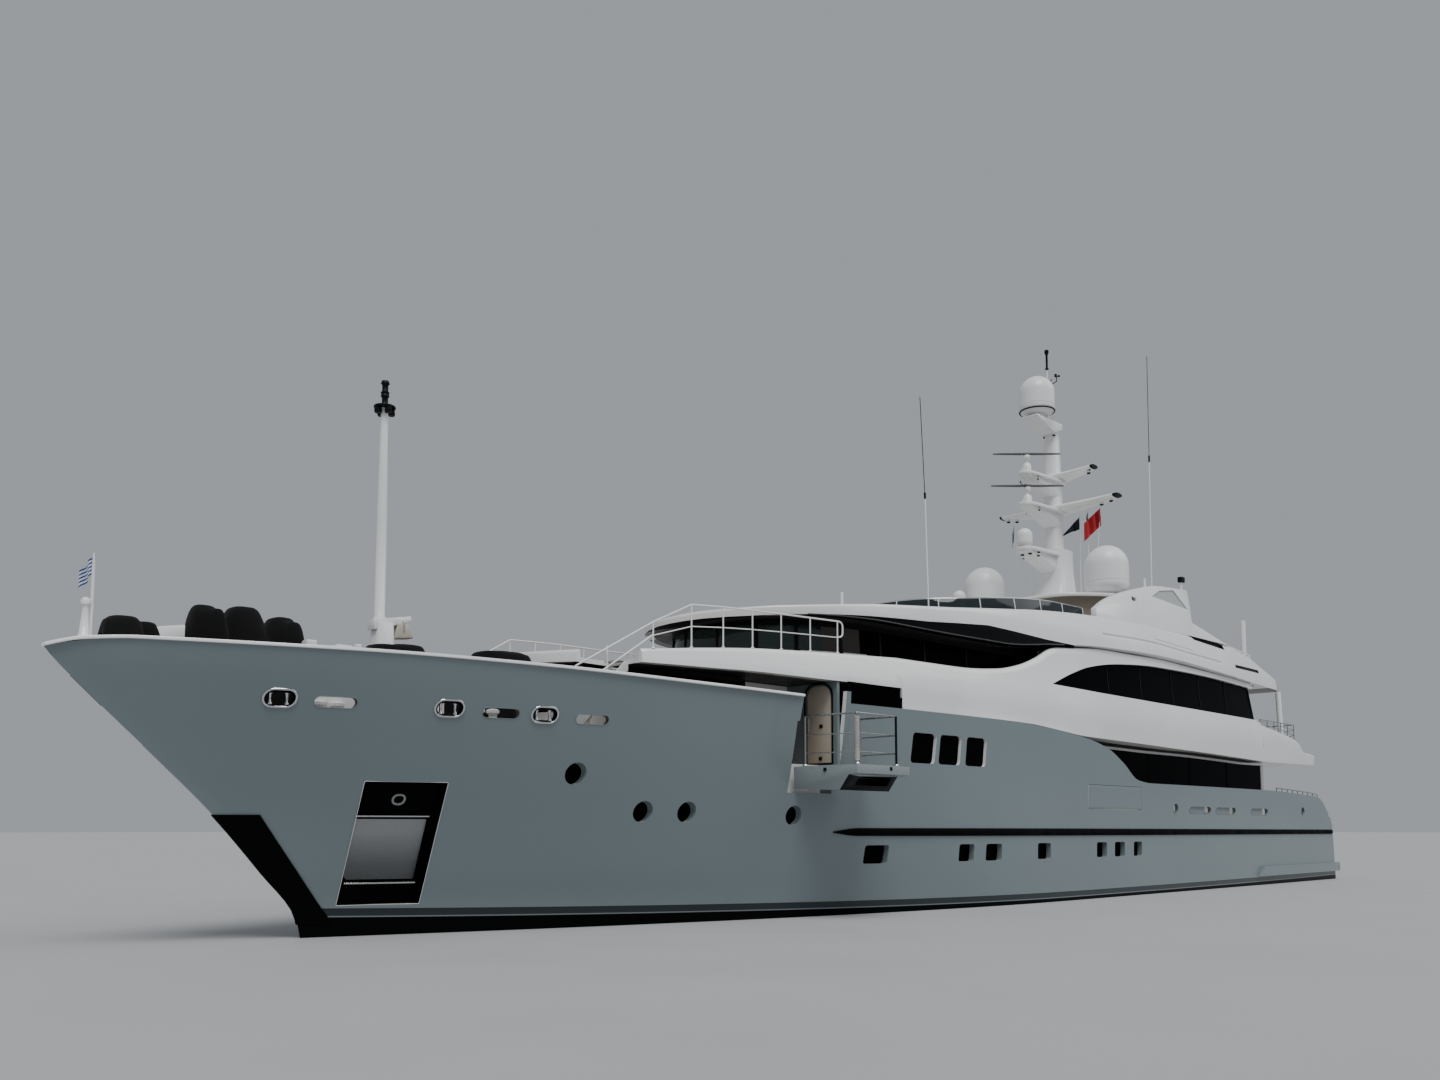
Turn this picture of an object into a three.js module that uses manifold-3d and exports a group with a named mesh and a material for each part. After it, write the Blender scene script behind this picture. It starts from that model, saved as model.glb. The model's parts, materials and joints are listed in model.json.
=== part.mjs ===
// A three-deck displacement motor yacht, built at 1:2.
// The full-size boat is 54 m long and 9.6 m wide. All sizes below are metres of the full-size
// boat, and MM turns them into millimetres of the half-size model.
// X points to the bow, Y to port and Z up. Z = 0 is the waterline and X = 0 is halfway along.
import * as THREE from "three";
import { mergeVertices } from "three/addons/utils/BufferGeometryUtils.js";
import Module from "manifold-3d";

const wasm = await Module();
wasm.setup();

// Driving dimensions, in metres of the full-size boat
const MM = 500;
const LENGTH = 54;
const BEAM = 9.6;
const DRAFT = 2.9;
const BOW_X = LENGTH / 2;
const STERN_X = -LENGTH / 2;
const RAIL_Z = 5.86;
const FORE_DECK_Z = 4.45;
const LOBBY_Z = 3.95;
const MAIN_DECK_Z = 2.85;
const PLATE = 0.12;
const SEAT = 0.0008;
const RUN = 0.014;

// Paint and material colours
const PAINT = {
  hull: { color: 0x8b989c, roughness: 0.25, metalness: 0.1 },
  white: { color: 0xe6e7e6, roughness: 0.25, metalness: 0.0 },
  black: { color: 0x0b0c0e, roughness: 0.4, metalness: 0.0 },
  glass: { color: 0x07080a, roughness: 0.08, metalness: 0.0 },
  steel: { color: 0xb9bcbe, roughness: 0.2, metalness: 1.0 },
  bronze: { color: 0x9a7440, roughness: 0.35, metalness: 1.0 },
  cloth: { color: 0x060607, roughness: 0.95, metalness: 0.0 },
  beige: { color: 0xc9bda9, roughness: 0.6, metalness: 0.0 },
};

const yacht = new THREE.Group();
yacht.name = "motor_yacht";
const lerp = (a, b, t) => a + (b - a) * t;
const clamp01 = (t) => Math.min(1, Math.max(0, t));

// Straight-line reading of a table whose rows are [x, value], in rising x
function read(table, x) {
  if (x <= table[0][0]) return table[0][1];
  for (let i = 1; i < table.length; i++) {
    const [x0, v0] = table[i - 1];
    const [x1, v1] = table[i];
    if (x <= x1) return lerp(v0, v1, (x - x0) / (x1 - x0));
  }
  return table[table.length - 1][1];
}

// Solids

function solidOf(positions, indices) {
  const geometry = new THREE.BufferGeometry();
  geometry.setAttribute("position", new THREE.Float32BufferAttribute(positions, 3));
  geometry.setIndex(indices);
  return fromGeometry(geometry);
}

function fromGeometry(geometry) {
  geometry.deleteAttribute("normal");
  geometry.deleteAttribute("uv");
  const merged = mergeVertices(geometry, 1e-6);
  const build = (triVerts) =>
    new wasm.Manifold(
      new wasm.Mesh({ numProp: 3, vertProperties: merged.attributes.position.array, triVerts }),
    );
  const tris = new Uint32Array(merged.index.array);
  const made = build(tris);
  if (made.volume() > 0) return made;
  for (let i = 0; i < tris.length; i += 3) {
    [tris[i + 1], tris[i + 2]] = [tris[i + 2], tris[i + 1]];
  }
  return build(tris);
}

// Skin over rings of [x, y, z] points. Point k of a ring faces point n - 1 - k across the ring,
// so each end is closed by a strip of quads, and quads are split alike on both halves.
function loft(rings, closed = false) {
  const n = rings[0].length;
  const positions = rings.flat(2);
  const indices = [];
  const at = (i, k) => i * n + ((k + n) % n);
  const quad = (a, b, c, d) => indices.push(a, b, c, a, c, d);
  for (let i = 0; i + 1 < rings.length; i++) {
    for (let k = 0; k < n; k++) {
      const [a, b, c, d] = [at(i, k), at(i, k + 1), at(i + 1, k + 1), at(i + 1, k)];
      if (k < n / 2) quad(a, b, c, d);
      else quad(b, c, d, a);
    }
  }
  const last = rings.length - 1;
  for (let k = 0; !closed && k < n / 2 - 1; k++) {
    quad(at(0, k), at(0, n - 1 - k), at(0, n - 2 - k), at(0, k + 1));
    quad(at(last, k), at(last, k + 1), at(last, n - 2 - k), at(last, n - 1 - k));
  }
  return solidOf(positions, indices);
}

// A flat outline of [a, b] points pushed along one axis: "z" takes the points as x, y,
// "y" takes them as x, z, and "x" takes them as y, z.
function prism(points, along, low, high) {
  const shape = new THREE.Shape(points.map(([a, b]) => new THREE.Vector2(a, b)));
  const geometry = new THREE.ExtrudeGeometry(shape, { depth: high - low, bevelEnabled: false });
  const p = geometry.attributes.position;
  for (let i = 0; i < p.count; i++) {
    const [a, b, c] = [p.getX(i), p.getY(i), p.getZ(i) + low];
    if (along === "z") p.setXYZ(i, a, b, c);
    if (along === "y") p.setXYZ(i, a, c, b);
    if (along === "x") p.setXYZ(i, c, a, b);
  }
  return fromGeometry(geometry);
}

function box(x0, x1, y0, y1, z0, z1) {
  return prism([[x0, y0], [x1, y0], [x1, y1], [x0, y1]], "z", z0, z1);
}

// A round bar between two points
function bar(from, to, radius, sides = 8, radiusEnd = radius) {
  const a = new THREE.Vector3(...from);
  const b = new THREE.Vector3(...to);
  const length = a.distanceTo(b);
  const geometry = new THREE.CylinderGeometry(radiusEnd, radius, length, sides);
  const turn = new THREE.Quaternion().setFromUnitVectors(
    new THREE.Vector3(0, 1, 0),
    b.clone().sub(a).normalize(),
  );
  const matrix = new THREE.Matrix4().compose(
    a.clone().add(b).multiplyScalar(0.5),
    turn,
    new THREE.Vector3(1, 1, 1),
  );
  return fromGeometry(geometry.applyMatrix4(matrix));
}

// A tube along a run of points, mitred at its bends
function pipe(points, radius, sides = 6) {
  const path = points.map((point) => new THREE.Vector3(...point));
  const up = new THREE.Vector3(0, 0, 1);
  const rings = path.map((at, i) => {
    const before = at.clone().sub(path[Math.max(0, i - 1)]).normalize();
    const after = path[Math.min(path.length - 1, i + 1)].clone().sub(at).normalize();
    const along = before.add(after).normalize();
    const side = new THREE.Vector3().crossVectors(up, along).normalize();
    const over = new THREE.Vector3().crossVectors(along, side);
    const leg = i === 0 ? after : at.clone().sub(path[i - 1]).normalize();
    const wide = radius / Math.max(0.5, Math.abs(along.dot(leg)));
    return Array.from({ length: sides }, (_, k) => {
      const a = ((k + 0.5) * 2 * Math.PI) / sides;
      const point = at.clone().addScaledVector(side, Math.cos(a) * wide);
      return point.addScaledVector(over, Math.sin(a) * radius).toArray();
    });
  });
  return loft(rings);
}

const union = (solids) => solids.reduce((sum, s) => sum.add(s));

function mirrored(solid) {
  return solid.mirror([0, 1, 0]);
}

function node(name, solid, paint) {
  const mesh = solid.scale([MM, MM, MM]).getMesh();
  const stride = mesh.numProp;
  const positions = new Float32Array(mesh.numVert * 3);
  for (let i = 0; i < mesh.numVert; i++) {
    positions.set(mesh.vertProperties.subarray(i * stride, i * stride + 3), i * 3);
  }
  const geometry = new THREE.BufferGeometry();
  geometry.setAttribute("position", new THREE.BufferAttribute(positions, 3));
  geometry.setIndex(new THREE.BufferAttribute(mesh.triVerts, 1));
  geometry.computeVertexNormals();
  const made = new THREE.Mesh(geometry, new THREE.MeshStandardMaterial(paint));
  made.name = name;
  yacht.add(made);
}

function pair(name, port, paint) {
  node(`${name}_port`, port, paint);
  node(`${name}_stbd`, mirrored(port), paint);
}

// Hull form

// Height above water, x of the stem
const STEM = [
  [0, 21.84],
  [0.45, 21.95],
  [1.37, 22.7],
  [2.59, 23.78],
  [3.8, 25.05],
  [4.8, 26.13],
  [5.63, 26.96],
  [5.86, 27.12],
];
// Height above water, x of the stern's corner
const STERN = [
  [0, -26.15],
  [2.33, -26.05],
  [3.07, -25.7],
  [5.86, -24.2],
];
// x, depth of the keel line
const KEEL = [
  [-26.2, 0.75],
  [-19, 1.3],
  [-9, DRAFT - 0.15],
  [-2, DRAFT],
  [9, DRAFT],
  [14.5, 2.6],
  [17.8, 2.0],
  [20, 1.2],
  [21.3, 0.5],
  [21.84, 0.06],
];
// Shares of the length and of the height at which the hull's sections are taken
const STATIONS = [
  0, 0.04, 0.1, 0.18, 0.27, 0.37, 0.47, 0.56, 0.64, 0.71, 0.77, 0.82, 0.865, 0.9, 0.93, 0.955,
  0.975, 0.99, 1,
];
const UNDER_WATER = [1, 0.9, 0.72, 0.48, 0.22];
const OVER_WATER = [0, 0.15, 0.32, 0.5, 0.74, 1];
const WATER_HALF = 4.6;
const SHARP_EDGE = 0.04;

// Half breadth of the hull at a height above water
function halfOver(x, z, skin = 0) {
  const s = clamp01(z / RAIL_Z);
  const widest = lerp(WATER_HALF, BEAM / 2, s);
  const power = lerp(1.75, 2.6, s);
  const mid = lerp(-0.9, 2.0, s);
  const stem = read(STEM, z);
  let y = widest;
  if (x > mid) y = widest * (1 - clamp01((x - mid) / (stem - mid)) ** power);
  if (x < -8) y -= lerp(0.14, 0.42, s) * ((-8 - x) / 18.5) ** 2;
  return Math.max(SHARP_EDGE * 0.5, y + skin);
}

// Half breadth of the hull at a share w of the keel's depth, 0 at the waterline and 1 at the keel
function halfUnder(x, w, skin = 0) {
  const fore = clamp01((x - 2) / 16);
  const aft = clamp01((-10 - x) / 14);
  const bilge = lerp(lerp(2.3, 1.15, fore), 1.9, aft);
  const turn = lerp(lerp(0.62, 1.0, fore), 0.75, aft);
  const y = halfOver(x, 0) * (1 - w ** bilge) ** turn;
  return Math.max(SHARP_EDGE * 0.5, y + skin);
}

// The whole hull up to the rail. A skin below zero draws it in, and its ends with it.
function hullForm(skin = 0) {
  const draw = skin < 0 ? 2.4 * skin : skin;
  const rings = STATIONS.map((u) => {
    const side = [];
    for (const w of UNDER_WATER) {
      const x = lerp(read(STERN, 0) - skin, read(STEM, 0) + draw, u);
      side.push([x, halfUnder(x, w, skin), -read(KEEL, x) * w]);
    }
    for (const v of OVER_WATER) {
      const z = v * RAIL_Z;
      const x = lerp(read(STERN, z) - skin, read(STEM, z) + draw, u);
      side.push([x, halfOver(x, z, skin), z]);
    }
    return [...side, ...side.map(([x, y, z]) => [x, -y, z]).reverse()];
  });
  return loft(rings);
}

const WIDE = 12;
const HIGH = 30;
const sideView = (points) => prism(points, "y", -WIDE, WIDE);
const portView = (points) => prism(points, "y", 0.3, WIDE);
const hullBody = hullForm();
const hullInner = hullForm(-PLATE);
const shell = hullBody.subtract(hullInner);

// Lines that split the hull, the topsides and the bow bulwark, in side view

// The raked end of the bow bulwark, beside the side platform, and the step up to the foredeck
const RAKE = [
  [10.85, 5.6],
  [10.98, LOBBY_Z],
];
const STEP_X = 11.52;
const TOPSIDE_FORE_X = 9.35;
// x, z of the upper edge of the topsides from the lobby to the stern
const TOPSIDE_EDGE = [
  [TOPSIDE_FORE_X, 6.08],
  [8.93, 6.08],
  [8.9, 5.55],
  [2.4, 5.55],
  [-0.4, 5.46],
  [-2.8, 5.26],
  [-4.2, 5.0],
  [-5.3, 4.55],
  [-6.4, 3.98],
  [-7.4, 3.9],
  [-18, 3.9],
  [-22, 3.82],
  [-24.3, 3.72],
  [-25.1, 3.4],
  [-25.6, 2.98],
];
// x, z of the top of the bow bulwark
const RAIL_LINE = [
  [10.9, 5.6],
  [14.1, 5.68],
  [18, 5.8],
  [22, 5.86],
  [25.5, 5.86],
  [26.4, 5.8],
  [BOW_X + 0.2, 5.58],
];

// Hull: foredeck forward, lobby sill, main deck aft
let hull = hullBody.intersect(
  sideView([
    [STERN_X - 1, -HIGH],
    [STERN_X - 1, MAIN_DECK_Z],
    [TOPSIDE_FORE_X, MAIN_DECK_Z],
    [TOPSIDE_FORE_X, LOBBY_Z],
    [STEP_X, LOBBY_Z],
    [STEP_X, FORE_DECK_Z],
    [BOW_X + 1, FORE_DECK_Z],
    [BOW_X + 1, -HIGH],
  ]),
);

// Stairs from the main deck to the swim platform, one each side of the stern
const STAIR = { x: -23.0, inner: 3.0, outer: 3.95, going: 0.34, steps: 9 };
const SWIM_Z = 0.62;
const treads = [[STAIR.x, MAIN_DECK_Z + 1]];
for (let i = 0; i < STAIR.steps; i++) {
  const x = STAIR.x - i * STAIR.going;
  const z = MAIN_DECK_Z - ((i + 1) * (MAIN_DECK_Z - SWIM_Z)) / STAIR.steps;
  treads.push([x, z], [x - STAIR.going, z]);
}
treads.push([STERN_X - 1, SWIM_Z], [STERN_X - 1, MAIN_DECK_Z + 1]);
const stairWell = prism(treads, "y", STAIR.inner, STAIR.outer);
hull = hull.subtract(stairWell).subtract(mirrored(stairWell));

// Between the stairs the stern slopes forward. Its door closes a shallow bay.
const SLOPE = { foot: -26.0, per: 0.217 };
const sloped = (solid) =>
  solid.warp((v) => {
    v[0] += (v[2] - SWIM_Z) * SLOPE.per;
  });
const BAY = { y: 2.2, z0: 0.95, z1: 2.45, deep: 0.45, door: 0.12, gap: 0.014 };
const sternCut = sloped(
  box(STERN_X - 2, SLOPE.foot, -STAIR.inner - 0.01, STAIR.inner + 0.01, SWIM_Z, MAIN_DECK_Z + 1),
);
const bayCut = sloped(
  box(SLOPE.foot - 0.5, SLOPE.foot + BAY.deep, -BAY.y, BAY.y, BAY.z0, BAY.z1),
);
const bayHinge = { x: SLOPE.foot + (BAY.z1 - 0.09 - SWIM_Z) * SLOPE.per + 0.06, z: BAY.z1 - 0.09 };
const HINGE = { pin: 0.024, hole: 0.0252 };
hull = hull
  .subtract(sternCut)
  .subtract(bayCut)
  .subtract(
    bar(
      [bayHinge.x, -BAY.y - 0.08, bayHinge.z],
      [bayHinge.x, BAY.y + 0.08, bayHinge.z],
      HINGE.hole,
      12,
    ),
  );
const sternDoor = sloped(
  box(
    SLOPE.foot + 0.002,
    SLOPE.foot + BAY.door,
    -BAY.y + BAY.gap,
    BAY.y - BAY.gap,
    BAY.z0 + BAY.gap,
    BAY.z1 - 0.05,
  ),
).add(
  bar(
    [bayHinge.x, SEAT - BAY.y - 0.08, bayHinge.z],
    [bayHinge.x, BAY.y + 0.08 - SEAT, bayHinge.z],
    HINGE.pin,
    12,
  ),
);

// Skeg on the centreline
hull = hull.add(
  prism([[-4, -2.6], [-4, -2.88], [-16.5, -2.75], [-17.6, -2.3], [-18.4, -1.2]], "y", -0.14, 0.14),
);

// Anchor pockets, each with a bright plate on its floor
const POCKET = { x0: 19.52, x1: 21.17, z0: 0.66, z1: 3.28, rake: 0.05, deep: 0.34, plate: 0.05 };
const pocketView = (grow) =>
  portView([
    [POCKET.x0 + POCKET.rake - grow, POCKET.z0 - grow],
    [POCKET.x1 + POCKET.rake + grow, POCKET.z0 - grow],
    [POCKET.x1 + grow, POCKET.z1 + grow],
    [POCKET.x0 - grow, POCKET.z1 + grow],
  ]);
const pocketFloor = hullForm(-POCKET.deep);
const pocketCut = pocketView(0).subtract(pocketFloor);
hull = hull.subtract(pocketCut).subtract(mirrored(pocketCut));
const pocketPlate = hullForm(SEAT - POCKET.deep + POCKET.plate)
  .subtract(hullForm(SEAT - POCKET.deep))
  .intersect(pocketView(-0.1))
  .intersect(box(18, 23, 0.3, 6, 1.2, 2.5));

// Bow thruster tunnel, right through the forefoot
hull = hull.subtract(bar([15.4, -4, -1.6], [15.4, 4, -1.6], 0.42, 14));

// Side platform. With its posts taken out it folds up and closes the bulwark's gap, so the hull
// is notched below it.
const PLATFORM = { x0: 9.64, x1: 10.78, xAft: 8.58, xFore: 10.68, y0: 4.02, y1: 6.0, top: 3.86 };
const platformHinge = { y: 3.96, z: 3.7 };
const NOTCH = { x0: 9.52, x1: 10.98, y: 3.79, z: 3.2 };
const notch = box(NOTCH.x0, NOTCH.x1, NOTCH.y, 7, NOTCH.z, 5);
const platformBore = bar(
  [NOTCH.x0 - 0.1, platformHinge.y, platformHinge.z],
  [NOTCH.x1 + 0.1, platformHinge.y, platformHinge.z],
  HINGE.hole,
  12,
);
for (const cut of [notch, platformBore]) hull = hull.subtract(cut).subtract(mirrored(cut));

// Side door: a panel of the aft bulwark that folds down for boarding
const DOOR = { x0: -6.6, x1: -2.9, z0: 2.96, z1: 3.74, thick: 0.09, gap: 0.014, foot: 0.03 };
const doorHinge = { y: halfOver(DOOR.x0, DOOR.z0 + 0.07) - 0.045, z: DOOR.z0 + 0.07 };
const doorView = (grow, foot = grow) =>
  portView([
    [DOOR.x0 - grow, DOOR.z0 - foot],
    [DOOR.x1 + grow, DOOR.z0 - foot],
    [DOOR.x1 + grow, DOOR.z1 + grow],
    [DOOR.x0 - grow, DOOR.z1 + grow],
  ]);
const doorPins = (radius, out) =>
  bar(
    [DOOR.x0 - out, doorHinge.y, doorHinge.z],
    [DOOR.x1 + out, doorHinge.y, doorHinge.z],
    radius,
    12,
  );
const sideDoor = hullBody
  .subtract(hullForm(-DOOR.thick))
  .intersect(doorView(0))
  .add(doorPins(HINGE.pin, 0.08 - SEAT));

// A rounded slot through a ship's side: x, z of its centre, its length and height
function slotCut([x, z, length, height], y0, y1) {
  const r = height / 2;
  const half = length / 2 - r;
  const points = [];
  for (const [sign, from] of [[1, -90], [-1, 90]]) {
    for (let i = 0; i <= 4; i++) {
      const a = THREE.MathUtils.degToRad(from + i * 45);
      points.push([x + sign * half + r * Math.cos(a), z + r * Math.sin(a)]);
    }
  }
  return prism(points, "y", y0, y1);
}
// x, z, length, height of the openings along the aft bulwark
const AFT_SLOTS = [
  [-9.3, 3.03, 0.34, 0.34],
  [-11.35, 3.0, 1.7, 0.2],
  [-13.7, 3.0, 1.7, 0.2],
  [-17.1, 3.0, 1.6, 0.2],
  [-22.2, 3.06, 0.34, 0.34],
];
// x, z, length, height of the mooring slots in the bow bulwark
const BOW_SLOTS = [
  [23.06, 4.88, 0.54, 0.29],
  [22.05, 4.84, 0.8, 0.22],
  [19.86, 4.82, 0.54, 0.29],
  [18.77, 4.77, 0.8, 0.22],
  [17.81, 4.78, 0.54, 0.29],
  [16.69, 4.73, 0.8, 0.22],
];
// x of the after and forward edges of the three cabin windows in each topside
const CABIN_WINDOWS = [
  [5.7, 6.6],
  [4.53, 5.38],
  [3.27, 4.12],
];
const CABIN = { sill: 4.1, head: 4.94, lean: 0.06 };

let topside = shell
  .intersect(portView([
    [TOPSIDE_FORE_X - 0.002, MAIN_DECK_Z + SEAT],
    ...TOPSIDE_EDGE.map(([x, z]) => [x - 0.002, z]),
    [-25.62, MAIN_DECK_Z + SEAT],
  ]))
  .intersect(box(-25.62, TOPSIDE_FORE_X, STAIR.outer + 0.002, WIDE, 0, 7))
  .subtract(doorView(DOOR.gap, DOOR.foot))
  .subtract(doorPins(HINGE.hole, 0.08));
for (const slot of AFT_SLOTS) topside = topside.subtract(slotCut(slot, 3.5, 6));
for (const [x0, x1] of CABIN_WINDOWS) {
  topside = topside.subtract(
    portView([
      [x0, CABIN.sill],
      [x1, CABIN.sill],
      [x1 - CABIN.lean, CABIN.head],
      [x0 - CABIN.lean, CABIN.head],
    ]),
  );
}
// Dark glass behind the cabin windows, carried up and forward to the pane abreast the lobby
const sideGlass = hullForm(-PLATE - 0.002)
  .subtract(hullForm(-PLATE - 0.035))
  .intersect(portView([
    [3.0, CABIN.sill - 0.15],
    [6.86, CABIN.sill - 0.15],
    [6.98, CABIN.head + 0.15],
    [8.88, CABIN.head + 0.15],
    [8.88, 5.858],
    [6.98, 5.858],
    [6.98, 5.3],
    [3.0, 5.3],
  ]))
  .add(box(6.98, 8.88, 4.5, 4.56, 5.7, 6.137));

let bulwark = shell.intersect(
  sideView([
    ...RAIL_LINE.slice(1),
    [BOW_X + 0.2, FORE_DECK_Z + SEAT],
    [STEP_X - 0.0016, FORE_DECK_Z + SEAT],
    [STEP_X - 0.0016, LOBBY_Z + SEAT],
    [RAKE[1][0], LOBBY_Z + SEAT],
    RAKE[0],
  ]),
);
for (const slot of BOW_SLOTS) {
  const cut = slotCut(slot, 0.3, 6);
  bulwark = bulwark.subtract(cut).subtract(mirrored(cut));
}

// Cap rail of the bow bulwark, a band that stands a little proud of both faces
const CAP = { thick: 0.07, out: 0.05, in: 0.18 };
const capHeight = (x) => Math.min(RAIL_Z, read(RAIL_LINE, x) + 0.04);
const capRow = (x, off) => Math.max(0.02, halfOver(Math.min(x, BOW_X - 0.02), capHeight(x)) + off);
const capXs = [10.9, 12.5, 14.1, 16.1, 18, 20, 22, 23.6, 24.8, 25.0, 25.03, 25.5, 26, 26.4, 26.7, BOW_X];
const capRings = capXs.map((x) => {
  const z = read(RAIL_LINE, x) + SEAT + 0.001;
  const out = capRow(x, CAP.out);
  const inner = x > 25.01 ? -0.02 : capRow(x, -CAP.in);
  return [[x, out, z], [x, out, z + CAP.thick], [x, inner, z + CAP.thick], [x, inner, z]];
});
const capPort = loft(capRings);
const capRail = capPort.add(mirrored(capPort));

node("bow_bulwark", bulwark, PAINT.hull);
node("bow_cap_rail", capRail, PAINT.white);
pair("topside", topside, PAINT.hull);
pair("side_glass", sideGlass, PAINT.glass);
pair("side_door", sideDoor, PAINT.hull);
node("stern_door", sternDoor, PAINT.hull);
pair("anchor_pocket_plate", pocketPlate, PAINT.steel);

// Rub rails, stem guard and swim platform follow the hull's skin

const rub = hullForm(0.07)
  .subtract(hullForm(SEAT))
  .intersect(portView([[9.3, 2.2], [8.6, 2.31], [-26.04, 2.26], [-26.04, 2.06], [8.6, 2.1]]))
  .intersect(box(-25.9, 12, 2, 8, 0, 4));
pair("rub_rail", rub, PAINT.black);
const stemGuard = hullForm(0.035)
  .subtract(hullForm(SEAT))
  .intersect(sideView([[22.95, 2.57], [24.2, 2.57], [22.3, 0.28], [21.25, 0.28]]));
node("stem_guard", stemGuard, PAINT.black);

const FENDER = { out: 0.17, z0: 0.37, z1: 0.76, fore: -16.8 };
const swimSlab = prism(
  [
    [-26.17, 4.3],
    [-26.75, 4.3],
    [-27, 3.9],
    [-27, -3.9],
    [-26.75, -4.3],
    [-26.17, -4.3],
  ],
  "z",
  0.32,
  SWIM_Z,
);
const quarterStep = hullForm(FENDER.out)
  .subtract(hullForm(SEAT))
  .intersect(portView([
    [FENDER.fore, FENDER.z0],
    [FENDER.fore - 0.6, FENDER.z1],
    [-26.3, FENDER.z1],
    [-26.3, FENDER.z0],
  ]))
  .intersect(box(-26.6, -16, 2, 8, 0, 2));
const sternBand = box(-26.3, -26.17, -4.62, 4.62, FENDER.z0, SWIM_Z);
const swimPlatform = union([swimSlab, sternBand, quarterStep, mirrored(quarterStep)]).subtract(
  hullForm(SEAT),
);
node("swim_platform", swimPlatform, PAINT.hull);

// Side platforms with their stanchions and wires

const P = PLATFORM;
const CLEAR_Y = 4.66;
let platform = prism(
  [
    [P.x0, P.y0],
    [P.x1, P.y0],
    [P.xFore, P.y1],
    [P.xAft, P.y1],
    [P.xAft, CLEAR_Y],
    [P.x0, CLEAR_Y],
  ],
  "z",
  3,
  P.top,
).intersect(
  prism(
    [
      [P.y0, 3.3],
      [5.45, 3.24],
      [5.74, 3.62],
      [P.y1, 3.64],
      [P.y1, P.top],
      [P.y0, P.top],
    ],
    "x",
    8,
    12,
  ),
);
platform = platform
  .subtract(box(8.95, 10.3, 5.56, 7, 3.36, 3.6))
  .subtract(box(8, 8.74, 4, 7, 3, 3.62))
  .add(
    bar(
      [NOTCH.x0 - 0.1 + SEAT, platformHinge.y, platformHinge.z],
      [NOTCH.x1 + 0.1 - SEAT, platformHinge.y, platformHinge.z],
      HINGE.pin,
      12,
    ),
  )
  .add(box(P.x0, P.x1, platformHinge.y - 0.03, P.y0 + 0.02, platformHinge.z - 0.05, P.top - 0.04));
const foot = P.top - 0.02;
const corners = [
  [10.66, 4.3, 0.03],
  [10.56, 5.9, 0.055],
  [9.0, 5.9, 0.035],
  [9.0, 4.74, 0.03],
];
const platformParts = corners.map(([x, y, r]) => bar([x, y, foot], [x, y, foot + 1.28], r, 6));
for (const high of [0.32, 0.78, 1.26]) {
  const run = corners.map(([x, y]) => [x, y, foot + high]);
  platformParts.push(pipe(run, RUN, 4));
}
pair("side_platform", union([platform, ...platformParts]), PAINT.white);

// Decks and superstructure: sections across the boat, joined from aft to fore.

// How far the side leans out or in at a height above the waterline
const LEAN = [
  [5.1, -0.06],
  [5.6, 0],
  [6.1, 0.02],
  [6.5, -0.03],
  [7.0, -0.14],
  [7.8, -0.3],
  [8.7, -0.42],
  [9.3, -0.5],
  [9.9, -0.62],
];
const LEVELS = 4;

// Rows of x, half breadth, z of the lower edge, z of the upper edge, z of the deck, z of its
// underside. A deck at the height of the upper edge leaves no bulwark.
function deckLoft(rows, lean, thick = 0.13) {
  const rings = rows.map(([x, half, low, high, floor, under]) => {
    const at = (z) => Math.max(0.12, half + read(lean, z) - read(lean, low));
    const side = [
      [x, 0.03, under],
      [x, Math.max(0.06, half - 0.3), under],
    ];
    for (let k = 0; k <= LEVELS; k++) {
      const z = lerp(low, high, k / LEVELS);
      side.push([x, at(z), z]);
    }
    const rim = Math.max(0.09, at(high) - thick);
    const roof = floor > high;
    side.push([x, rim, high]);
    side.push(roof ? [x, Math.max(0.07, rim * 0.6), lerp(high, floor, 0.7)] : [x, rim - 0.01, floor]);
    side.push([x, 0.03, floor]);
    return [...side, ...side.map(([a, b, c]) => [a, -b, c]).reverse()];
  });
  return loft(rings);
}

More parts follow.
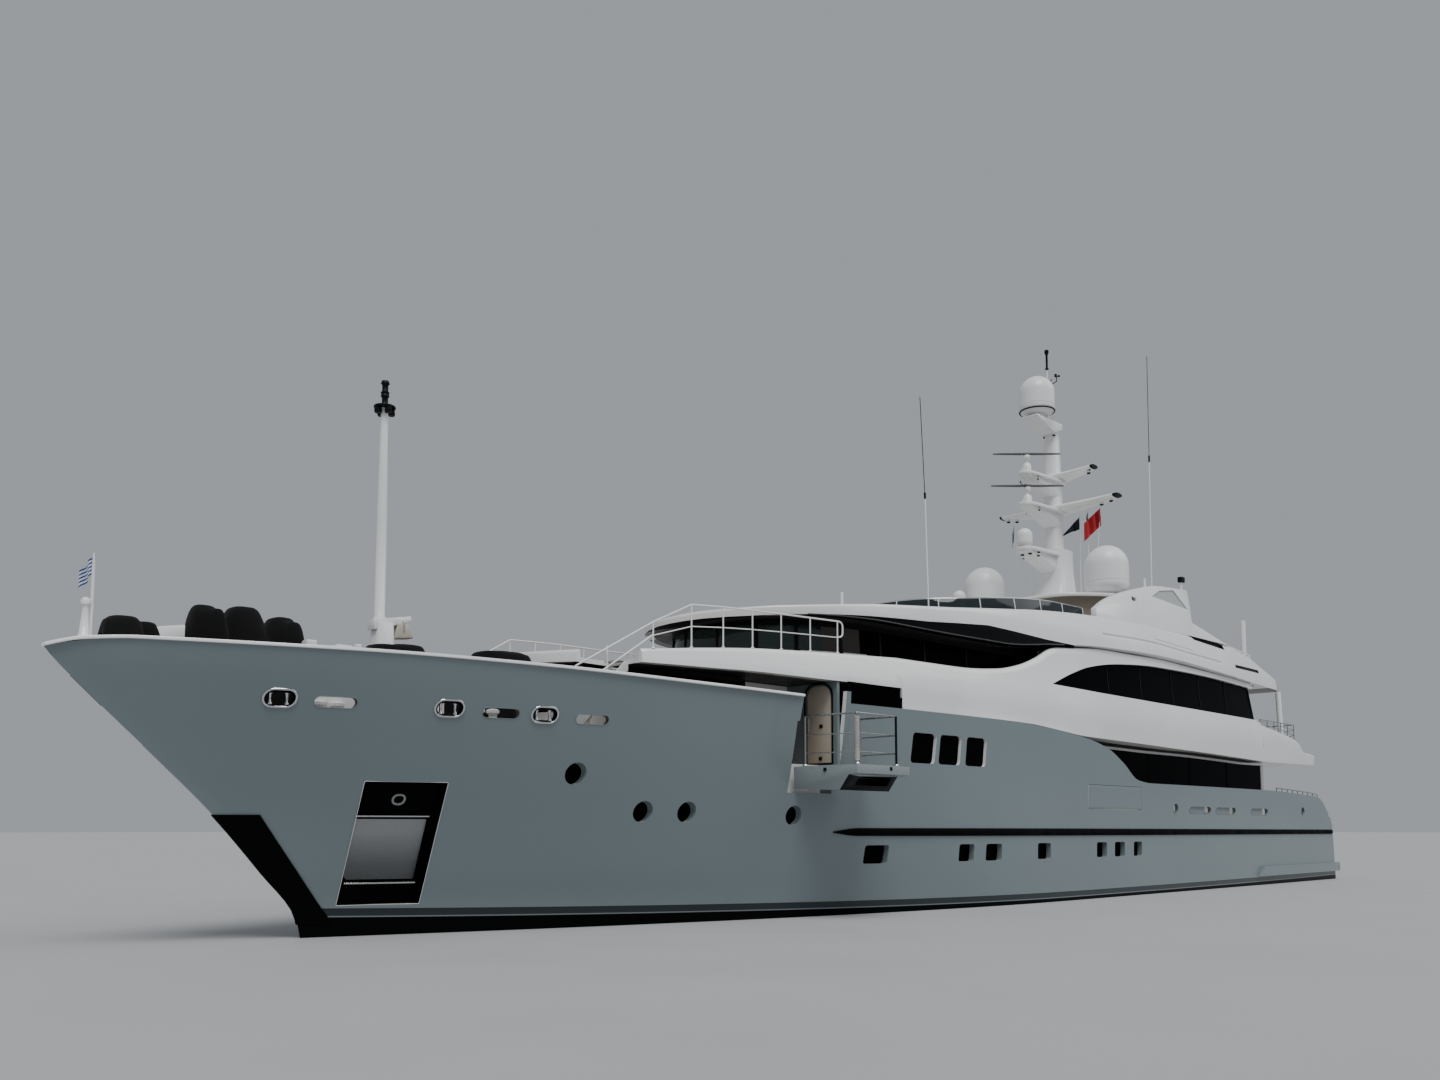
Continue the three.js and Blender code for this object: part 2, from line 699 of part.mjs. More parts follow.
// Upper deck with its bulwarks, the saloon's sides and the walkway before the wheelhouse
const UPPER_ROWS = [
  [-25.2, 3.2, 5.3, 5.54, 5.54, 5.3],
  [-25.05, 3.85, 5.24, 5.6, 5.6, 5.24],
  [-24.75, 4.2, 5.2, 5.63, 5.63, 5.2],
  [-24.7, 4.22, 5.2, 5.64, 5.45, 5.2],
  [-23.1, 4.32, 5.18, 5.74, 5.45, 5.18],
  [-22.4, 4.36, 5.17, 6.1, 5.45, 5.17],
  [-21.4, 4.4, 5.15, 6.3, 5.45, 5.15],
  [-18.02, 4.5, 5.11, 6.66, 5.45, 5.11],
  [-18.0, 4.5, 5.11, 8.424, 5.45, 5.11],
  [-15.2, 4.56, 5.16, 8.498, 5.5, 5.16],
  [-11.8, 4.6, 5.22, 8.557, 5.5, 5.2],
  [-9.5, 4.62, 5.25, 8.598, 5.5, 5.2],
  [-7.2, 4.63, 5.29, 8.548, 5.5, 5.22],
  [-4.9, 4.64, 5.32, 8.498, 5.5, 5.25],
  [-2.9, 4.65, 5.35, 8.33, 5.6, 5.3],
  [-1.6, 4.65, 5.43, 8.2, 5.65, 5.35],
  [-0.6, 4.65, 5.5, 7.8, 5.7, 5.4],
  [0.6, 4.65, 5.56, 7.42, 5.75, 5.45],
  [2.0, 4.65, 5.57, 7.16, 5.75, 5.5],
  [4.0, 4.62, 5.57, 7.02, 5.75, 5.5],
  [6.9, 4.55, 5.57, 7.0, 5.75, 5.5],
  [6.95, 4.5, 6.14, 7.0, 6.26, 6.14],
  [9.66, 4.36, 6.14, 6.88, 6.26, 6.14],
  [12.08, 4.12, 6.16, 6.76, 6.26, 6.16],
  [13.9, 3.92, 6.13, 6.6, 6.26, 6.13],
  [15.0, 3.62, 6.14, 6.5, 6.26, 6.14],
  [15.6, 3.28, 6.16, 6.47, 6.27, 6.16],
  [16.1, 2.7, 6.17, 6.47, 6.28, 6.17],
  [16.6, 1.85, 6.19, 6.47, 6.28, 6.19],
  [17.05, 0.9, 6.2, 6.47, 6.46, 6.2],
  [17.25, 0.2, 6.22, 6.45, 6.45, 6.22],
];
// x, z round the arched saloon window
const ARCH_WINDOW = [
  [-1.38, 6.94],
  [-2.6, 7.35],
  [-3.9, 7.74],
  [-6.04, 8.08],
  [-9.14, 8.27],
  [-12.6, 8.31],
  [-17.7, 8.2],
  [-17.7, 6.82],
  [-10, 6.86],
  [-4, 6.9],
];
let upperDeck = deckLoft(UPPER_ROWS, LEAN);
const archCut = prism(ARCH_WINDOW, "y", 3.2, 6);
const stairHead = box(15.36, 18, 2.27, 5, 5.5, 7);
for (const cut of [archCut, stairHead]) upperDeck = upperDeck.subtract(cut).subtract(mirrored(cut));

// Sun deck: its band sweeps forward into the brow over the wheelhouse
const SUN_ROWS = [
  [-21.6, 3.2, 8.4, 8.74, 8.74, 8.4],
  [-21.45, 3.8, 8.36, 8.8, 8.8, 8.36],
  [-21.2, 4.02, 8.35, 8.86, 8.86, 8.35],
  [-21.1, 4.05, 8.35, 8.88, 8.78, 8.35],
  [-19.5, 4.2, 8.4, 9.24, 8.78, 8.4],
  [-17.9, 4.3, 8.43, 9.64, 8.78, 8.43],
  [-15.2, 4.38, 8.53, 9.86, 8.8, 8.5],
  [-9.5, 4.42, 8.68, 9.82, 8.85, 8.6],
  [-4.9, 4.4, 8.56, 9.68, 8.85, 8.5],
  [-1.7, 4.36, 8.3, 9.46, 8.85, 8.25],
  [1.4, 4.3, 8.02, 9.12, 8.8, 8.0],
  [4.0, 4.2, 8.01, 8.83, 8.78, 8.0],
  [5.6, 4.14, 8.02, 8.67, 8.77, 8.02],
  [7.2, 4.0, 8.05, 8.52, 8.74, 8.05],
  [8.33, 3.72, 8.06, 8.41, 8.66, 8.06],
  [9.48, 3.1, 8.07, 8.32, 8.52, 8.07],
  [10.2, 2.45, 8.03, 8.28, 8.42, 8.03],
  [10.75, 1.65, 7.98, 8.23, 8.33, 7.98],
  [11.05, 0.9, 7.92, 8.2, 8.24, 7.92],
  [11.15, 0.25, 7.88, 8.17, 8.18, 7.88],
];
const SUN_LEAN = [
  [7.8, -0.04],
  [8.3, 0.06],
  [8.8, 0.02],
  [9.3, -0.1],
  [9.9, -0.3],
];
let sunDeck = deckLoft(SUN_ROWS, SUN_LEAN);

// A wall that follows a plan line. Rows are x, y, z of its foot, z of its head; the line runs
// from port aft, forward and round, and back down the starboard side.
function wall(rows, thick, { lean = 0, closed = false, skip = 0 } = {}) {
  const n = rows.length;
  const rings = rows.map(([x, y, low, high], i) => {
    const before = rows[closed ? (i + n - 1) % n : Math.max(0, i - 1)];
    const after = rows[closed ? (i + 1) % n : Math.min(n - 1, i + 1)];
    const a = new THREE.Vector2(x - before[0], y - before[1]);
    const b = new THREE.Vector2(after[0] - x, after[1] - y);
    if (a.length() < 1e-9) a.copy(b);
    if (b.length() < 1e-9) b.copy(a);
    const normal = a.normalize().add(b.normalize()).normalize();
    normal.set(-normal.y, normal.x);
    const corner = Math.max(0.5, normal.dot(new THREE.Vector2(-b.y, b.x)));
    const at = (off, z) => [x - (normal.x * off) / corner, y - (normal.y * off) / corner, z];
    return [
      at(skip, low),
      at(skip + lean, high),
      at(skip + lean + thick, high),
      at(skip + thick, low),
    ];
  });
  if (!closed) return loft(rings);
  return loft([...rings, rings[0]], true);
}
const both = (rows) => [
  ...rows,
  ...rows
    .filter(([, y]) => y > 0)
    .map(([x, y, ...rest]) => [x, -y, ...rest])
    .reverse(),
];

const tableOf = (rows, column) => rows.map((row) => [row[0], row[column]]);
const upperUnder = (x) => read(tableOf(UPPER_ROWS, 5), x) - 0.0016;
const sunUnder = (x) => read(tableOf(SUN_ROWS, 5), x) - 0.0016;
// A table of the y of a deck's bulwark at its crest: rows of x, y
const crestOf = (rows, lean) =>
  rows.map(([x, half, low, high]) => [x, half + read(lean, high) - read(lean, low)]);
const UPPER_CREST = crestOf(UPPER_ROWS, LEAN);
const SUN_CREST = crestOf(SUN_ROWS, SUN_LEAN);
const crestY = (x) => read(UPPER_CREST, x) - 0.065;
const crestZ = (x) => read(tableOf(UPPER_ROWS, 3), x) - 0.02;
const sunCrestY = (x) => read(SUN_CREST, x) - 0.065;
const sunCrestZ = (x) => read(tableOf(SUN_ROWS, 3), x) - 0.02;
// What stands on a deck runs a little into it, and is trimmed just clear of its surface
const standOn = (solid, deck, asides = [0]) =>
  asides.reduce((left, aside) => left.subtract(deck.translate([0, aside, SEAT])), solid);
const between = (rows, x0, x1) => rows.map(([x]) => x).filter((x) => x > x0 && x < x1);

// Main deck house: walls aft of the topsides' sweep, with dark glass behind their openings
const HOUSE = { half: 3.6, fore: -1.2, aft: -20.4, sill: 3.3 };
const houseRow = (x, y) => [x, y, MAIN_DECK_Z + SEAT, upperUnder(Math.min(x, -1.6))];
const houseXs = [
  HOUSE.aft + 0.4,
  ...between(UPPER_ROWS, HOUSE.aft + 0.5, HOUSE.fore - 0.1),
  HOUSE.fore,
];
const houseLine = both([
  houseRow(HOUSE.aft, 0),
  houseRow(HOUSE.aft, HOUSE.half - 0.4),
  ...houseXs.map((x) => houseRow(x, HOUSE.half)),
  houseRow(HOUSE.fore, 0),
]);
let house = wall(houseLine, PLATE, { closed: true });
const HOUSE_PANES = [
  [-19.8, -16.2],
  [-16.05, -12.4],
  [-12.25, -8.6],
  [-8.45, -4.8],
  [-4.65, -2.6],
];
for (const [x0, x1] of HOUSE_PANES) {
  const cut = prism(
    [
      [x0, HOUSE.sill],
      [x1, HOUSE.sill],
      [x1, upperUnder(x1) - 0.08],
      [x0, upperUnder(x0) - 0.08],
    ],
    "y",
    3,
    4,
  );
  house = house.subtract(cut).subtract(mirrored(cut));
}
house = house.subtract(box(-21, -20, -2.3, 2.3, MAIN_DECK_Z + 0.12, 4.95));
const paneLine = houseLine.map(([x, y, low, high]) => [x, y, low + 0.01, high - 0.02]);
const houseGlass = wall(paneLine, 0.03, { closed: true, skip: PLATE + 0.002 });
node("main_house", house, PAINT.white);
node("main_house_glass", houseGlass, PAINT.glass);

// Forward deckhouse below the walkway, with the lobby's recess each side
const FORE_HEAD = 6.1285;
const lobbyFoot = LOBBY_Z + SEAT;
const foreFoot = FORE_DECK_Z + SEAT;
const foreSide = [
  [11.5, 2.6, lobbyFoot],
  [11.51, 2.62, foreFoot],
  [11.65, 3.15, foreFoot],
  [12.6, 3.2, foreFoot],
  [13.9, 3.02, foreFoot],
  [14.9, 2.55, foreFoot],
  [15.65, 1.85, foreFoot],
  [16.2, 0.95, foreFoot],
  [16.35, 0.3, foreFoot],
  [16.36, 0, foreFoot],
].map((row) => [...row, FORE_HEAD]);
const foreAft = [
  [TOPSIDE_FORE_X + 0.012, 0, LOBBY_Z + SEAT, FORE_HEAD],
  [TOPSIDE_FORE_X + 0.012, 2.6, LOBBY_Z + SEAT, FORE_HEAD],
];
let foreHouse = wall(both([...foreAft, ...foreSide]), PLATE, { closed: true }).subtract(
  box(STEP_X - 0.0016, 18, -5, 5, 3, foreFoot),
);
const bulkhead = box(TOPSIDE_FORE_X + 0.012, NOTCH.x0 - 0.06, 2.4, 4.36, LOBBY_Z + SEAT, FORE_HEAD);
foreHouse = foreHouse.add(bulkhead).add(mirrored(bulkhead));
const forePosts = [[13.25, 3.2], [15.25, 2.3], [15.95, 1.3]].flatMap(([x, y]) =>
  [y, -y].map((side) => bar([x, side, 4], [x, side, 7], 0.14, 6)),
);
const foreBand = box(11.8, 17, -4, 4, 5.1, 6.0).subtract(union(forePosts));
const lobbyDoorway = box(9.95, 10.95, 2, 3, LOBBY_Z + 0.05, 5.95);
foreHouse = foreHouse
  .subtract(foreBand)
  .subtract(lobbyDoorway)
  .subtract(mirrored(lobbyDoorway));
const foreGlassLine = both(
  [[11.75, 3.155], ...foreSide.slice(3)].map(([x, y]) => [x, y, 5.0, 6.1]),
);
const foreGlass = wall(foreGlassLine, 0.03, { skip: PLATE + 0.002 });
node("fore_house", foreHouse, PAINT.white);
node("fore_house_glass", foreGlass, PAINT.glass);
// Lobby doors turn inward on a pivot in the floor at their after edge
const LOBBY_DOOR = { x0: 9.9, x1: 11.0, y0: 2.4, y1: 2.45, z0: LOBBY_Z + 0.014, z1: 6.0, deep: 0.08 };
const lobbyPivot = { x: LOBBY_DOOR.x0 + 0.025, y: (LOBBY_DOOR.y0 + LOBBY_DOOR.y1) / 2 };
const lobbyPin = (low, radius) =>
  bar([lobbyPivot.x, lobbyPivot.y, low], [lobbyPivot.x, lobbyPivot.y, 4.1], radius, 12);
const lobbyDoor = box(
  LOBBY_DOOR.x0,
  LOBBY_DOOR.x1,
  LOBBY_DOOR.y0,
  LOBBY_DOOR.y1,
  LOBBY_DOOR.z0,
  LOBBY_DOOR.z1,
).add(lobbyPin(LOBBY_Z - LOBBY_DOOR.deep + SEAT, HINGE.pin));
pair("lobby_door", lobbyDoor, PAINT.beige);
const lobbyBore = lobbyPin(LOBBY_Z - LOBBY_DOOR.deep, HINGE.hole);

// Stairs from the foredeck to the walkway
const STEP = { x0: 17.05, x1: 15.4, y0: 2.3, y1: 2.92, top: 6.26, count: 8 };
const stepLine = [[STEP.x1, FORE_DECK_Z + SEAT], [STEP.x0, FORE_DECK_Z + SEAT]];
for (let i = 0; i < STEP.count; i++) {
  const x = lerp(STEP.x0, STEP.x1, i / STEP.count);
  const z = lerp(FORE_DECK_Z, STEP.top, (i + 1) / STEP.count);
  stepLine.push([x, z], [lerp(STEP.x0, STEP.x1, (i + 1) / STEP.count), z]);
}
const foreStair = prism(stepLine, "y", STEP.y0, STEP.y1).subtract(
  prism([[15.8, 4.4], [15.3, 4.4], [15.3, 5.9], [15.5, 5.9]], "y", 2, 3),
);
pair("fore_stair", foreStair.intersect(hullForm(-PLATE - 0.004).add(box(15, 18, 0, 4, 5.8, 7))),
  PAINT.white);

// Saloon glass behind the arched windows, and the saloon's after bulkhead
const saloonInner = (x) => read(UPPER_CREST, x) - 0.13 - 0.0075;
const saloonXs = [-17.55, ...between(UPPER_ROWS, -17.5, -1.5), -1.2];
const saloonRows = saloonXs.map((x) => [
  x,
  saloonInner(x),
  6.7,
  Math.min(8.34, read(tableOf(UPPER_ROWS, 3), x) - 0.03),
]);
const AFT_WALL = { x: -17.7, z1: 8.42, half: saloonInner(-17.7) - 0.0036 };
const saloonGlass = wall(saloonRows, 0.035);
const saloonDoor = box(-17.57, -17.53, -saloonInner(-17.55), saloonInner(-17.55), 6.7, 8.2).add(
  box(-17.57, -17.53, -2.7, 2.7, 5.56, 8.2),
);
node("saloon_glass", union([saloonGlass, mirrored(saloonGlass), saloonDoor]), PAINT.glass);
const saloonWall = box(AFT_WALL.x, AFT_WALL.x + PLATE, -AFT_WALL.half, AFT_WALL.half, 5.4585, 8.42)
  .subtract(box(-18, -17, -2.5, 2.5, 5.6, 8.1));
node("saloon_aft_wall", saloonWall, PAINT.white);

// Wheelhouse and the side galleries: one ring of wall with a band of windows
const upperFloor = (x) => read(tableOf(UPPER_ROWS, 4), x) + 0.0016;
const wheelPlan = [
  [-2.6, 0],
  [-2.6, 3.3],
  [-2.5, 3.45],
  ...[-1.7, -1.6, -0.6, 0.6, 1.4, 2.0, 4.0, 5.6].map((x) => [x, 3.45]),
  [6.9, 3.36],
  [6.945, 3.355],
  [7.9, 3.1],
  [8.9, 2.62],
  [9.65, 1.98],
  [10.15, 1.2],
  [10.38, 0.45],
  [10.42, 0],
];
const wheelLine = both(
  wheelPlan.map(([x, y]) => [
    x,
    y,
    x > 6.94 ? upperFloor(7) : upperFloor(Math.min(Math.max(x, -2.2), 6.9)),
    sunUnder(x) - (x < -1.9 ? 0.025 : 0),
  ]),
);
let wheelhouse = wall(wheelLine, PLATE, { lean: 0.1, closed: true });
const wheelPosts = [
  [-0.4, 3.4],
  [2.0, 3.4],
  [4.2, 3.4],
  [6.3, 3.35],
  [7.75, 3.1],
  [8.95, 2.5],
  [9.75, 1.7],
  [10.2, 0.65],
].flatMap(([x, y]) => [y, -y].map((s) => bar([x, s, 7], [x, s, 9], 0.09, 6)));
const wheelBand = box(-2.2, 12, -5, 5, 7.2, 7.9).subtract(union(wheelPosts));
wheelhouse = wheelhouse.subtract(wheelBand);
// The glass leans with the wall, so it is drawn at full height and trimmed
const wheelGlass = wall(wheelLine, 0.03, { lean: 0.1, closed: true, skip: PLATE + 0.0127 }).intersect(
  box(-5, 12, -5, 5, 7.1, 7.93),
);
node("wheelhouse", wheelhouse, PAINT.white);
node("wheelhouse_glass", wheelGlass, PAINT.glass);

// Sun deck: coaming, curved windscreen, and the wings and roof that carry the mast
const SCREEN = { low: 9.32, thick: 0.03 };
// x, z of the windscreen's upper edge
const SCREEN_TOP = [
  [-5.2, 10.12],
  [-3.2, 10.08],
  [-1.4, 9.96],
  [0, 9.84],
  [1.1, 9.77],
  [2.14, 9.77],
];
const screenLine = [
  [-5.2, 3.5],
  [-3.2, 3.5],
  [-1.4, 3.42],
  [0.0, 3.05],
  [1.1, 2.4],
  [1.8, 1.5],
  [2.1, 0.6],
  [2.14, 0],
];
const sunFloor = (x) => read(tableOf(SUN_ROWS, 4), x);
const coamingRows = both(screenLine.map(([x, y]) => [x, y + 0.05, sunFloor(x) - 0.05, SCREEN.low]));
sunDeck = sunDeck.add(wall(coamingRows, 0.14));
// A tall whip aerial stands on the sun deck, another on the roof
const whip = (x, y, foot, head) => bar([x, y, foot], [x, y, head], 0.035, 6, 0.014);
sunDeck = sunDeck.add(whip(3.5, 3.0, 8.7, 13.8));
node("upper_deck", upperDeck, PAINT.white);
node("sun_deck", sunDeck, PAINT.white);
const screenRows = both(screenLine.map(([x, y]) => [x, y, SCREEN.low + SEAT, read(SCREEN_TOP, x)]));
node("sun_windscreen", wall(screenRows, SCREEN.thick, { lean: 0.1 }), PAINT.glass);

const WING_EDGE = [
  [-5.05, 10.0],
  [-6.15, 10.49],
  [-8.47, 11.18],
  [-10.95, 11.69],
  [-13.71, 11.92],
  [-13.53, 10.75],
  [-14.9, 10.42],
  [-16.53, 10.06],
  [-17.6, 9.75],
];
const WING_FOOT = [
  [-17.6, 9.64],
  [-15.2, 9.83],
  [-9.5, 9.79],
  [-4.9, 9.65],
];
const WING = { y: 3.86, thick: 0.2, tumble: 0.3 };
const wingSheet = prism([...WING_EDGE, ...WING_FOOT], "y", WING.y, WING.y + WING.thick).warp((v) => {
  v[1] -= WING.tumble * Math.max(0, v[2] - 9.9);
});
const wingPlate = standOn(wingSheet, sunDeck, [-SEAT, SEAT]);
const ROOF = { z: 10.85, thick: 0.16, fore: -6.6, aft: -13.6 };
const roof = prism(
  [
    [ROOF.fore + 0.5, 0],
    [ROOF.fore + 0.3, 2.0],
    [ROOF.fore - 1.2, 3.3],
    [-9, 3.62],
    [ROOF.aft + 0.3, 3.55],
    [ROOF.aft, 2.4],
    [ROOF.aft + 0.4, 0],
  ],
  "z",
  ROOF.z,
  ROOF.z + ROOF.thick,
);
const wingHold = prism([...WING_EDGE.slice(1, 5), [-13.6, 10.7], [-7.4, 10.7]], "y", 3.2, 3.7)
  .intersect(box(-14, -5, 3.1, 3.8, 10.72, 11.03));
const arch = union([
  roof,
  mirrored(roof),
  wingPlate,
  mirrored(wingPlate),
  wingHold,
  mirrored(wingHold),
  bar([-10.5, 3.44, 11.5], [-10.05, 3.44, 20.9], 0.035, 6, 0.014),
]);
node("arch", arch, PAINT.white);

// Mast: a tapered foot, a column, and the platforms it carries
const roofTop = ROOF.z + ROOF.thick + SEAT;
const mastFoot = prism(
  [[-8.4, roofTop], [-9.95, roofTop], [-9.9, 13.35], [-8.75, 13.35], [-8.8, 12.3]],
  "y",
  -0.6,
  0.6,
);
// The fore platform grows out of the foot in a wedge
const mastWedge = prism(
  [[-9.2, 12.3], [-8.75, 12.3], [-6.98, 13.02], [-6.98, 13.1], [-9.2, 13.1]],
  "y",
  -0.4,
  0.4,
);
// z at the foot and at the head, half length and half width of the column there
const COLUMN = [
  [13.2, 15.1, 0.36, 0.3],
  [15.0, 16.6, 0.33, 0.27],
  [16.5, 18.42, 0.28, 0.24],
];
const MAST_X = -9.4;
// Where the two radar scanners turn
const RADAR = { x: -7.44, low: 15.64, high: 16.92 };
const columnParts = COLUMN.map(([z0, z1, a, b]) =>
  box(MAST_X - a, MAST_X + a, -b, b, z0, z1),
);
// A platform: x of its fore end, half width aft, z, thickness
const platformOf = (fore, half, z, thick) =>
  prism(
    [
      [MAST_X - 0.3, half],
      [MAST_X + 0.4, half],
      [fore - 0.35, half * 0.75],
      [fore, half * 0.35],
      [fore, -half * 0.35],
      [fore - 0.35, -half * 0.75],
      [MAST_X + 0.4, -half],
      [MAST_X - 0.3, -half],
    ],
    "z",
    z,
    z + thick,
  );
// Spreader: half span, z at the root, rise to the tip, chord at the root and the tip
function spreader(span, z, rise, root, tip) {
  const rings = [-span, -span * 0.55, 0, span * 0.55, span].map((y) => {
    const t = Math.abs(y) / span;
    const c = lerp(root, tip, t) / 2;
    const h = z + rise * t;
    const x = MAST_X - 0.05 - 0.35 * t;
    const thick = lerp(0.17, 0.08, t);
    return [
      [x - c, y, h],
      [x - c, y, h + thick * 0.6],
      [x + c, y, h + thick * 0.8],
      [x + c, y, h - thick * 0.2],
    ];
  });
  return loft(rings);
}
const domeStand = prism([[-9.6, 18.35], [-9.0, 18.1], [-7.65, 18.5], [-7.65, 18.6], [-9.6, 18.6]],
  "y", -0.38, 0.38);
const POLE_X = MAST_X + 0.26;
const mast = union([
  mastFoot,
  mastWedge,
  ...columnParts,
  platformOf(-6.85, 0.55, 13.05, 0.14),
  platformOf(-7.0, 0.5, 14.86, 0.12),
  platformOf(-7.0, 0.45, 16.1, 0.12),
  spreader(2.62, 15.0, 0.25, 1.5, 0.55),
  spreader(1.64, 16.3, 0.3, 1.3, 0.5),
  domeStand,
  bar([POLE_X, 0, 18.5], [POLE_X, 0, 21.7], 0.045, 8),
  bar([POLE_X, 0, 20.15], [POLE_X, 0.45, 20.28], 0.025, 6),
  bar([POLE_X, 0.42, 20.2], [POLE_X, 0.42, 20.5], 0.05, 6),
  box(RADAR.x - 0.2, RADAR.x + 0.2, -0.2, 0.2, 14.9, 15.22),
  box(RADAR.x - 0.2, RADAR.x + 0.2, -0.2, 0.2, 16.15, 16.48),
  bar([RADAR.x, 0, 15.1], [RADAR.x, 0, RADAR.low - 0.04], 0.035, 10),
  bar([RADAR.x, 0, 16.4], [RADAR.x, 0, RADAR.high - 0.04], 0.035, 10),
]);

// A body of revolution about the vertical: rows of radius, z, from its lowest point to its top
function dome(x, y, rows, sides = 16) {
  const positions = [[x, y, rows[0][1]]];
  for (const [r, z] of rows) {
    if (r === 0) continue;
    for (let i = 0; i < sides; i++) {
      const a = (2 * Math.PI * i) / sides;
      positions.push([x + r * Math.cos(a), y + r * Math.sin(a), z]);
    }
  }
  positions.push([x, y, rows[rows.length - 1][1]]);
  const indices = [];
  const rings = (positions.length - 2) / sides;
  const at = (ring, i) => 1 + ring * sides + (i % sides);
  const last = positions.length - 1;
  for (let i = 0; i < sides; i++) {
    indices.push(0, at(0, i + 1), at(0, i));
    for (let ring = 0; ring + 1 < rings; ring++) {
      indices.push(at(ring, i), at(ring, i + 1), at(ring + 1, i + 1));
      indices.push(at(ring, i), at(ring + 1, i + 1), at(ring + 1, i));
    }
    indices.push(at(rings - 1, i), at(rings - 1, i + 1), last);
  }
  return solidOf(positions.flat(), indices);
}
// Radome rows for a radius, a foot and a height
const radomeRows = (r, z, high) => [
  [0, z],
  [r * 0.45, z],
  [r * 0.45, z + high * 0.08],
  [r * 0.88, z + high * 0.12],
  [r, z + high * 0.22],
  [r, z + high * 0.55],
  [r * 0.93, z + high * 0.75],
  [r * 0.72, z + high * 0.9],
  [r * 0.38, z + high * 0.98],
  [0, z + high],
];
const smallDome = dome(-7.15, 0, radomeRows(0.3, 13.15, 0.76), 12);
node("mast", mast.add(smallDome), PAINT.white);
pair("radome", dome(-8.45, 2.7, radomeRows(0.82, roofTop, 2.0)), PAINT.white);
node("radome_top", dome(-8.3, 0, radomeRows(0.7, 18.6 + SEAT, 1.72)), PAINT.white);

// Radar scanners turn on their posts
function scanner(z, half) {
  const arm = box(-half, half, -0.07, 0.07, 0.0, 0.13).rotate([0, 0, 135]);
  const hub = bar([0, 0, -0.16], [0, 0, 0.02], 0.13, 12);
  const bore = bar([0, 0, -0.3], [0, 0, -0.02], 0.0365, 12);
  return arm.add(hub).subtract(bore).translate([RADAR.x, 0, z]);
}
node("radar_lower", scanner(RADAR.low, 1.42), PAINT.white);
node("radar_upper", scanner(RADAR.high, 1.32), PAINT.white);

// Foredeck: signal mast, jackstaff, and the fitted black covers over the deck gear
const foremast = union([
  box(19.86, 20.5, -0.3, 0.3, FORE_DECK_Z + SEAT, 6.55),
  box(19.45, 20.4, -0.14, 0.14, 6.35, 6.8),
  bar([20.2, 0, 6.4], [20.2, 0, 12.0], 0.13, 12, 0.08),
  bar([20.2, 0, 11.9], [20.2, 0, 12.53], 0.09, 8, 0.06),
  box(20.0, 20.4, -0.25, 0.25, 11.85, 11.91),
]);
node("foremast", foremast, PAINT.white);
const noseTop = read(RAIL_LINE, 26.1) + 0.0018 + CAP.thick;
const jackstaff = bar([26.22, 0, noseTop + SEAT], [26.16, 0, 7.52], 0.035, 8).add(
  bar([26.2, 0, noseTop + SEAT], [26.2, 0, noseTop + 0.05], 0.09, 8),
);
node("jackstaff", jackstaff, PAINT.white);

// A soft cover: rows of x, half width, z of its hem, z of its top
function cover(rows, y = 0) {
  const rings = rows.map(([x, half, low, high]) => {
    const side = [
      [half, low],
      [half, lerp(low, high, 0.55)],
      [half * 0.86, lerp(low, high, 0.85)],
      [half * 0.45, high],
    ];
    return [
      ...side.map(([dy, z]) => [x, y + dy, z]),
      ...side.map(([dy, z]) => [x, y - dy, z]).reverse(),
    ];
  });
  return loft(rings);
}
const hem = FORE_DECK_Z + 0.0016;
const bowHem = RAIL_Z + 0.0018 + CAP.thick + SEAT;
node("cover_bow", cover([
  [25.15, 0.2, bowHem, 6.1],
  [25.3, 0.42, bowHem, 6.3],
  [25.6, 0.45, bowHem, 6.37],
  [25.85, 0.36, bowHem, 6.3],
  [26.0, 0.15, bowHem, 6.1],
]), PAINT.cloth);
const windlassAft = cover([
  [21.85, 0.9, hem, 6.1],
  [22.05, 1.05, hem, 6.6],
  [22.5, 1.08, hem, 6.83],
  [23.0, 1.0, hem, 6.7],
  [23.35, 0.85, hem, 6.3],
]);
const windlassFore = cover([
  [23.25, 0.72, hem, 6.2],
  [23.5, 0.8, hem, 6.6],
  [23.9, 0.6, hem, 6.7],
  [24.2, 0.44, hem, 6.62],
  [24.45, 0.28, hem, 6.25],
]);
node("cover_windlass", windlassAft.add(windlassFore), PAINT.cloth);
pair("cover_capstan", cover([
  [19.85, 0.35, hem, 5.7],
  [20.1, 0.48, hem, 6.1],
  [20.6, 0.5, hem, 6.2],
  [21.1, 0.42, hem, 6.1],
  [21.4, 0.25, hem, 5.7],
], 0.95), PAINT.cloth);
pair("cover_bench", cover([
  [17.35, 0.4, hem, 5.8],
  [17.6, 0.55, hem, 6.2],
  [18.2, 0.58, hem, 6.29],
  [18.65, 0.5, hem, 6.15],
  [18.9, 0.35, hem, 5.8],
], 1.5), PAINT.cloth);

// Rails

// Posts on a line of points, with bars along them at shares of the posts' height
function railing(points, wires, radius = 0.022, thin = 0.012) {
  const parts = points.map(([x, y, foot, head]) => bar([x, y, foot], [x, y, head], radius, 4));
  parts.push(pipe(points.map(([x, y, , head]) => [x, y, head]), radius, 4));
  for (const share of wires) {
    parts.push(pipe(points.map(([x, y, low, head]) => [x, y, lerp(low, head, share)]), thin, 4));
  }
  return union(parts);
}
const wingXs = [15.2, 14.6, 13.7, 12.9, 12.1, 11.35, 10.6, 9.9];
const wingTop = (x) => read([[9.9, 7.68], [14.6, 7.6], [15.2, 7.25]], x);
const wingPosts = wingXs.map((x) => [x, crestY(x), crestZ(x), wingTop(x)]);
const stairRail = union([
  bar([16.9, 2.86, FORE_DECK_Z + 0.3], [16.9, 2.86, 5.86], 0.022, 4),
  pipe([[16.95, 2.86, 5.8], [15.2, crestY(15.2), 7.25]], 0.022, 4),
]);
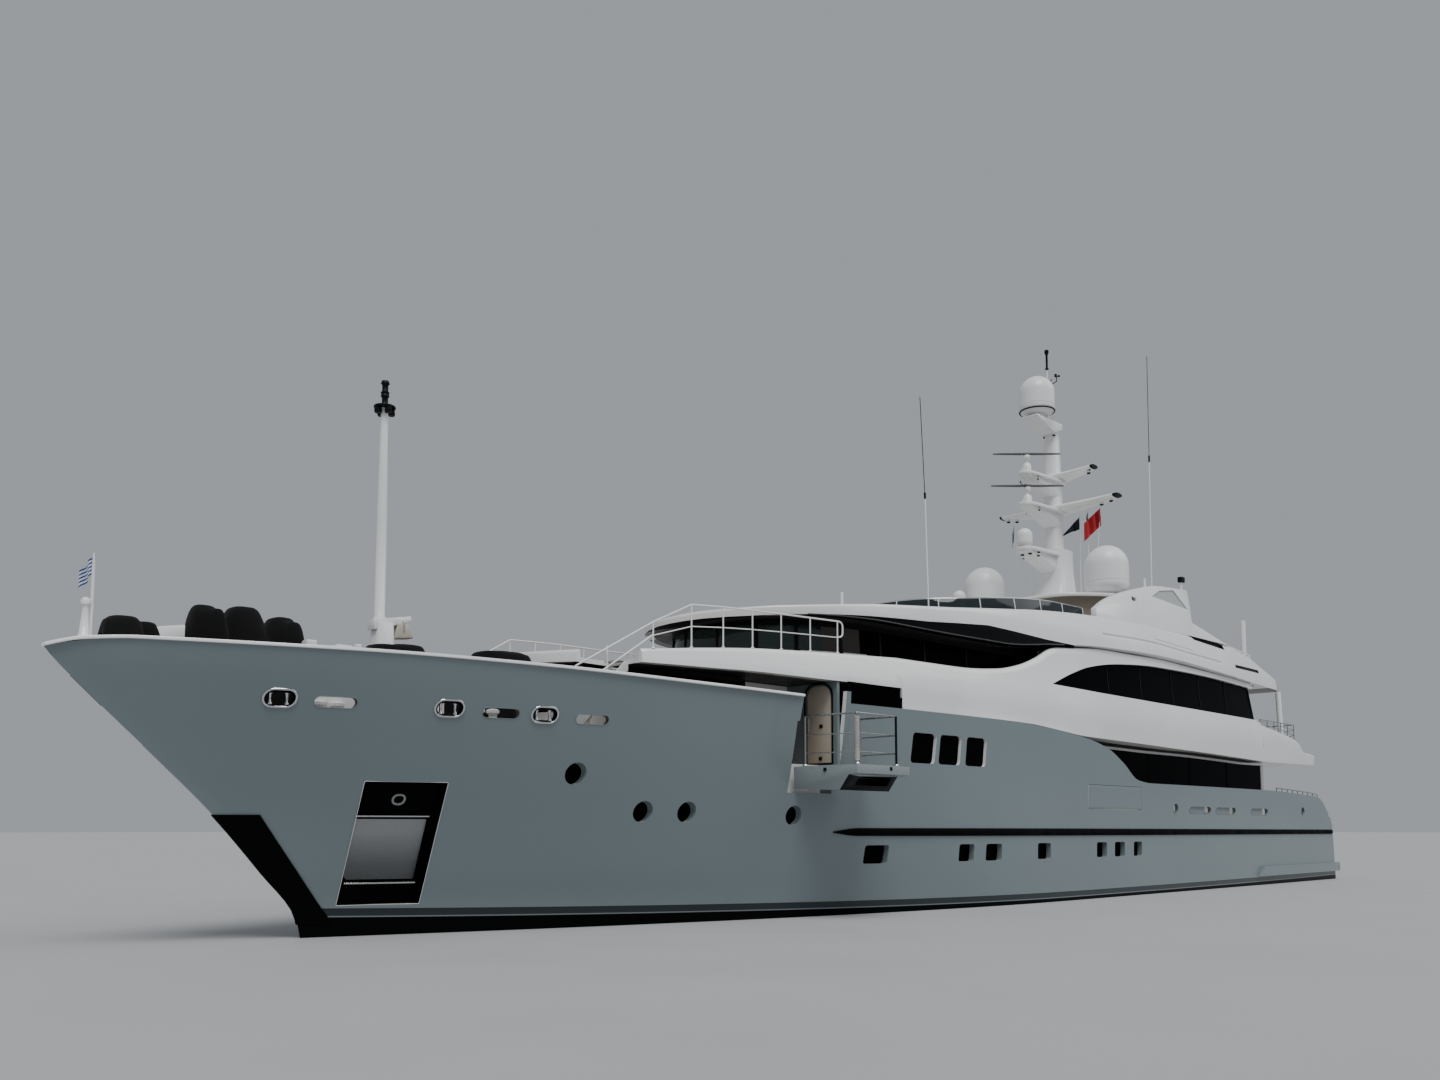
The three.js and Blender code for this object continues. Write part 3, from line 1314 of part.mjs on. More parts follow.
pair("wing_rail", standOn(railing(wingPosts, [0.5]).add(stairRail), upperDeck), PAINT.steel);

const upperAftXs = [-18.4, -19.4, -20.4, -21.4, -22.3];
const upperAftSide = upperAftXs.map((x) => [x, crestY(x), crestZ(x), 6.95]);
const aftDeck = 5.43;
const upperAftAcross = [3.0, 1.5, 0].map((y) => [-22.45, y, aftDeck, 6.95]);
const upperRail = both([...upperAftSide, ...upperAftAcross]);
// Poles for the after awnings rise from the rails' corners
const pole = (x, y, z0, z1) => bar([x, y, z0 - 0.02], [x - 0.12, y, z1], 0.075, 8);
const poles = (x, y, z0, z1) => pole(x, y, z0, z1).add(pole(x, -y, z0, z1));
node(
  "upper_aft_rail",
  standOn(railing(upperRail, [0.5]).add(poles(-22.4, 3.0, aftDeck, 8.46)), upperDeck),
  PAINT.white,
);
const sunAftXs = [-17.95, -18.5];
const sunAftSide = sunAftXs.map((x) => [x, sunCrestY(x) - 0.03, sunCrestZ(x), 10 + (x + 15) * 0.06]);
const sunAftDeck = sunFloor(-18.7);
const sunAftAcross = [2.8, 1.4, 0].map((y) => [-18.7, y, sunAftDeck - 0.02, 9.78]);
node(
  "sun_aft_rail",
  standOn(
    railing(both([...sunAftSide, ...sunAftAcross]), [0.5]).add(poles(-18.7, 2.8, sunAftDeck, 11.29)),
    sunDeck,
  ),
  PAINT.white,
);

// Under the water: shafts, propellers, rudders and stabiliser fins

const SHAFT = { y: 1.9, z: -1.98, radius: 0.085, tip: 0.05, end: -20.985, bore: 0.0525 };
const shaft = union([
  bar([-11.5, SHAFT.y, SHAFT.z], [SHAFT.end, SHAFT.y, SHAFT.z], SHAFT.radius, 10),
  bar([-20, SHAFT.y, SHAFT.z], [-21.36, SHAFT.y, SHAFT.z], SHAFT.tip, 10),
  bar([-19.95, SHAFT.y, SHAFT.z], [-20.6, SHAFT.y, SHAFT.z], 0.16, 12),
  prism([[-20.5, SHAFT.z], [-20.0, SHAFT.z], [-19.8, -0.5], [-20.4, -0.5]], "y", 1.86, 1.94),
]).subtract(hullForm(SEAT));
pair("shaft", shaft.decompose().sort((a, b) => b.volume() - a.volume())[0], PAINT.steel);

const PROP = { x: -21.22, radius: 0.85, hub: 0.17, blades: 5 };
function propeller() {
  const parts = [bar([-21.0, 0, 0], [-21.44, 0, 0], PROP.hub, 14, 0.11)];
  for (let i = 0; i < PROP.blades; i++) {
    const rings = [0.12, 0.3, 0.5, 0.7, PROP.radius].map((r, k) => {
      const chord = [0.2, 0.36, 0.46, 0.42, 0.12][k];
      const pitch = Math.atan2(0.62, r * 1.6);
      const dx = Math.cos(Math.PI / 2 - pitch) * chord * 0.5;
      const dy = Math.sin(Math.PI / 2 - pitch) * chord * 0.5;
      const t = 0.022;
      return [
        [PROP.x - dx - t, -dy, r],
        [PROP.x - dx + t, -dy, r],
        [PROP.x + dx + t, dy, r],
        [PROP.x + dx - t, dy, r],
      ];
    });
    parts.push(loft(rings).rotate([(i * 360) / PROP.blades, 0, 0]));
  }
  return union(parts)
    .subtract(bar([-20.5, 0, 0], [-21.375, 0, 0], SHAFT.bore, 12))
    .translate([0, SHAFT.y, SHAFT.z]);
}
pair("propeller", propeller(), PAINT.bronze);

const RUDDER = { x: -22.75, fore: -22.35, aft: -23.6, top: -1.02, foot: -2.72 };
const rudder = union([
  loft([
    [RUDDER.foot, 0.05],
    [RUDDER.top, 0.08],
  ].map(([z, t]) => [
    [RUDDER.aft, SHAFT.y - 0.015, z],
    [RUDDER.x, SHAFT.y - t, z],
    [RUDDER.fore, SHAFT.y - t * 0.4, z],
    [RUDDER.fore, SHAFT.y + t * 0.4, z],
    [RUDDER.x, SHAFT.y + t, z],
    [RUDDER.aft, SHAFT.y + 0.015, z],
  ])),
  bar([RUDDER.x, SHAFT.y, -1.2], [RUDDER.x, SHAFT.y, -0.42], 0.07, 12),
]);
pair("rudder", rudder, PAINT.hull);

// Fins stand square to the turn of the bilge
const FIN = { x: -0.3, y: 3.25, z: -2.0, angle: 36.87, span: 1.05, stock: 0.06 };
const finLocal = union([
  loft([
    [-0.06, 0.45, -1.25, 0.08],
    [-FIN.span, 0.2, -1.15, 0.05],
  ].map(([z, fore, aft, t]) => [
    [aft, -0.015, z],
    [0, -t, z],
    [fore, -t * 0.4, z],
    [fore, t * 0.4, z],
    [0, t, z],
    [aft, 0.015, z],
  ])),
  bar([0, 0, -0.2], [0, 0, 0.3], FIN.stock, 12),
]);
const finPlaced = (solid) => solid.rotate([FIN.angle, 0, 0]).translate([FIN.x, FIN.y, FIN.z]);
pair("fin", finPlaced(finLocal), PAINT.hull);
const finBore = finPlaced(bar([0, 0, -0.4], [0, 0, 0.3 + SEAT], FIN.stock + 0.003, 12));
const rudderBore = bar([RUDDER.x, SHAFT.y, -1.2], [RUDDER.x, SHAFT.y, -0.42 + SEAT], 0.0735, 12);
for (const cut of [finBore, rudderBore, lobbyBore]) hull = hull.subtract(cut).subtract(mirrored(cut));
node("hull", hull, PAINT.hull);

export default yacht;
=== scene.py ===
# %% [markdown]
# # A three-deck motor yacht at half size
# The full-size boat is about 54 m long. Her construction is already modelled at 1:2, and this lesson
# dresses it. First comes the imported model, which is the frame that everything else is fitted to.

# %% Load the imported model
import json
from math import atan2, copysign, cos, pi, radians, sin, sqrt

import bmesh
import bpy
from mathutils import Matrix, Vector

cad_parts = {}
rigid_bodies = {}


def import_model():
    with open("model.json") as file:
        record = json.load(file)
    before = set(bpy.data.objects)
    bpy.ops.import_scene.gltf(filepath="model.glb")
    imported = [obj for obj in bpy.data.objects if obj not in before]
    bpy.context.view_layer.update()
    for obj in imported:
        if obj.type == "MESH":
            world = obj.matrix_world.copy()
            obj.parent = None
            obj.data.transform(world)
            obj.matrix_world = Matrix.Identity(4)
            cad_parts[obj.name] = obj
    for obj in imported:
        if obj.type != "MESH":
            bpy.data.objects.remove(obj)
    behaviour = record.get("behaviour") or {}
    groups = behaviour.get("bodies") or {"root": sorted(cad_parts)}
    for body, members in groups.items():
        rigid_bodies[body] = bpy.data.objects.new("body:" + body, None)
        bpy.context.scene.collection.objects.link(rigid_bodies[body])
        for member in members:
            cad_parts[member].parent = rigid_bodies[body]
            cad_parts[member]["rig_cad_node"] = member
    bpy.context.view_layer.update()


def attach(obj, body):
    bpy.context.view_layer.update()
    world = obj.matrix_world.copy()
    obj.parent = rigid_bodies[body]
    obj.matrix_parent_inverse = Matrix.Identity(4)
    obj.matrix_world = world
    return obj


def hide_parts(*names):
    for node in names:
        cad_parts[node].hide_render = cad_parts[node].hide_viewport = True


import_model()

YACHT = "yacht"

# %% [markdown]
# Sizes are easier to check against a real boat, so every size below is in metres of the full-size
# boat, and one number turns it into metres of the model. X points to the bow, Y to port, Z up, and
# the water is at Z = 0.

# %% Scale and smooth lines
HALF = 0.5
RAIL_Z = 5.86
FORE_DECK_Z = 4.45
LOBBY_Z = 3.95
MAIN_DECK_Z = 2.85
SWIM_Z = 0.62
PLATE = 0.12
SIDES = (("port", 1), ("stbd", -1))
POCKET_DEEP, RECESS_DEEP, PANE_SKIN = 0.34, 0.22, -0.185
BRIDGE_Z, CHAIR_Z = 6.262, 6.27


def mix(a, b, t):
    return a + (b - a) * t


class Line:
    """A smooth line through rows of x, value, which never swings past a row."""

    def __init__(self, rows):
        self.x = [row[0] for row in rows]
        self.v = [row[1] for row in rows]
        steps = [b - a for a, b in zip(self.x, self.x[1:])]
        rises = [(b - a) / h for a, b, h in zip(self.v, self.v[1:], steps)]
        self.slope = [rises[0]] + [0.0] * (len(rows) - 2) + [rises[-1]]
        for i in range(1, len(rows) - 1):
            if rises[i - 1] * rises[i] > 0:
                w0, w1 = 2 * steps[i] + steps[i - 1], steps[i] + 2 * steps[i - 1]
                self.slope[i] = (w0 + w1) / (w0 / rises[i - 1] + w1 / rises[i])

    def __call__(self, x):
        if x <= self.x[0]:
            return self.v[0]
        if x >= self.x[-1]:
            return self.v[-1]
        i = max(k for k, at in enumerate(self.x) if at <= x)
        h = self.x[i + 1] - self.x[i]
        t = (x - self.x[i]) / h
        bend = self.slope[i] * h * (t**3 - 2 * t**2 + t) + self.slope[i + 1] * h * (t**3 - t**2)
        return self.v[i] * (2 * t**3 - 3 * t**2 + 1) + self.v[i + 1] * (3 * t**2 - 2 * t**3) + bend


def spread(low, high, count):
    return [mix(low, high, i / (count - 1)) for i in range(count)]


print("model scale:", HALF, "and rail height of the full-size boat:", RAIL_Z)

# %% [markdown]
# Most of a boat is skins lofted through cross sections. Each section here is a ring whose point k
# lies across from point n - 1 - k, so a strip of quads closes each end, even of a hollow section.

# %% Skins, prisms and turned shapes
def lofted(rings, ends=True):
    n = len(rings[0])
    verts = [point for ring in rings for point in ring]
    faces = []
    for i in range(len(rings) - 1):
        for k in range(n):
            a, b = i * n + k, i * n + (k + 1) % n
            faces.append((a, b, b + n, a + n))
    last = (len(rings) - 1) * n
    for k in range(n // 2 - 1 if ends else 0):
        faces.append((k, n - 1 - k, n - 2 - k, k + 1))
        faces.append((last + k, last + k + 1, last + n - 2 - k, last + n - 1 - k))
    return verts, faces


def between(one, other):
    """A closed solid between two outlines with the same number of points."""
    n = len(one)
    sides = [(k, (k + 1) % n, n + (k + 1) % n, n + k) for k in range(n)]
    return [*one, *other], [tuple(range(n)), tuple(range(n, 2 * n)), *sides]


def pushed(outline, axis, low, high):
    """An outline of (a, b) pushed along an axis: z takes it as x, y; y as x, z; x as y, z."""
    place = {"z": lambda a, b, c: (a, b, c), "y": lambda a, b, c: (a, c, b), "x": lambda a, b, c: (c, a, b)}[axis]
    return between(*[[place(a, b, c) for a, b in outline] for c in (low, high)])


def angles_round(count):
    """Angles of a ring's points, set half a step off so that the ring has a strip at each end."""
    return [2 * pi * (k + 0.5) / count for k in range(count)]


def turned(rows, centre=(0, 0, 0), sides=48):
    """A body of revolution about Z from rows of radius, z. It closes on the axis at both ends."""
    cx, cy, cz = centre
    verts, faces = [(cx, cy, cz + rows[0][1])], []
    rings = [row for row in rows if row[0] > 0]
    for r, z in rings:
        verts += [
            (cx + r * cos(2 * pi * k / sides), cy + r * sin(2 * pi * k / sides), cz + z)
            for k in range(sides)
        ]
    verts.append((cx, cy, cz + rows[-1][1]))
    top, last = len(verts) - 1, 1 + (len(rings) - 1) * sides
    for k in range(sides):
        j = (k + 1) % sides
        faces.append((0, 1 + j, 1 + k))
        faces.append((last + k, last + j, top))
        for i in range(len(rings) - 1):
            a = 1 + i * sides
            faces.append((a + k, a + j, a + sides + j, a + sides + k))
    return verts, faces


def blocks(*boxes):
    """Boxes of x0, x1, y0, y1, z0, z1 in one mesh."""
    verts, faces = [], []
    for x0, x1, y0, y1, z0, z1 in boxes:
        more = pushed([(x0, y0), (x1, y0), (x1, y1), (x0, y1)], "z", z0, z1)
        verts, faces = together((verts, faces), more)
    return verts, faces


def together(*shapes):
    verts, faces = [], []
    for more_verts, more_faces in shapes:
        start = len(verts)
        verts += list(more_verts)
        faces += [tuple(start + k for k in face) for face in more_faces]
    return verts, faces


def on_side(shape, sign):
    """The shape as it is for port (1), mirrored for starboard (-1)."""
    return [(x, sign * y, z) for x, y, z in shape[0]], shape[1]


def both_sides(shape):
    verts, faces = shape
    return together(shape, ([(x, -y, z) for x, y, z in verts], [tuple(reversed(face)) for face in faces]))


# %% [markdown]
# A mesh becomes a piece in two steps: `piece` makes the object and turns its faces outwards, and
# `done` shades it, gives it its materials, sets it on its body and hides the parts that it stands for.

# %% Making and finishing a piece
def piece(name, shape, scale=HALF):
    verts, faces = shape
    mesh = bpy.data.meshes.new(name)
    mesh.from_pydata([tuple(scale * c for c in v) for v in verts], [], faces)
    form = bmesh.new()
    form.from_mesh(mesh)
    bmesh.ops.remove_doubles(form, verts=form.verts, dist=2e-5)
    bmesh.ops.recalc_face_normals(form, faces=form.faces)
    form.to_mesh(mesh)
    form.free()
    made = bpy.data.objects.new(name, mesh)
    bpy.context.collection.objects.link(made)
    return made


def plain(made):
    """Turn a piece with modifiers into a plain mesh."""
    mesh = bpy.data.meshes.new_from_object(made.evaluated_get(bpy.context.evaluated_depsgraph_get()))
    made.modifiers.clear()
    made.data = mesh
    return made


def carve(made, *cutters, how="DIFFERENCE"):
    for cutter in cutters:
        step = made.modifiers.new("cut", "BOOLEAN")
        step.solver, step.operation, step.object = "MANIFOLD", how, cutter
    plain(made)
    for cutter in cutters:
        bpy.data.objects.remove(cutter)
    return made


def soften(made, width, segments=2, angle=40):
    step = made.modifiers.new("soft edges", "BEVEL")
    step.width, step.segments = width * HALF, segments
    step.limit_method, step.angle_limit = "ANGLE", radians(angle)
    step.harden_normals = False
    return plain(made)


def shade(made, angle=32):
    form = bmesh.new()
    form.from_mesh(made.data)
    for face in form.faces:
        face.smooth = True
    for edge in form.edges:
        flat = len(edge.link_faces) != 2 or edge.calc_face_angle(0) < radians(angle)
        edge.smooth = flat
    form.to_mesh(made.data)
    form.free()


def spot_of(face):
    """A face's centre in metres of the full-size boat."""
    return [c / HALF for c in face.center]


def done(made, finishes, body=YACHT, stands_for=(), angle=32, choose=None):
    """finishes is one material or several; choose(face) then gives each face's number."""
    finishes = finishes if isinstance(finishes, (list, tuple)) else [finishes]
    made.data.materials.clear()
    for finish in finishes:
        made.data.materials.append(finish)
    for face in made.data.polygons:
        face.material_index = choose(face) if choose else 0
    shade(made, angle)
    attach(made, body)
    if stands_for:
        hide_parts(*stands_for)
    print(f"{made.name}: {len(made.data.polygons)} faces on {body}")
    return made


# %% [markdown]
# Rails, wires, rims and trims all follow a path. One Geometry Nodes tree sweeps a round section
# along every path of a mesh that holds only edges, and rounds the path's corners on the way.

# %% A tree that sweeps tubes along paths
def link_all(tree, links):
    for start, end in links:
        tree.links.new(start, end)


def new_tree(name, output, **inputs):
    """A tree with named inputs. It ends in Realize Instances, Set Material and one named output."""
    print(f"tree for {name}, with", ", ".join(inputs))
    tree = bpy.data.node_groups.new(name, "GeometryNodeTree")
    for socket, kind in inputs.items():
        tree.interface.new_socket(socket, in_out="INPUT", socket_type="NodeSocket" + kind)
    tree.interface.new_socket(output, in_out="OUTPUT", socket_type="NodeSocketGeometry")
    make = tree.nodes.new
    given, out = make("NodeGroupInput"), make("NodeGroupOutput")
    real, paint = make("GeometryNodeRealizeInstances"), make("GeometryNodeSetMaterial")
    link_all(tree, [
        (real.outputs["Geometry"], paint.inputs["Geometry"]),
        (given.outputs["Finish"], paint.inputs["Material"]),
        (paint.outputs["Geometry"], out.inputs[output]),
    ])
    return tree, make, given.outputs, real.inputs["Geometry"]


def tube_tree():
    tree, make, given, last = new_tree(
        "tube along a path", "Tubes", Paths="Geometry", Radius="Float", Sides="Int", Bend="Float", Finish="Material"
    )
    curve, fillet = make("GeometryNodeMeshToCurve"), make("GeometryNodeFilletCurve")
    circle, sweep = make("GeometryNodeCurvePrimitiveCircle"), make("GeometryNodeCurveToMesh")
    fillet.mode = "POLY"
    fillet.inputs["Count"].default_value = 5
    fillet.inputs["Limit Radius"].default_value = True
    sweep.inputs["Fill Caps"].default_value = True
    link_all(tree, [
        (given["Paths"], curve.inputs["Mesh"]),
        (curve.outputs["Curve"], fillet.inputs["Curve"]),
        (given["Bend"], fillet.inputs["Radius"]),
        (given["Sides"], circle.inputs["Resolution"]),
        (given["Radius"], circle.inputs["Radius"]),
        (fillet.outputs["Curve"], sweep.inputs["Curve"]),
        (circle.outputs["Curve"], sweep.inputs["Profile Curve"]),
        (sweep.outputs["Mesh"], last),
    ])
    return tree


TUBES = tube_tree()

# %% [markdown]
# The same small part often stands at many points, as the feet of rails do. A second tree puts a
# low turned foot on each point of a mesh and turns each by its own random angle, from a fixed seed.

# %% A tree that repeats a foot at points
def feet_tree():
    tree, make, given, last = new_tree(
        "a foot at each point", "Feet",
        Points="Geometry", Radius="Float", Neck="Float", Height="Float", Sides="Int", Seed="Int", Finish="Material",
    )
    foot, place = make("GeometryNodeMeshCone"), make("GeometryNodeInstanceOnPoints")
    chance = make("FunctionNodeRandomValue")
    chance.data_type = "FLOAT_VECTOR"
    chance.inputs[0].default_value, chance.inputs[1].default_value = (0, 0, 0), (0, 0, 2 * pi)
    link_all(tree, [
        (given["Points"], place.inputs["Points"]),
        (given["Sides"], foot.inputs["Vertices"]),
        (given["Radius"], foot.inputs["Radius Bottom"]),
        (given["Neck"], foot.inputs["Radius Top"]),
        (given["Height"], foot.inputs["Depth"]),
        (given["Seed"], chance.inputs["Seed"]),
        (foot.outputs["Mesh"], place.inputs["Instance"]),
        (chance.outputs[0], place.inputs["Rotation"]),
        (place.outputs["Instances"], last),
    ])
    return tree


FEET = feet_tree()


def with_tree(made, tree, **values):
    """Run a tree on a piece, with its inputs set by their sockets' identifiers."""
    step = made.modifiers.new(tree.name, "NODES")
    step.node_group = tree
    for socket in tree.interface.items_tree:
        if socket.item_type == "SOCKET" and socket.in_out == "INPUT" and socket.name in values:
            step[socket.identifier] = values[socket.name]
    return plain(made)


def tubes(name, runs, radius, finish, loops=(), sides=10, bend=0.0, body=YACHT, stands_for=()):
    """Round tubes along runs of points, and along closed loops of points."""
    mesh = bpy.data.meshes.new(name)
    verts, edges = [], []
    for run, closed in [(r, False) for r in runs] + [(r, True) for r in loops]:
        start = len(verts)
        verts += [tuple(HALF * c for c in point) for point in run]
        edges += [(start + k, start + k + 1) for k in range(len(run) - 1)]
        if closed:
            edges.append((start + len(run) - 1, start))
    mesh.from_pydata(verts, edges, [])
    made = bpy.data.objects.new(name, mesh)
    bpy.context.collection.objects.link(made)
    with_tree(made, TUBES, Radius=radius * HALF, Sides=sides, Bend=bend * HALF, Finish=finish)
    return done(made, finish, body, stands_for, angle=50)


def mirror_runs(runs):
    return list(runs) + [[(x, -y, z) for x, y, z in run] for run in runs]

# %% [markdown]
# Paint, glass and metal all share one recipe: a base colour that drifts a little over the surface,
# a roughness that drifts with it, and a fine bump. Only the numbers differ, so one class makes them.

# %% Materials
class Finish:
    """A Principled material with node helpers. Patterns read the piece's own coordinates."""

    def __init__(self, name, rough, metal=0.0, **sockets):
        print("finish:", name)
        self.made = bpy.data.materials.new(name)
        self.made.use_nodes = True
        self.nodes, self.links = self.made.node_tree.nodes, self.made.node_tree.links
        self.shader = self.nodes["Principled BSDF"]
        for key, value in {"Roughness": rough, "Metallic": metal, **sockets}.items():
            self.shader.inputs[key.replace("_", " ")].default_value = value
        self.at = self.nodes.new("ShaderNodeTexCoord").outputs["Object"]

    def put(self, kind, fields=None, **inputs):
        made = self.nodes.new(kind)
        for key, value in (fields or {}).items():
            setattr(made, key, value)
        for key, value in inputs.items():
            socket = made.inputs[int(key[1:]) if key[1:].isdigit() else key.replace("_", " ")]
            if isinstance(value, bpy.types.NodeSocket):
                self.links.new(value, socket)
            else:
                socket.default_value = value
        return made

    def sum(self, how, a, b=0.0, c=0.0):
        return self.put("ShaderNodeMath", {"operation": how}, i0=a, i1=b, i2=c).outputs[0]

    def noise(self, scale, detail=3.0, stretch=(1, 1, 1)):
        place = self.put("ShaderNodeMapping", Vector=self.at, Scale=stretch).outputs[0]
        return self.put("ShaderNodeTexNoise", Vector=place, Scale=scale, Detail=detail).outputs[0]

    def colors(self, share, stops, hard=False):
        ramp = self.put("ShaderNodeValToRGB", Fac=share)
        ramp.color_ramp.interpolation = "CONSTANT" if hard else "LINEAR"
        points = ramp.color_ramp.elements
        while len(points) < len(stops):
            points.new(0.5)
        for point, (at, color) in zip(points, stops):
            point.position = at
            point.color = (*color, 1)
        return ramp.outputs[0]

    def tint(self, share, a, b):
        """Mix two colours or colour sockets by a share."""
        mixed = self.put("ShaderNodeMix", {"data_type": "RGBA"}, i0=share)
        for k, value in ((6, a), (7, b)):
            if isinstance(value, bpy.types.NodeSocket):
                self.links.new(value, mixed.inputs[k])
            else:
                mixed.inputs[k].default_value = (*value, 1)
        return mixed.outputs[2]

    def span(self, value, low, high):
        return self.put("ShaderNodeMapRange", i0=value, i1=0.3, i2=0.7, i3=low, i4=high).outputs[0]

    def drive(self, socket, value):
        self.links.new(value, self.shader.inputs[socket])

    def bump(self, height, strength, distance=0.01):
        made = self.put("ShaderNodeBump", Strength=strength, Distance=distance, Height=height)
        self.drive("Normal", made.outputs[0])

    def axes(self):
        return self.put("ShaderNodeSeparateXYZ", Vector=self.at).outputs


def toned(color, share):
    return tuple(min(1.0, c * share) for c in color)


def surface(name, color, rough, metal=0.0, drift=0.05, scale=0.6, grain=0.0, grain_scale=60, **more):
    made = Finish(name, rough, metal, **more)
    broad = made.noise(scale)
    made.drive("Base Color", made.colors(broad, [(0.3, toned(color, 1 - drift)), (0.7, toned(color, 1 + drift))]))
    made.drive("Roughness", made.span(made.noise(scale * 9), rough * 0.85, rough * 1.2))
    if grain:
        made.bump(made.noise(grain_scale), grain)
    return made.made


# %% [markdown]
# The plain finishes take one call each. The numbers are the base colour, how rough it is and whether
# it is metal. Black rubber and dark paint reflect little, or a low sun would turn them grey.

# %% Plain finishes
WHITE = surface(
    "white gelcoat", (0.80, 0.805, 0.80), 0.22, Coat_Weight=0.35, Coat_Roughness=0.08, grain=0.02, grain_scale=3
)
GREY_DECK = surface("non-slip deck", (0.50, 0.50, 0.48), 0.7, grain=0.6, grain_scale=420)
RUBBER = surface(
    "black rubber", (0.002, 0.0022, 0.0025), 0.6, Specular_IOR_Level=0.04, drift=0.15, grain=0.1, grain_scale=90
)
SATIN = surface("satin stainless steel", (0.36, 0.37, 0.38), 0.25, 1.0, grain=0.02, grain_scale=25)
CHROME = surface("polished stainless steel", (0.62, 0.64, 0.65), 0.12, 1.0, grain=0.02, grain_scale=25)
BRONZE = surface("propeller bronze", (0.45, 0.27, 0.10), 0.32, 1.0, drift=0.15, scale=5, grain=0.1)
DOME = surface("radome plastic", (0.78, 0.79, 0.79), 0.34, drift=0.02, grain=0.03, grain_scale=40)
DARK = surface("dark fitting paint", (0.005, 0.0055, 0.0065), 0.45, Specular_IOR_Level=0.12, drift=0.1, grain=0.05)
CREAM = surface("cream door laminate", (0.50, 0.445, 0.37), 0.38, drift=0.04, Coat_Weight=0.3)
LAMP = surface("lamp glass", (0.75, 0.76, 0.74), 0.08, drift=0.02, Coat_Weight=1.0)
# Painted shade: a dark grey for the bow slots' inner faces and for a line under the brow.
PAINTED_SHADE = surface("shaded recess paint", (0.05, 0.053, 0.056), 0.5, drift=0.1)
# Painted shade for the decks' undersides.
SOFFIT_SHADE = surface("dark soffit lining", (0.022, 0.023, 0.025), 0.5, drift=0.1)
LEATHER = surface("pale seat leather", (0.55, 0.52, 0.47), 0.5, drift=0.06, grain=0.25, grain_scale=160)

# %% [markdown]
# Dark window glass is nearly black and shows little of the sky, and it is never quite flat: a very
# long, low wave in the bump breaks its reflections as toughened glass does.

# %% Glass
def dark_glass(name, color, **more):
    made = Finish(name, 0.04, Specular_IOR_Level=0.01, **more)
    made.drive("Base Color", made.colors(made.noise(0.35), [(0.35, color), (0.7, toned(color, 1.6))]))
    made.bump(made.noise(0.8, 1.0), 0.05, 0.05)
    return made.made


GLASS = dark_glass("dark tinted glass", (0.0008, 0.001, 0.0014))
GREEN_GLASS = dark_glass("green tinted glass", (0.06, 0.11, 0.105), Transmission_Weight=0.7)
SMOKE_GLASS = dark_glass("smoked screen glass", (0.03, 0.042, 0.05), Transmission_Weight=0.6)
CURTAIN_GLASS = dark_glass("curtained window glass", (0.085, 0.078, 0.07))

# %% [markdown]
# The hull carries its stripes in the paint. Their height above the water follows the hull's length,
# as a painter would snap a line: it climbs towards the bow and a little towards the stern. So the
# material works out each point's height below that line and picks the band from it.

# %% Hull paint with its boot-top
def hull_paint():
    made = Finish("hull paint", 0.24, Coat_Weight=0.2, Coat_Roughness=0.06, Specular_IOR_Level=0.35)
    x, _, z = made.axes()
    along = made.sum("MULTIPLY_ADD", x, 1 / HALF, 4.0)
    fore, aft = made.sum("MAXIMUM", along), made.sum("MINIMUM", along)
    rise = made.sum("MULTIPLY_ADD", made.sum("POWER", fore, 2.0), 0.00048, 0.30)
    rise = made.sum("MULTIPLY_ADD", made.sum("MULTIPLY", aft, aft), 0.00015, rise)
    below = made.sum("SUBTRACT", rise, made.sum("MULTIPLY", z, 1 / HALF))
    share = made.put("ShaderNodeMapRange", i0=below, i1=-0.1, i2=0.4).outputs[0]
    upper = made.colors(made.noise(0.25), [(0.3, (0.172, 0.213, 0.226)), (0.7, (0.186, 0.229, 0.242))])
    bands = [
        (0.0, (0, 0, 0)), (0.2, (0.013, 0.021, 0.025)), (0.52, (0.16, 0.19, 0.20)), (0.58, (0.003, 0.0032, 0.0035))
    ]
    stripe = made.colors(share, bands, hard=True)
    made.drive("Base Color", made.tint(made.sum("GREATER_THAN", share, 0.2), upper, stripe))
    matt = made.sum("SUBTRACT", 1.0, made.sum("GREATER_THAN", share, 0.58))
    made.drive("Coat Weight", made.sum("MULTIPLY", matt, 0.2))
    made.drive("Specular IOR Level", made.sum("MULTIPLY_ADD", matt, 0.32, 0.03))
    made.drive("Roughness", made.span(made.noise(3.0), 0.15, 0.24))
    made.bump(made.noise(0.9, 2.0), 0.04, 0.02)
    return made.made


HULL_PAINT = hull_paint()

# %% [markdown]
# The brow over the wheelhouse is white above and painted black beneath, as painted shade of its
# underside. The line between the two runs nearly level while the moulding dips, so it too is worked
# out in the paint, from a table.

# %% Brow paint and its painted shade
SOFFIT_LINE = [
    (-6.0, 8.39), (-4.1, 8.4), (-1.1, 8.41), (0.6, 8.45), (2.24, 8.48), (3.75, 8.37), (5.2, 8.25), (7.4, 8.15),
    (9.6, 8.06), (10.5, 8.02),
]


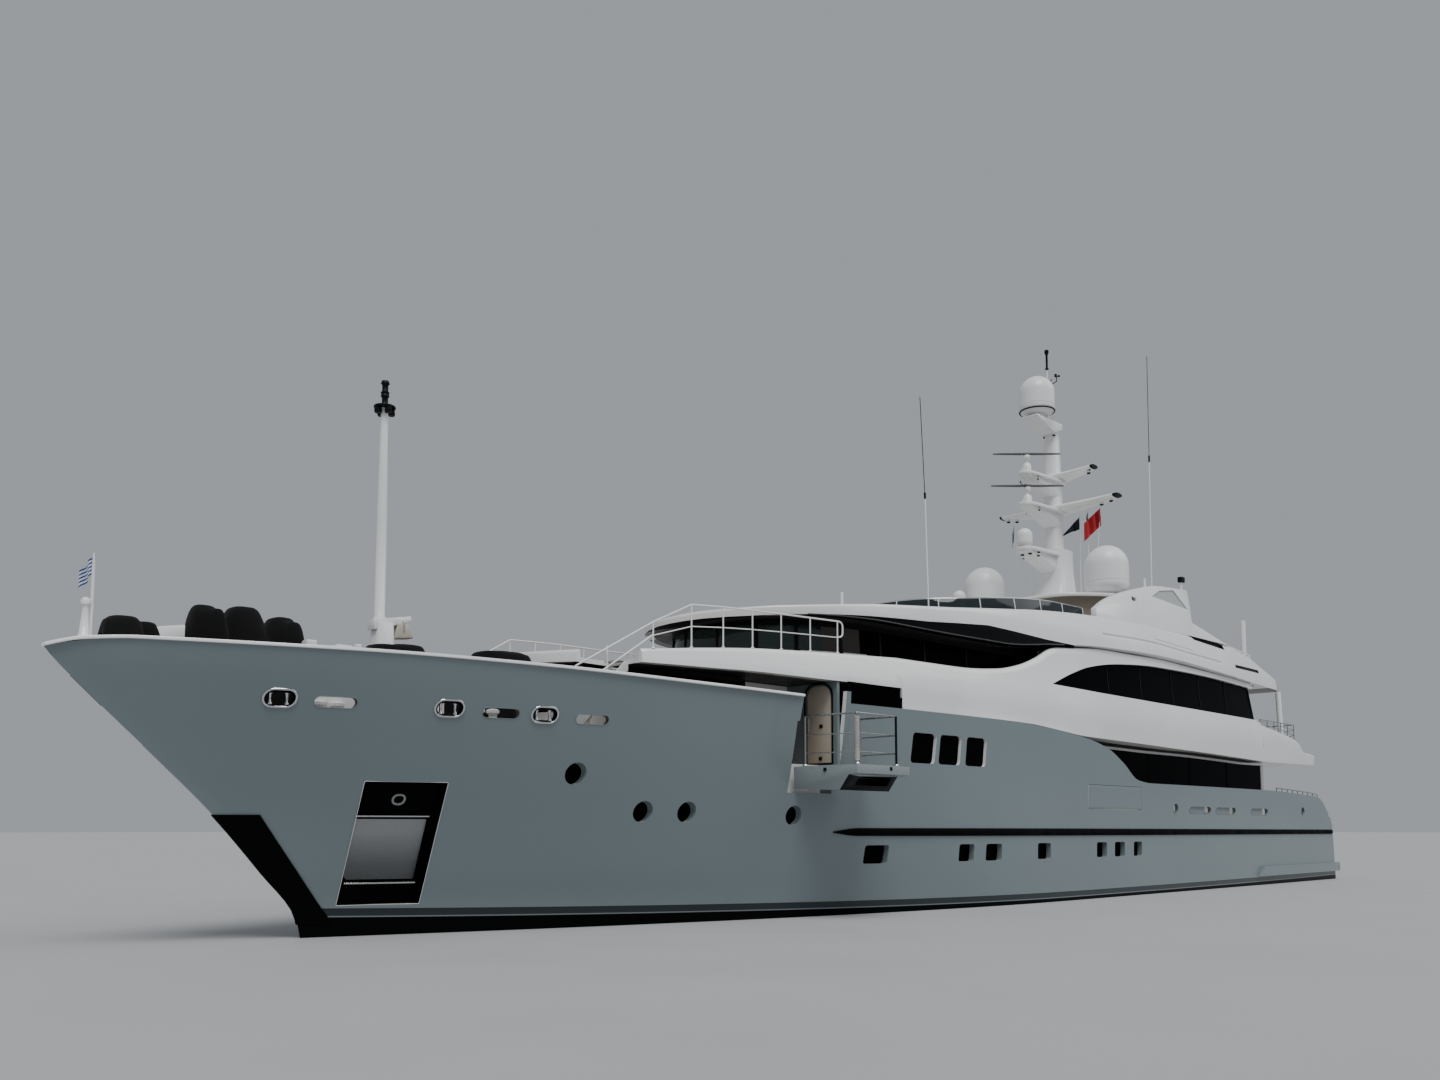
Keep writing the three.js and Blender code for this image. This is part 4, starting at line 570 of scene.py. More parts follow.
def brow_paint_and_shade():
    made = Finish("white gelcoat over a black soffit", 0.22, Coat_Weight=0.35, Coat_Roughness=0.08)
    x, _, z = made.axes()
    along = made.put("ShaderNodeMapRange", i0=x, i1=-6.0 * HALF, i2=10.5 * HALF).outputs[0]
    level = made.put("ShaderNodeMapRange", i0=z, i1=8.0 * HALF, i2=8.6 * HALF).outputs[0]
    line = made.colors(along, [((x + 6) / 16.5, ((z - 8) / 0.6,) * 3) for x, z in SOFFIT_LINE])
    under = made.sum("GREATER_THAN", line, level)
    over = made.sum("SUBTRACT", 1.0, under)
    white = made.colors(made.noise(0.6), [(0.3, (0.76, 0.765, 0.76)), (0.7, (0.84, 0.845, 0.84))])
    # Below the line the white turns black: painted shade.
    made.drive("Base Color", made.tint(under, white, (0.004, 0.0042, 0.005)))
    made.drive("Coat Weight", made.sum("MULTIPLY", over, 0.35))
    made.drive("Specular IOR Level", made.sum("MULTIPLY_ADD", over, 0.45, 0.05))
    return made.made


BROW_PAINT_AND_SHADE = brow_paint_and_shade()

# %% [markdown]
# Teak decks are narrow planks with black caulking between them. The planks run fore and aft, so the
# seams are a function of Y alone, and each plank takes its own tone from a noise stretched along X.

# %% Teak, brushed plate and woven cloth
def teak():
    made = Finish("laid teak", 0.62)
    x, y, _ = made.axes()
    plank = made.sum("MULTIPLY", y, 1 / 0.028)
    edge = made.sum("ABSOLUTE", made.sum("SUBTRACT", made.sum("FRACT", plank), 0.5))
    own = made.put("ShaderNodeCombineXYZ", X=made.sum("MULTIPLY", x, 0.35), Y=made.sum("FLOOR", plank))
    tone = made.put("ShaderNodeTexNoise", Vector=own.outputs[0], Scale=1.7, Detail=2.0).outputs[0]
    wood = made.colors(tone, [(0.3, (0.38, 0.30, 0.22)), (0.7, (0.50, 0.41, 0.31))])
    grain = made.noise(60.0, 4.0, (0.08, 1, 1))
    wood = made.tint(made.span(grain, 0.0, 0.25), wood, (0.24, 0.16, 0.09))
    seam = made.sum("GREATER_THAN", edge, 0.44)
    made.drive("Base Color", made.tint(seam, wood, (0.015, 0.014, 0.013)))
    made.bump(made.sum("MULTIPLY_ADD", grain, 0.2, made.sum("SUBTRACT", 1.0, seam)), 0.25, 0.002)
    return made.made


def brushed():
    made = Finish("brushed stainless plate", 0.3, 1.0)
    lines = made.noise(30.0, 5.0, (1, 1, 14))
    _, _, z = made.axes()
    # The colour is painted darker towards the plate's foot and lighter towards its top: painted light and shade.
    lower = made.put("ShaderNodeMapRange", i0=z, i1=0.55, i2=1.25).outputs[0]
    base = made.colors(lower, [(0.0, (0.10, 0.105, 0.11)), (0.3, (0.15, 0.155, 0.16)), (0.8, (0.33, 0.34, 0.35))])
    made.drive("Base Color", made.tint(made.span(lines, 0.0, 0.3), base, (0.20, 0.21, 0.21)))
    made.drive("Roughness", made.span(lines, 0.24, 0.42))
    made.bump(lines, 0.06)
    return made.made


def woven(name, tones, rough=0.85, weave=700.0, **more):
    made = Finish(name, rough, **more)
    threads = made.noise(weave, 1.0, (1, 1, 0.4))
    made.drive("Base Color", made.colors(made.noise(2.2, 4.0), [(0.3, tones[0]), (0.7, tones[1])]))
    creases = made.sum("MULTIPLY_ADD", made.noise(4.5, 5.0), 6.0, threads)
    made.bump(creases, 0.35, 0.006)
    return made.made


TEAK = teak()
PLATE_STEEL = brushed()
CANVAS = woven(
    "black cover canvas", ((0.0022, 0.0022, 0.0026), (0.006, 0.006, 0.0065)), 0.95, Sheen_Weight=0.04,
    Specular_IOR_Level=0.2,
)


def striped(name, count, tones):
    """A flag's cloth: stripes across its hoist, read from the cloth's own flat layout."""
    made = Finish(name, 0.8, Sheen_Weight=0.1)
    flat = made.put("ShaderNodeUVMap", {"uv_map": "cloth"}).outputs[0]
    down = made.put("ShaderNodeSeparateXYZ", Vector=flat).outputs[1]
    band = made.sum("MODULO", made.sum("FLOOR", made.sum("MULTIPLY", down, float(count))), 2.0)
    made.drive("Base Color", made.tint(band, tones[0], tones[1]))
    made.bump(made.noise(900.0, 1.0), 0.15, 0.002)
    return made.made


print("materials:", len(bpy.data.materials))

# %% [markdown]
# The studio is plain: a pale floor at the waterline, a pale sky, one broad key light high over the
# port bow, so that decks and fronts are bright and the flared bow is not, and a fill from aft.

# %% Camera, floor and light
camera = bpy.data.objects.new("camera", bpy.data.cameras.new("camera"))
bpy.context.collection.objects.link(camera)
camera.location = (16.722, 12.204, 1.1426)
camera.rotation_euler = (radians(95), 0, radians(135.5))
camera.data.lens, camera.data.sensor_width, camera.data.shift_y = 30, 36, 0.1278
camera.data.clip_end = 1000
bpy.context.scene.camera = camera

bpy.ops.mesh.primitive_plane_add(size=900)
floor = bpy.context.object
floor.name = "floor"
floor.data.materials.append(surface("pale studio floor", (0.40, 0.405, 0.41), 0.7, drift=0.01, scale=0.05))

world = bpy.data.worlds.new("pale sky")
bpy.context.scene.world = world
world.use_nodes = True
sky = world.node_tree.nodes["Background"]
sky.inputs["Color"].default_value = (0.74, 0.78, 0.84, 1)
sky.inputs["Strength"].default_value = 0.47


def sun(name, strength, angle, toward):
    lamp = bpy.data.lights.new(name, "SUN")
    lamp.energy, lamp.angle = strength, radians(angle)
    made = bpy.data.objects.new(name, lamp)
    bpy.context.collection.objects.link(made)
    made.rotation_euler = Vector(toward).to_track_quat("-Z", "Y").to_euler()
    return made


sun("key high over the port bow", 2.2, 30, (-0.30, -0.42, -0.86))
sun("fill over the port quarter", 0.6, 40, (0.60, -0.50, -0.62))
print("camera at", tuple(round(c, 2) for c in camera.location))

# %% [markdown]
# ## The hull
# The hull's lines are the construction's own tables. Smoothed, they give the half breadth at any
# place, so plating, stripes, windows and rings can all be put on the true surface by x and z.

# %% Hull lines
STEM = Line([
    (0, 21.84), (0.45, 21.95), (1.37, 22.7), (2.59, 23.78), (3.8, 25.05), (4.8, 26.13), (5.63, 26.96), (5.86, 27.12),
])
STERN = Line([(0, -26.15), (2.33, -26.05), (3.07, -25.7), (5.86, -24.2)])
KEEL = Line([
    (-26.2, 0.75), (-19, 1.3), (-9, 2.75), (-2, 2.9), (9, 2.9),
    (14.5, 2.6), (17.8, 2.0), (20, 1.2), (21.3, 0.5), (21.84, 0.06),
])


def half_over(x, z, skin=0.0):
    s = min(1.0, max(0.0, z / RAIL_Z))
    y = widest = mix(4.6, 4.8, s)
    mid, stem = mix(-0.9, 2.0, s), STEM(z)
    if x > mid:
        y = widest * (1 - min(1.0, (x - mid) / (stem - mid)) ** mix(1.75, 2.6, s))
    if x < -8:
        y -= mix(0.14, 0.42, s) * ((-8 - x) / 18.5) ** 2
    return max(0.02, y + skin)


def half_under(x, w, skin=0.0):
    fore = min(1.0, max(0.0, (x - 2) / 16))
    aft = min(1.0, max(0.0, (-10 - x) / 14))
    bilge = mix(mix(2.3, 1.15, fore), 1.9, aft)
    turn = mix(mix(0.62, 1.0, fore), 0.75, aft)
    return max(0.02, half_over(x, 0) * (1 - w**bilge) ** turn + skin)


def hull_form(skin=0.0, fine=1.0):
    """The whole hull up to the rail, as a skin this far off the plating."""
    draw = 2.4 * skin if skin < 0 else skin
    rings = []
    for u in spread(0, 0.8, round(64 * fine)) + spread(0.8, 1, round(48 * fine))[1:]:
        side = []
        for w in spread(1, 0, round(20 * fine))[:-1]:
            x = mix(STERN(0) - skin, STEM(0) + draw, u)
            side.append((x, half_under(x, w, skin), -KEEL(x) * w))
        for z in spread(0, RAIL_Z, round(34 * fine)):
            x = mix(STERN(z) - skin, STEM(z) + draw, u)
            side.append((x, half_over(x, z, skin), z))
        rings.append(side + [(x, -y, z) for x, y, z in reversed(side)])
    return lofted(rings)


def side_view(outline, y0=-12, y1=12):
    return pushed(outline, "y", y0, y1)


def on_hull(x, z, out=0.0):
    return (x, half_over(x, z) + out, z)


def hull_patch(outline, skin, thick):
    """A closed plate that lies on the hull at a skin: an outline of (x, z)."""
    return between(*[[on_hull(x, z, s) for x, z in outline] for s in (skin, skin - thick)])


def oval(x, z, length, height, steps=6):
    """The outline of a rounded slot in side view."""
    r, half = height / 2, length / 2 - height / 2
    points = []
    for sign, start in ((1, -90), (-1, 90)):
        for k in range(steps + 1):
            a = radians(start + 180 * k / steps)
            points.append((x + sign * half + r * cos(a), z + r * sin(a)))
    return points


def rounded(corners, r, steps=4):
    """An outline with its corners rounded."""
    points, n = [], len(corners)
    for k, corner in enumerate(corners):
        at, before, after = Vector(corner), Vector(corners[k - 1]), Vector(corners[(k + 1) % n])
        a, b = (before - at).normalized() * r, (after - at).normalized() * r
        for i in range(steps + 1):
            t = i / steps
            points.append(tuple(at + a * (1 - t) ** 2 + b * t**2))
    return points


print("half breadth amidships:", half_over(0, 3))

# %% [markdown]
# The plating is one skin. The decks, the bulwarks' inner faces, the stairs, slots, windows and
# pockets are then cut out of it, the way a yard cuts plate, so every edge is a true edge.

# %% Outlines of what is cut from the hull
EDGE = [
    (-25.6, 2.98), (-25.1, 3.4), (-24.3, 3.72), (-22, 3.82), (-18, 3.9), (-7.4, 3.9), (-6.4, 3.98),
    (-5.3, 4.55), (-4.2, 5.0), (-2.8, 5.26), (-0.4, 5.46), (2.4, 5.55), (8.9, 5.55),
]
EDGE_LINE = Line(EDGE)
edge_xs = [-25.6] + spread(-25.5, -7.5, 40) + spread(-7.4, 2.4, 50) + [8.9]
RAIL_LINE = Line([(10.9, 5.6), (14.1, 5.68), (18, 5.8), (22, 5.86), (25.5, 5.86), (26.4, 5.8), (27.2, 5.58)])
sheer = (
    [(-28, 2.85), (-25.62, 2.85)] + [(x, EDGE_LINE(x)) for x in edge_xs]
    + [(9.17, 5.55), (9.2, 6.08), (9.35, 6.08), (9.35, 3.95), (10.99, 3.95)]
    + [(x, RAIL_LINE(x)) for x in spread(10.85, 27.2, 40)] + [(28, 5.58), (28, 12), (-28, 12)]
)
above_decks = [
    (-28, MAIN_DECK_Z), (9.35, MAIN_DECK_Z), (9.35, LOBBY_Z), (11.52, LOBBY_Z),
    (11.52, FORE_DECK_Z), (28, FORE_DECK_Z), (28, 12), (-28, 12),
]
STAIR = {"x": -23.0, "inner": 3.0, "outer": 3.95, "going": 0.34, "steps": 9}
stair_line = [(STAIR["x"], 4.2)]
for k in range(STAIR["steps"]):
    x, z = STAIR["x"] - k * STAIR["going"], MAIN_DECK_Z - (k + 1) * (MAIN_DECK_Z - SWIM_Z) / STAIR["steps"]
    stair_line += [(x, z), (x - STAIR["going"], z)]
stair_line += [(-28, SWIM_Z), (-28, 4.2)]


def sloped(shape):
    return [(x + (z - SWIM_Z) * 0.217, y, z) for x, y, z in shape[0]], shape[1]


DOOR = [(-6.6, 2.96), (-2.9, 2.96), (-2.9, 3.74), (-6.6, 3.74)]
AFT_SLOTS = [
    (-9.3, 3.03, 0.42, 0.38), (-11.4, 3.0, 1.9, 0.26), (-13.75, 3.0, 1.9, 0.26), (-17.15, 3.0, 1.8, 0.26),
    (-22.2, 3.06, 0.42, 0.38),
]
FAIRLEADS = [(23.06, 4.88, 0.54, 0.29), (19.86, 4.82, 0.54, 0.29), (17.81, 4.78, 0.54, 0.29)]
PLAIN_SLOTS = [(22.05, 4.84, 0.8, 0.22), (18.77, 4.77, 0.8, 0.22), (16.69, 4.73, 0.8, 0.22)]
CABIN_PANES = [(5.6, 6.65), (4.43, 5.43), (3.17, 4.17)]
LOW_PANES = [(7.15, 8.04), (3.54, 4.23), (2.18, 2.97), (-0.55, 0.22), (-4.16, -3.48), (-5.42, -4.71), (-6.67, -6.07)]
PORTS = [(16.8, 3.53), (14.95, 2.69), (13.8, 2.69), (10.65, 2.63)]
POCKET = [(19.57, 0.66), (21.22, 0.66), (21.17, 3.28), (19.52, 3.28)]


def cabin_pane(x0, x1, grow=0.0):
    low, high, lean = 4.1 - grow, 4.94 + grow, 0.06
    corners = [(x0 - grow, low), (x1 + grow, low), (x1 - lean + grow, high), (x0 - lean - grow, high)]
    return rounded(corners, 0.13)


def low_pane(x0, x1, grow=0.0):
    corners = [(x0 - grow, 1.35 - grow), (x1 + grow, 1.35 - grow), (x1 + grow, 1.85 + grow), (x0 - grow, 1.85 + grow)]
    return rounded(corners, 0.09)


def grown(outline, grow):
    cx = sum(p[0] for p in outline) / len(outline)
    cz = sum(p[1] for p in outline) / len(outline)
    w = max(p[0] for p in outline) - cx
    h = max(p[1] for p in outline) - cz
    return [(cx + (x - cx) * (1 + grow / w), cz + (z - cz) * (1 + grow / h)) for x, z in outline]


print("windows in each side of the hull:", len(CABIN_PANES + LOW_PANES + PORTS))

# %% [markdown]
# A recess that follows the hull is a prism in side view less the hull drawn in by the recess's
# depth. Slots and the cabin windows go right through the plate, so a plain prism does there.

# %% Cut the hull
def cutter(name, shape):
    return piece(name, shape)


def recess(name, outlines, deep):
    made = cutter(name, together(*[side_view(o, 0.3, 12) for o in outlines]))
    return carve(made, cutter("floor of " + name, hull_form(-deep)))


def mirror_of(made):
    other = made.copy()
    other.data = made.data.copy()
    bpy.context.collection.objects.link(other)
    other.data.transform(Matrix.Diagonal((1, -1, 1, 1)))
    other.data.flip_normals()
    return other


hull = piece("hull_shell", hull_form())
deck_void = carve(cutter("decks", hull_form(-PLATE)), cutter("above", side_view(above_decks)), how="INTERSECT")
deck_void.name = "deck_void"
through = [side_view(oval(*slot), 3.0, 7) for slot in AFT_SLOTS]
through += [side_view(oval(*slot), 0.3, 6) for slot in FAIRLEADS + PLAIN_SLOTS]
through += [side_view(cabin_pane(*pane), 3.5, 7) for pane in CABIN_PANES]
through += [side_view(grown(DOOR, 0.014), 3.5, 7)]
stern_cuts = [
    cutter("stair well", both_sides(side_view(stair_line, STAIR["inner"], STAIR["outer"]))),
    cutter("stern slope", sloped(blocks((-29, -26, -3.01, 3.01, SWIM_Z, 3.85)))),
    cutter("stern bay", sloped(blocks((-26.5, -25.55, -2.2, 2.2, 0.95, 2.45)))),
    cutter("stern top", blocks((-28, -23, -3.952, 3.952, 2.851, 7))),
]
recesses = []
for name, outlines, deep in (
    ("anchor pocket", [POCKET], POCKET_DEEP),
    ("low windows", [low_pane(*pane) for pane in LOW_PANES], RECESS_DEEP),
    ("portholes", [oval(x, z, 0.5, 0.5, 12) for x, z in PORTS], RECESS_DEEP),
):
    made = recess(name, outlines, deep)
    recesses += [made, mirror_of(made)]
carve(
    hull,
    deck_void,
    cutter("above the sheer", side_view(sheer)),
    *stern_cuts,
    cutter("openings", both_sides(together(*through))),
    cutter("thruster tunnel", side_view(oval(15.4, -1.6, 0.84, 0.84, 12), -5, 5)),
    cutter("platform notch", both_sides(blocks((9.52, 10.98, 3.79, 7, 3.2, 5)))),
    *recesses,
)
skeg = piece(
    "skeg",
    side_view([(-4, -2.5), (-4, -2.88), (-16.5, -2.75), (-17.6, -2.3), (-18.4, -1.1), (-10, -2.4)], -0.14, 0.14),
)
carve(hull, skeg, how="UNION")
print("hull:", len(hull.data.polygons), "faces")

# %% [markdown]
# Which paint a face of the hull gets follows from where it lies. The outer skin and the windows'
# recesses wear hull paint, level ground is deck, the anchor pocket is black, the bow slots' edges get
# painted shade, and the rest is the white inside.

# %% Paint the hull
def hull_finish(face):
    x, y, z = spot_of(face)
    y = abs(y)
    skin = half_over(x, z) if z > 0 else 0
    if face.normal.z > 0.9 and z > 0.5 and y < skin - 0.02:
        return 2 if z > 2.8 and z < 4.6 else 3 if z < 2.8 else 1
    outward = face.normal.y * face.center.y > 0 and x > 24 and y > skin - 0.07
    if z < 0.02 or y > skin - 0.02 or outward or (x < -25.4 and z < 2.9):
        return 0
    if 19.4 < x < 22 and z < 3.4:
        return 4
    if z < 3.9 and y > skin - 0.2 and face.normal.z < 0.9:
        return 0
    # The bow slots' inner faces get painted shade.
    return 5 if 11.4 < x < 27 and y > skin - 0.2 and 4.55 < z < 5.1 else 1


done(
    hull, [HULL_PAINT, WHITE, TEAK, TEAK, RUBBER, PAINTED_SHADE],
    stands_for=["hull", "bow_bulwark", "topside_port", "topside_stbd"], angle=28, choose=hull_finish,
)

# %% [markdown]
# The doors in the shell are the same plating, cut to the opening less its running gap, and each
# rides on its own body. The stern door follows the stern's slope.

# %% Side doors and stern door
def door_panel(thick):
    """The door as a plate on the hull, cut into a fine grid so that it follows the curve."""
    xs, zs = spread(-6.6, -2.9, 30), spread(2.96, 3.74, 8)
    verts, faces = [], []
    for skin in (0.0, -thick):
        verts += [on_hull(x, z, skin) for x in xs for z in zs]
    n, m = len(xs), len(zs)

    def at(layer, i, k):
        return layer * n * m + i * m + k

    for i in range(n - 1):
        for k in range(m - 1):
            faces.append((at(0, i, k), at(0, i + 1, k), at(0, i + 1, k + 1), at(0, i, k + 1)))
            faces.append((at(1, i, k), at(1, i, k + 1), at(1, i + 1, k + 1), at(1, i + 1, k)))
    rim = [(i, 0) for i in range(n)] + [(n - 1, k) for k in range(1, m)]
    rim += [(i, m - 1) for i in range(n - 2, -1, -1)] + [(0, k) for k in range(m - 2, 0, -1)]
    for a, b in zip(rim, rim[1:] + rim[:1]):
        faces.append((at(0, *a), at(1, *a), at(1, *b), at(0, *b)))
    return verts, faces


def inside_white(face):
    return 0 if abs(face.normal.y) > 0.5 and face.normal.y * face.center.y > 0 else 1


for side, sign in SIDES:
    made = piece(f"side_door_skin_{side}", on_side(door_panel(0.09), sign))
    soften(made, 0.008, 2, 60)
    done(made, [HULL_PAINT, WHITE], f"side_door_{side}", [f"side_door_{side}"], choose=inside_white)
stern_door = piece("stern_door_skin", sloped(blocks((-25.998, -25.88, -2.186, 2.186, 0.964, 2.4))))
soften(stern_door, 0.02, 3)
done(stern_door, HULL_PAINT, "stern_door", ["stern_door"])

# %% [markdown]
# The bow bulwark ends in a broad white cap. Its section is a soft rectangle that stands proud of the
# plating outside, so light catches its upper edge and its underside throws a line of shade.

# %% Cap rail
cap_rings = []
for x in spread(10.9, 24.9, 57) + spread(25.0, 26.98, 24):
    z, y = RAIL_LINE(x) + 0.002, half_over(min(x, 26.98), RAIL_Z)
    out, inner = y + 0.05, max(0.03, y - 0.18) if x < 25.0 else 0.03
    section = [
        (out - 0.012, z), (out, z + 0.012), (out, z + 0.05), (out - 0.008, z + 0.064), (out - 0.025, z + 0.07),
        (inner + 0.012, z + 0.07), (inner, z + 0.058), (inner, z),
    ]
    cap_rings.append([(x, max(0.02, a), b) for a, b in section])
done(
    piece("cap_rail_moulding", both_sides(lofted(cap_rings))), WHITE, stands_for=["bow_cap_rail"],
    angle=40,
)

# %% [markdown]
# Along each side runs a black rub rail of half-round rubber. It starts as a point forward and swells
# to full depth within a metre. The stem guard and the quarter steps follow the hull, so each is a
# slice of a slightly swollen hull. The steps and the swim platform are one moulding.

# %% Rub rails, stem guard, swim platform
RUB_LOW, RUB_HIGH = Line([(-26, 2.06), (8.4, 2.1), (9.3, 2.19)]), Line([(-26, 2.26), (8.4, 2.31), (9.3, 2.21)])
rub_rings = []
for x in spread(-25.9, 9.25, 130):
    low, high = RUB_LOW(x), RUB_HIGH(x)
    ring = [on_hull(x, high, 0.0009)]
    for k in range(6, -1, -1):
        a = pi * (k / 6)
        z = mix(low, high, 0.5 - 0.5 * cos(a))
        ring.append((x, half_over(x, z) + 0.001 + 0.068 * sin(a) ** 0.7, z))
    rub_rings.append(ring)
done(
    piece("rub_rails", both_sides(lofted(rub_rings))), RUBBER,
    stands_for=["rub_rail_port", "rub_rail_stbd"],
)

guard = piece("stem_guard_plate", hull_form(0.035, 0.9))
carve(guard, cutter("hull inside", hull_form(0.0009)))
carve(
    guard, cutter("guard view", side_view([(22.95, 2.57), (24.2, 2.57), (22.3, 0.28), (21.25, 0.28)])),
    how="INTERSECT",
)
done(guard, RUBBER, stands_for=["stem_guard"])

step = carve(piece("swim_platform_moulding", hull_form(0.17, 0.9)), cutter("hull inside", hull_form(0.0009)))
step_view = [(-16.9, 0.37), (-17.0, 0.42), (-17.4, 0.76), (-26.3, 0.76), (-26.3, 0.37)]
carve(step, cutter("step view", both_sides(side_view(step_view, 2, 8))), how="INTERSECT")
slab = [(-26.17, 4.3), (-26.75, 4.3), (-27, 3.9), (-27, -3.9), (-26.75, -4.3), (-26.17, -4.3)]
platform = piece("platform slab", pushed(rounded(slab, 0.12, 4), "z", 0.32, SWIM_Z))
band = piece("stern band", blocks((-26.3, -26.171, -4.6, 4.6, 0.37, SWIM_Z)))
carve(step, platform, band, how="UNION")
carve(step, cutter("hull again", hull_form(0.0009)))
soften(step, 0.02, 3, 50)
done(
    step, [HULL_PAINT, TEAK], stands_for=["swim_platform"],
    choose=lambda f: 1 if f.normal.z > 0.95 and f.center.x < -26.2 * HALF else 0,
)

# %% [markdown]
# Windows in the plating are dark glass set back in the recesses, with a thin black gasket. The
# fairleads have polished rims, and portholes and plain slots a lip in the hull's paint. Each rim is
# a loop of points laid on the hull and swept by the tube tree, so one table holds them all.

# %% Glass and rims in the plating
panes = [hull_patch(low_pane(*pane, 0.006), PANE_SKIN, 0.03) for pane in LOW_PANES]
panes += [hull_patch(oval(x, z, 0.51, 0.51, 12), PANE_SKIN, 0.03) for x, z in PORTS]
done(piece("low_window_glass", both_sides(together(*panes))), GLASS)


def loops_on_hull(outlines, out):
    return mirror_runs([[on_hull(x, z, out) for x, z in outline] for outline in outlines])


def slot_lines(slots, grow=0.0):
    return [oval(x, z, length + grow, height + grow, 8) for x, z, length, height in slots]


gaskets = loops_on_hull([low_pane(*pane, -0.004) for pane in LOW_PANES], -0.178)
gaskets += loops_on_hull([cabin_pane(*pane, -0.004) for pane in CABIN_PANES], -0.112)
tubes("window_gaskets", [], 0.012, RUBBER, gaskets, 6)
for name, outlines, out, radius, finish, slot, sides in (
    ("porthole_rims", [oval(x, z, 0.5, 0.5, 12) for x, z in PORTS], -0.175, 0.012, HULL_PAINT, "hull_paint", 10),
    ("fairlead_rims", slot_lines(FAIRLEADS, 0.05), 0.008, 0.027, CHROME, "steel", 12),
    ("fairlead_seals", slot_lines(FAIRLEADS), 0.0, 0.026, RUBBER, "black_rubber", 8),
    ("fairlead_linings", slot_lines(FAIRLEADS, -0.02), -0.07, 0.03, DARK, "black_rubber", 10),
    ("plain_slot_rims", slot_lines(PLAIN_SLOTS), 0.002, 0.008, HULL_PAINT, "hull_paint", 8),
    ("aft_slot_rims", slot_lines(AFT_SLOTS), 0.002, 0.01, HULL_PAINT, "hull_paint", 8),
):
    tubes(name, [], radius, finish, loops_on_hull(outlines, out), sides)
shutters = [
    hull_patch(oval(x + 0.2, z, length - 0.4, 0.28), -0.07, 0.02) for x, z, length, _ in AFT_SLOTS if length > 1
]
done(piece("aft_slot_shutters", both_sides(together(*shutters))), HULL_PAINT)

# %% [markdown]
# Each chromed fairlead holds a pair of upright rollers, and behind the plain slots stand white
# mooring posts on the deck. Rollers and posts are turned bodies, as on a lathe.

# %% Rollers and mooring posts
roller_rows = [
    (0, -0.13), (0.05, -0.13), (0.05, -0.1), (0.032, -0.07), (0.028, 0), (0.032, 0.07), (0.05, 0.1), (0.05, 0.13),
    (0, 0.13),
]
rollers = []
for x, z, length, _ in FAIRLEADS:
    for dx in (-0.15, 0.15):
        rollers.append(turned(roller_rows, (x + dx, half_over(x + dx, z) - 0.07, z), 20))
done(piece("fairlead_rollers", both_sides(together(*rollers))), CHROME, angle=50)
bitt_rows = [
    (0, 0.002), (0.2, 0.002), (0.2, 0.04), (0.11, 0.07), (0.1, 0.34), (0.15, 0.38), (0.15, 0.44), (0.1, 0.47),
    (0, 0.475),
]
bitts = []
for x in (21.9, 18.75, 16.6):
    for dx in (-0.19, 0.19):
        bitts.append(turned(bitt_rows, (x + dx, half_over(x, 4.7) - 0.62, 4.45), 24))
done(piece("mooring_posts", both_sides(together(*bitts))), WHITE, angle=50)
aft_bitts = [
    turned(bitt_rows, (x + dx, half_over(x, 3) - 0.5, 2.85), 20)
    for x in (-12.5, -17.1, -22.0) for dx in (-0.18, 0.18)
]
done(piece("aft_mooring_posts", both_sides(together(*aft_bitts))), CHROME, angle=50)

# %% [markdown]
# The anchor pocket is a dark well with a thin white rim. A brushed plate takes the anchor's rub
# between two polished bars, and a steel lip rings the hawse above it. The plate stands where the
# construction has it.

# %% Anchor pockets
plate_outline = [(19.66, 1.2), (21.1, 1.2), (21.08, 2.5), (19.64, 2.5)]
made = piece("anchor_pocket_plates", both_sides(hull_patch(rounded(plate_outline, 0.04), -0.289, 0.05)))
soften(made, 0.008, 2)
done(made, PLATE_STEEL, stands_for=["anchor_pocket_plate_port", "anchor_pocket_plate_stbd"])
pocket_rim = rounded(POCKET, 0.03, 3)
tubes("pocket_rims", [], 0.006, WHITE, loops_on_hull([pocket_rim], -0.002), 8)
bars = [[on_hull(x, z, -0.26) for x in spread(19.62, 21.12, 5)] for z in (1.12, 2.56)]
tubes("pocket_bars", mirror_runs(bars), 0.022, CHROME)
hawse = oval(20.3, 2.92, 0.24, 0.2, 10)
tubes("hawse_lips", [], 0.035, PLATE_STEEL, loops_on_hull([hawse], -0.29), 12)
# A black patch inside the lip stands for the hawse pipe's dark inside: painted shade.
hawse_shade_patch = hull_patch(oval(20.3, 2.92, 0.23, 0.19), -0.325, 0.012)
done(piece("hawse_holes", both_sides(hawse_shade_patch)), RUBBER)

# %% [markdown]
# ## Decks and superstructure
# An upper deck is one moulding: its side sweeps down from the brow, its crest is rounded, and the
# deck lies inside it. So it is lofted through cross sections whose rows are the construction's.

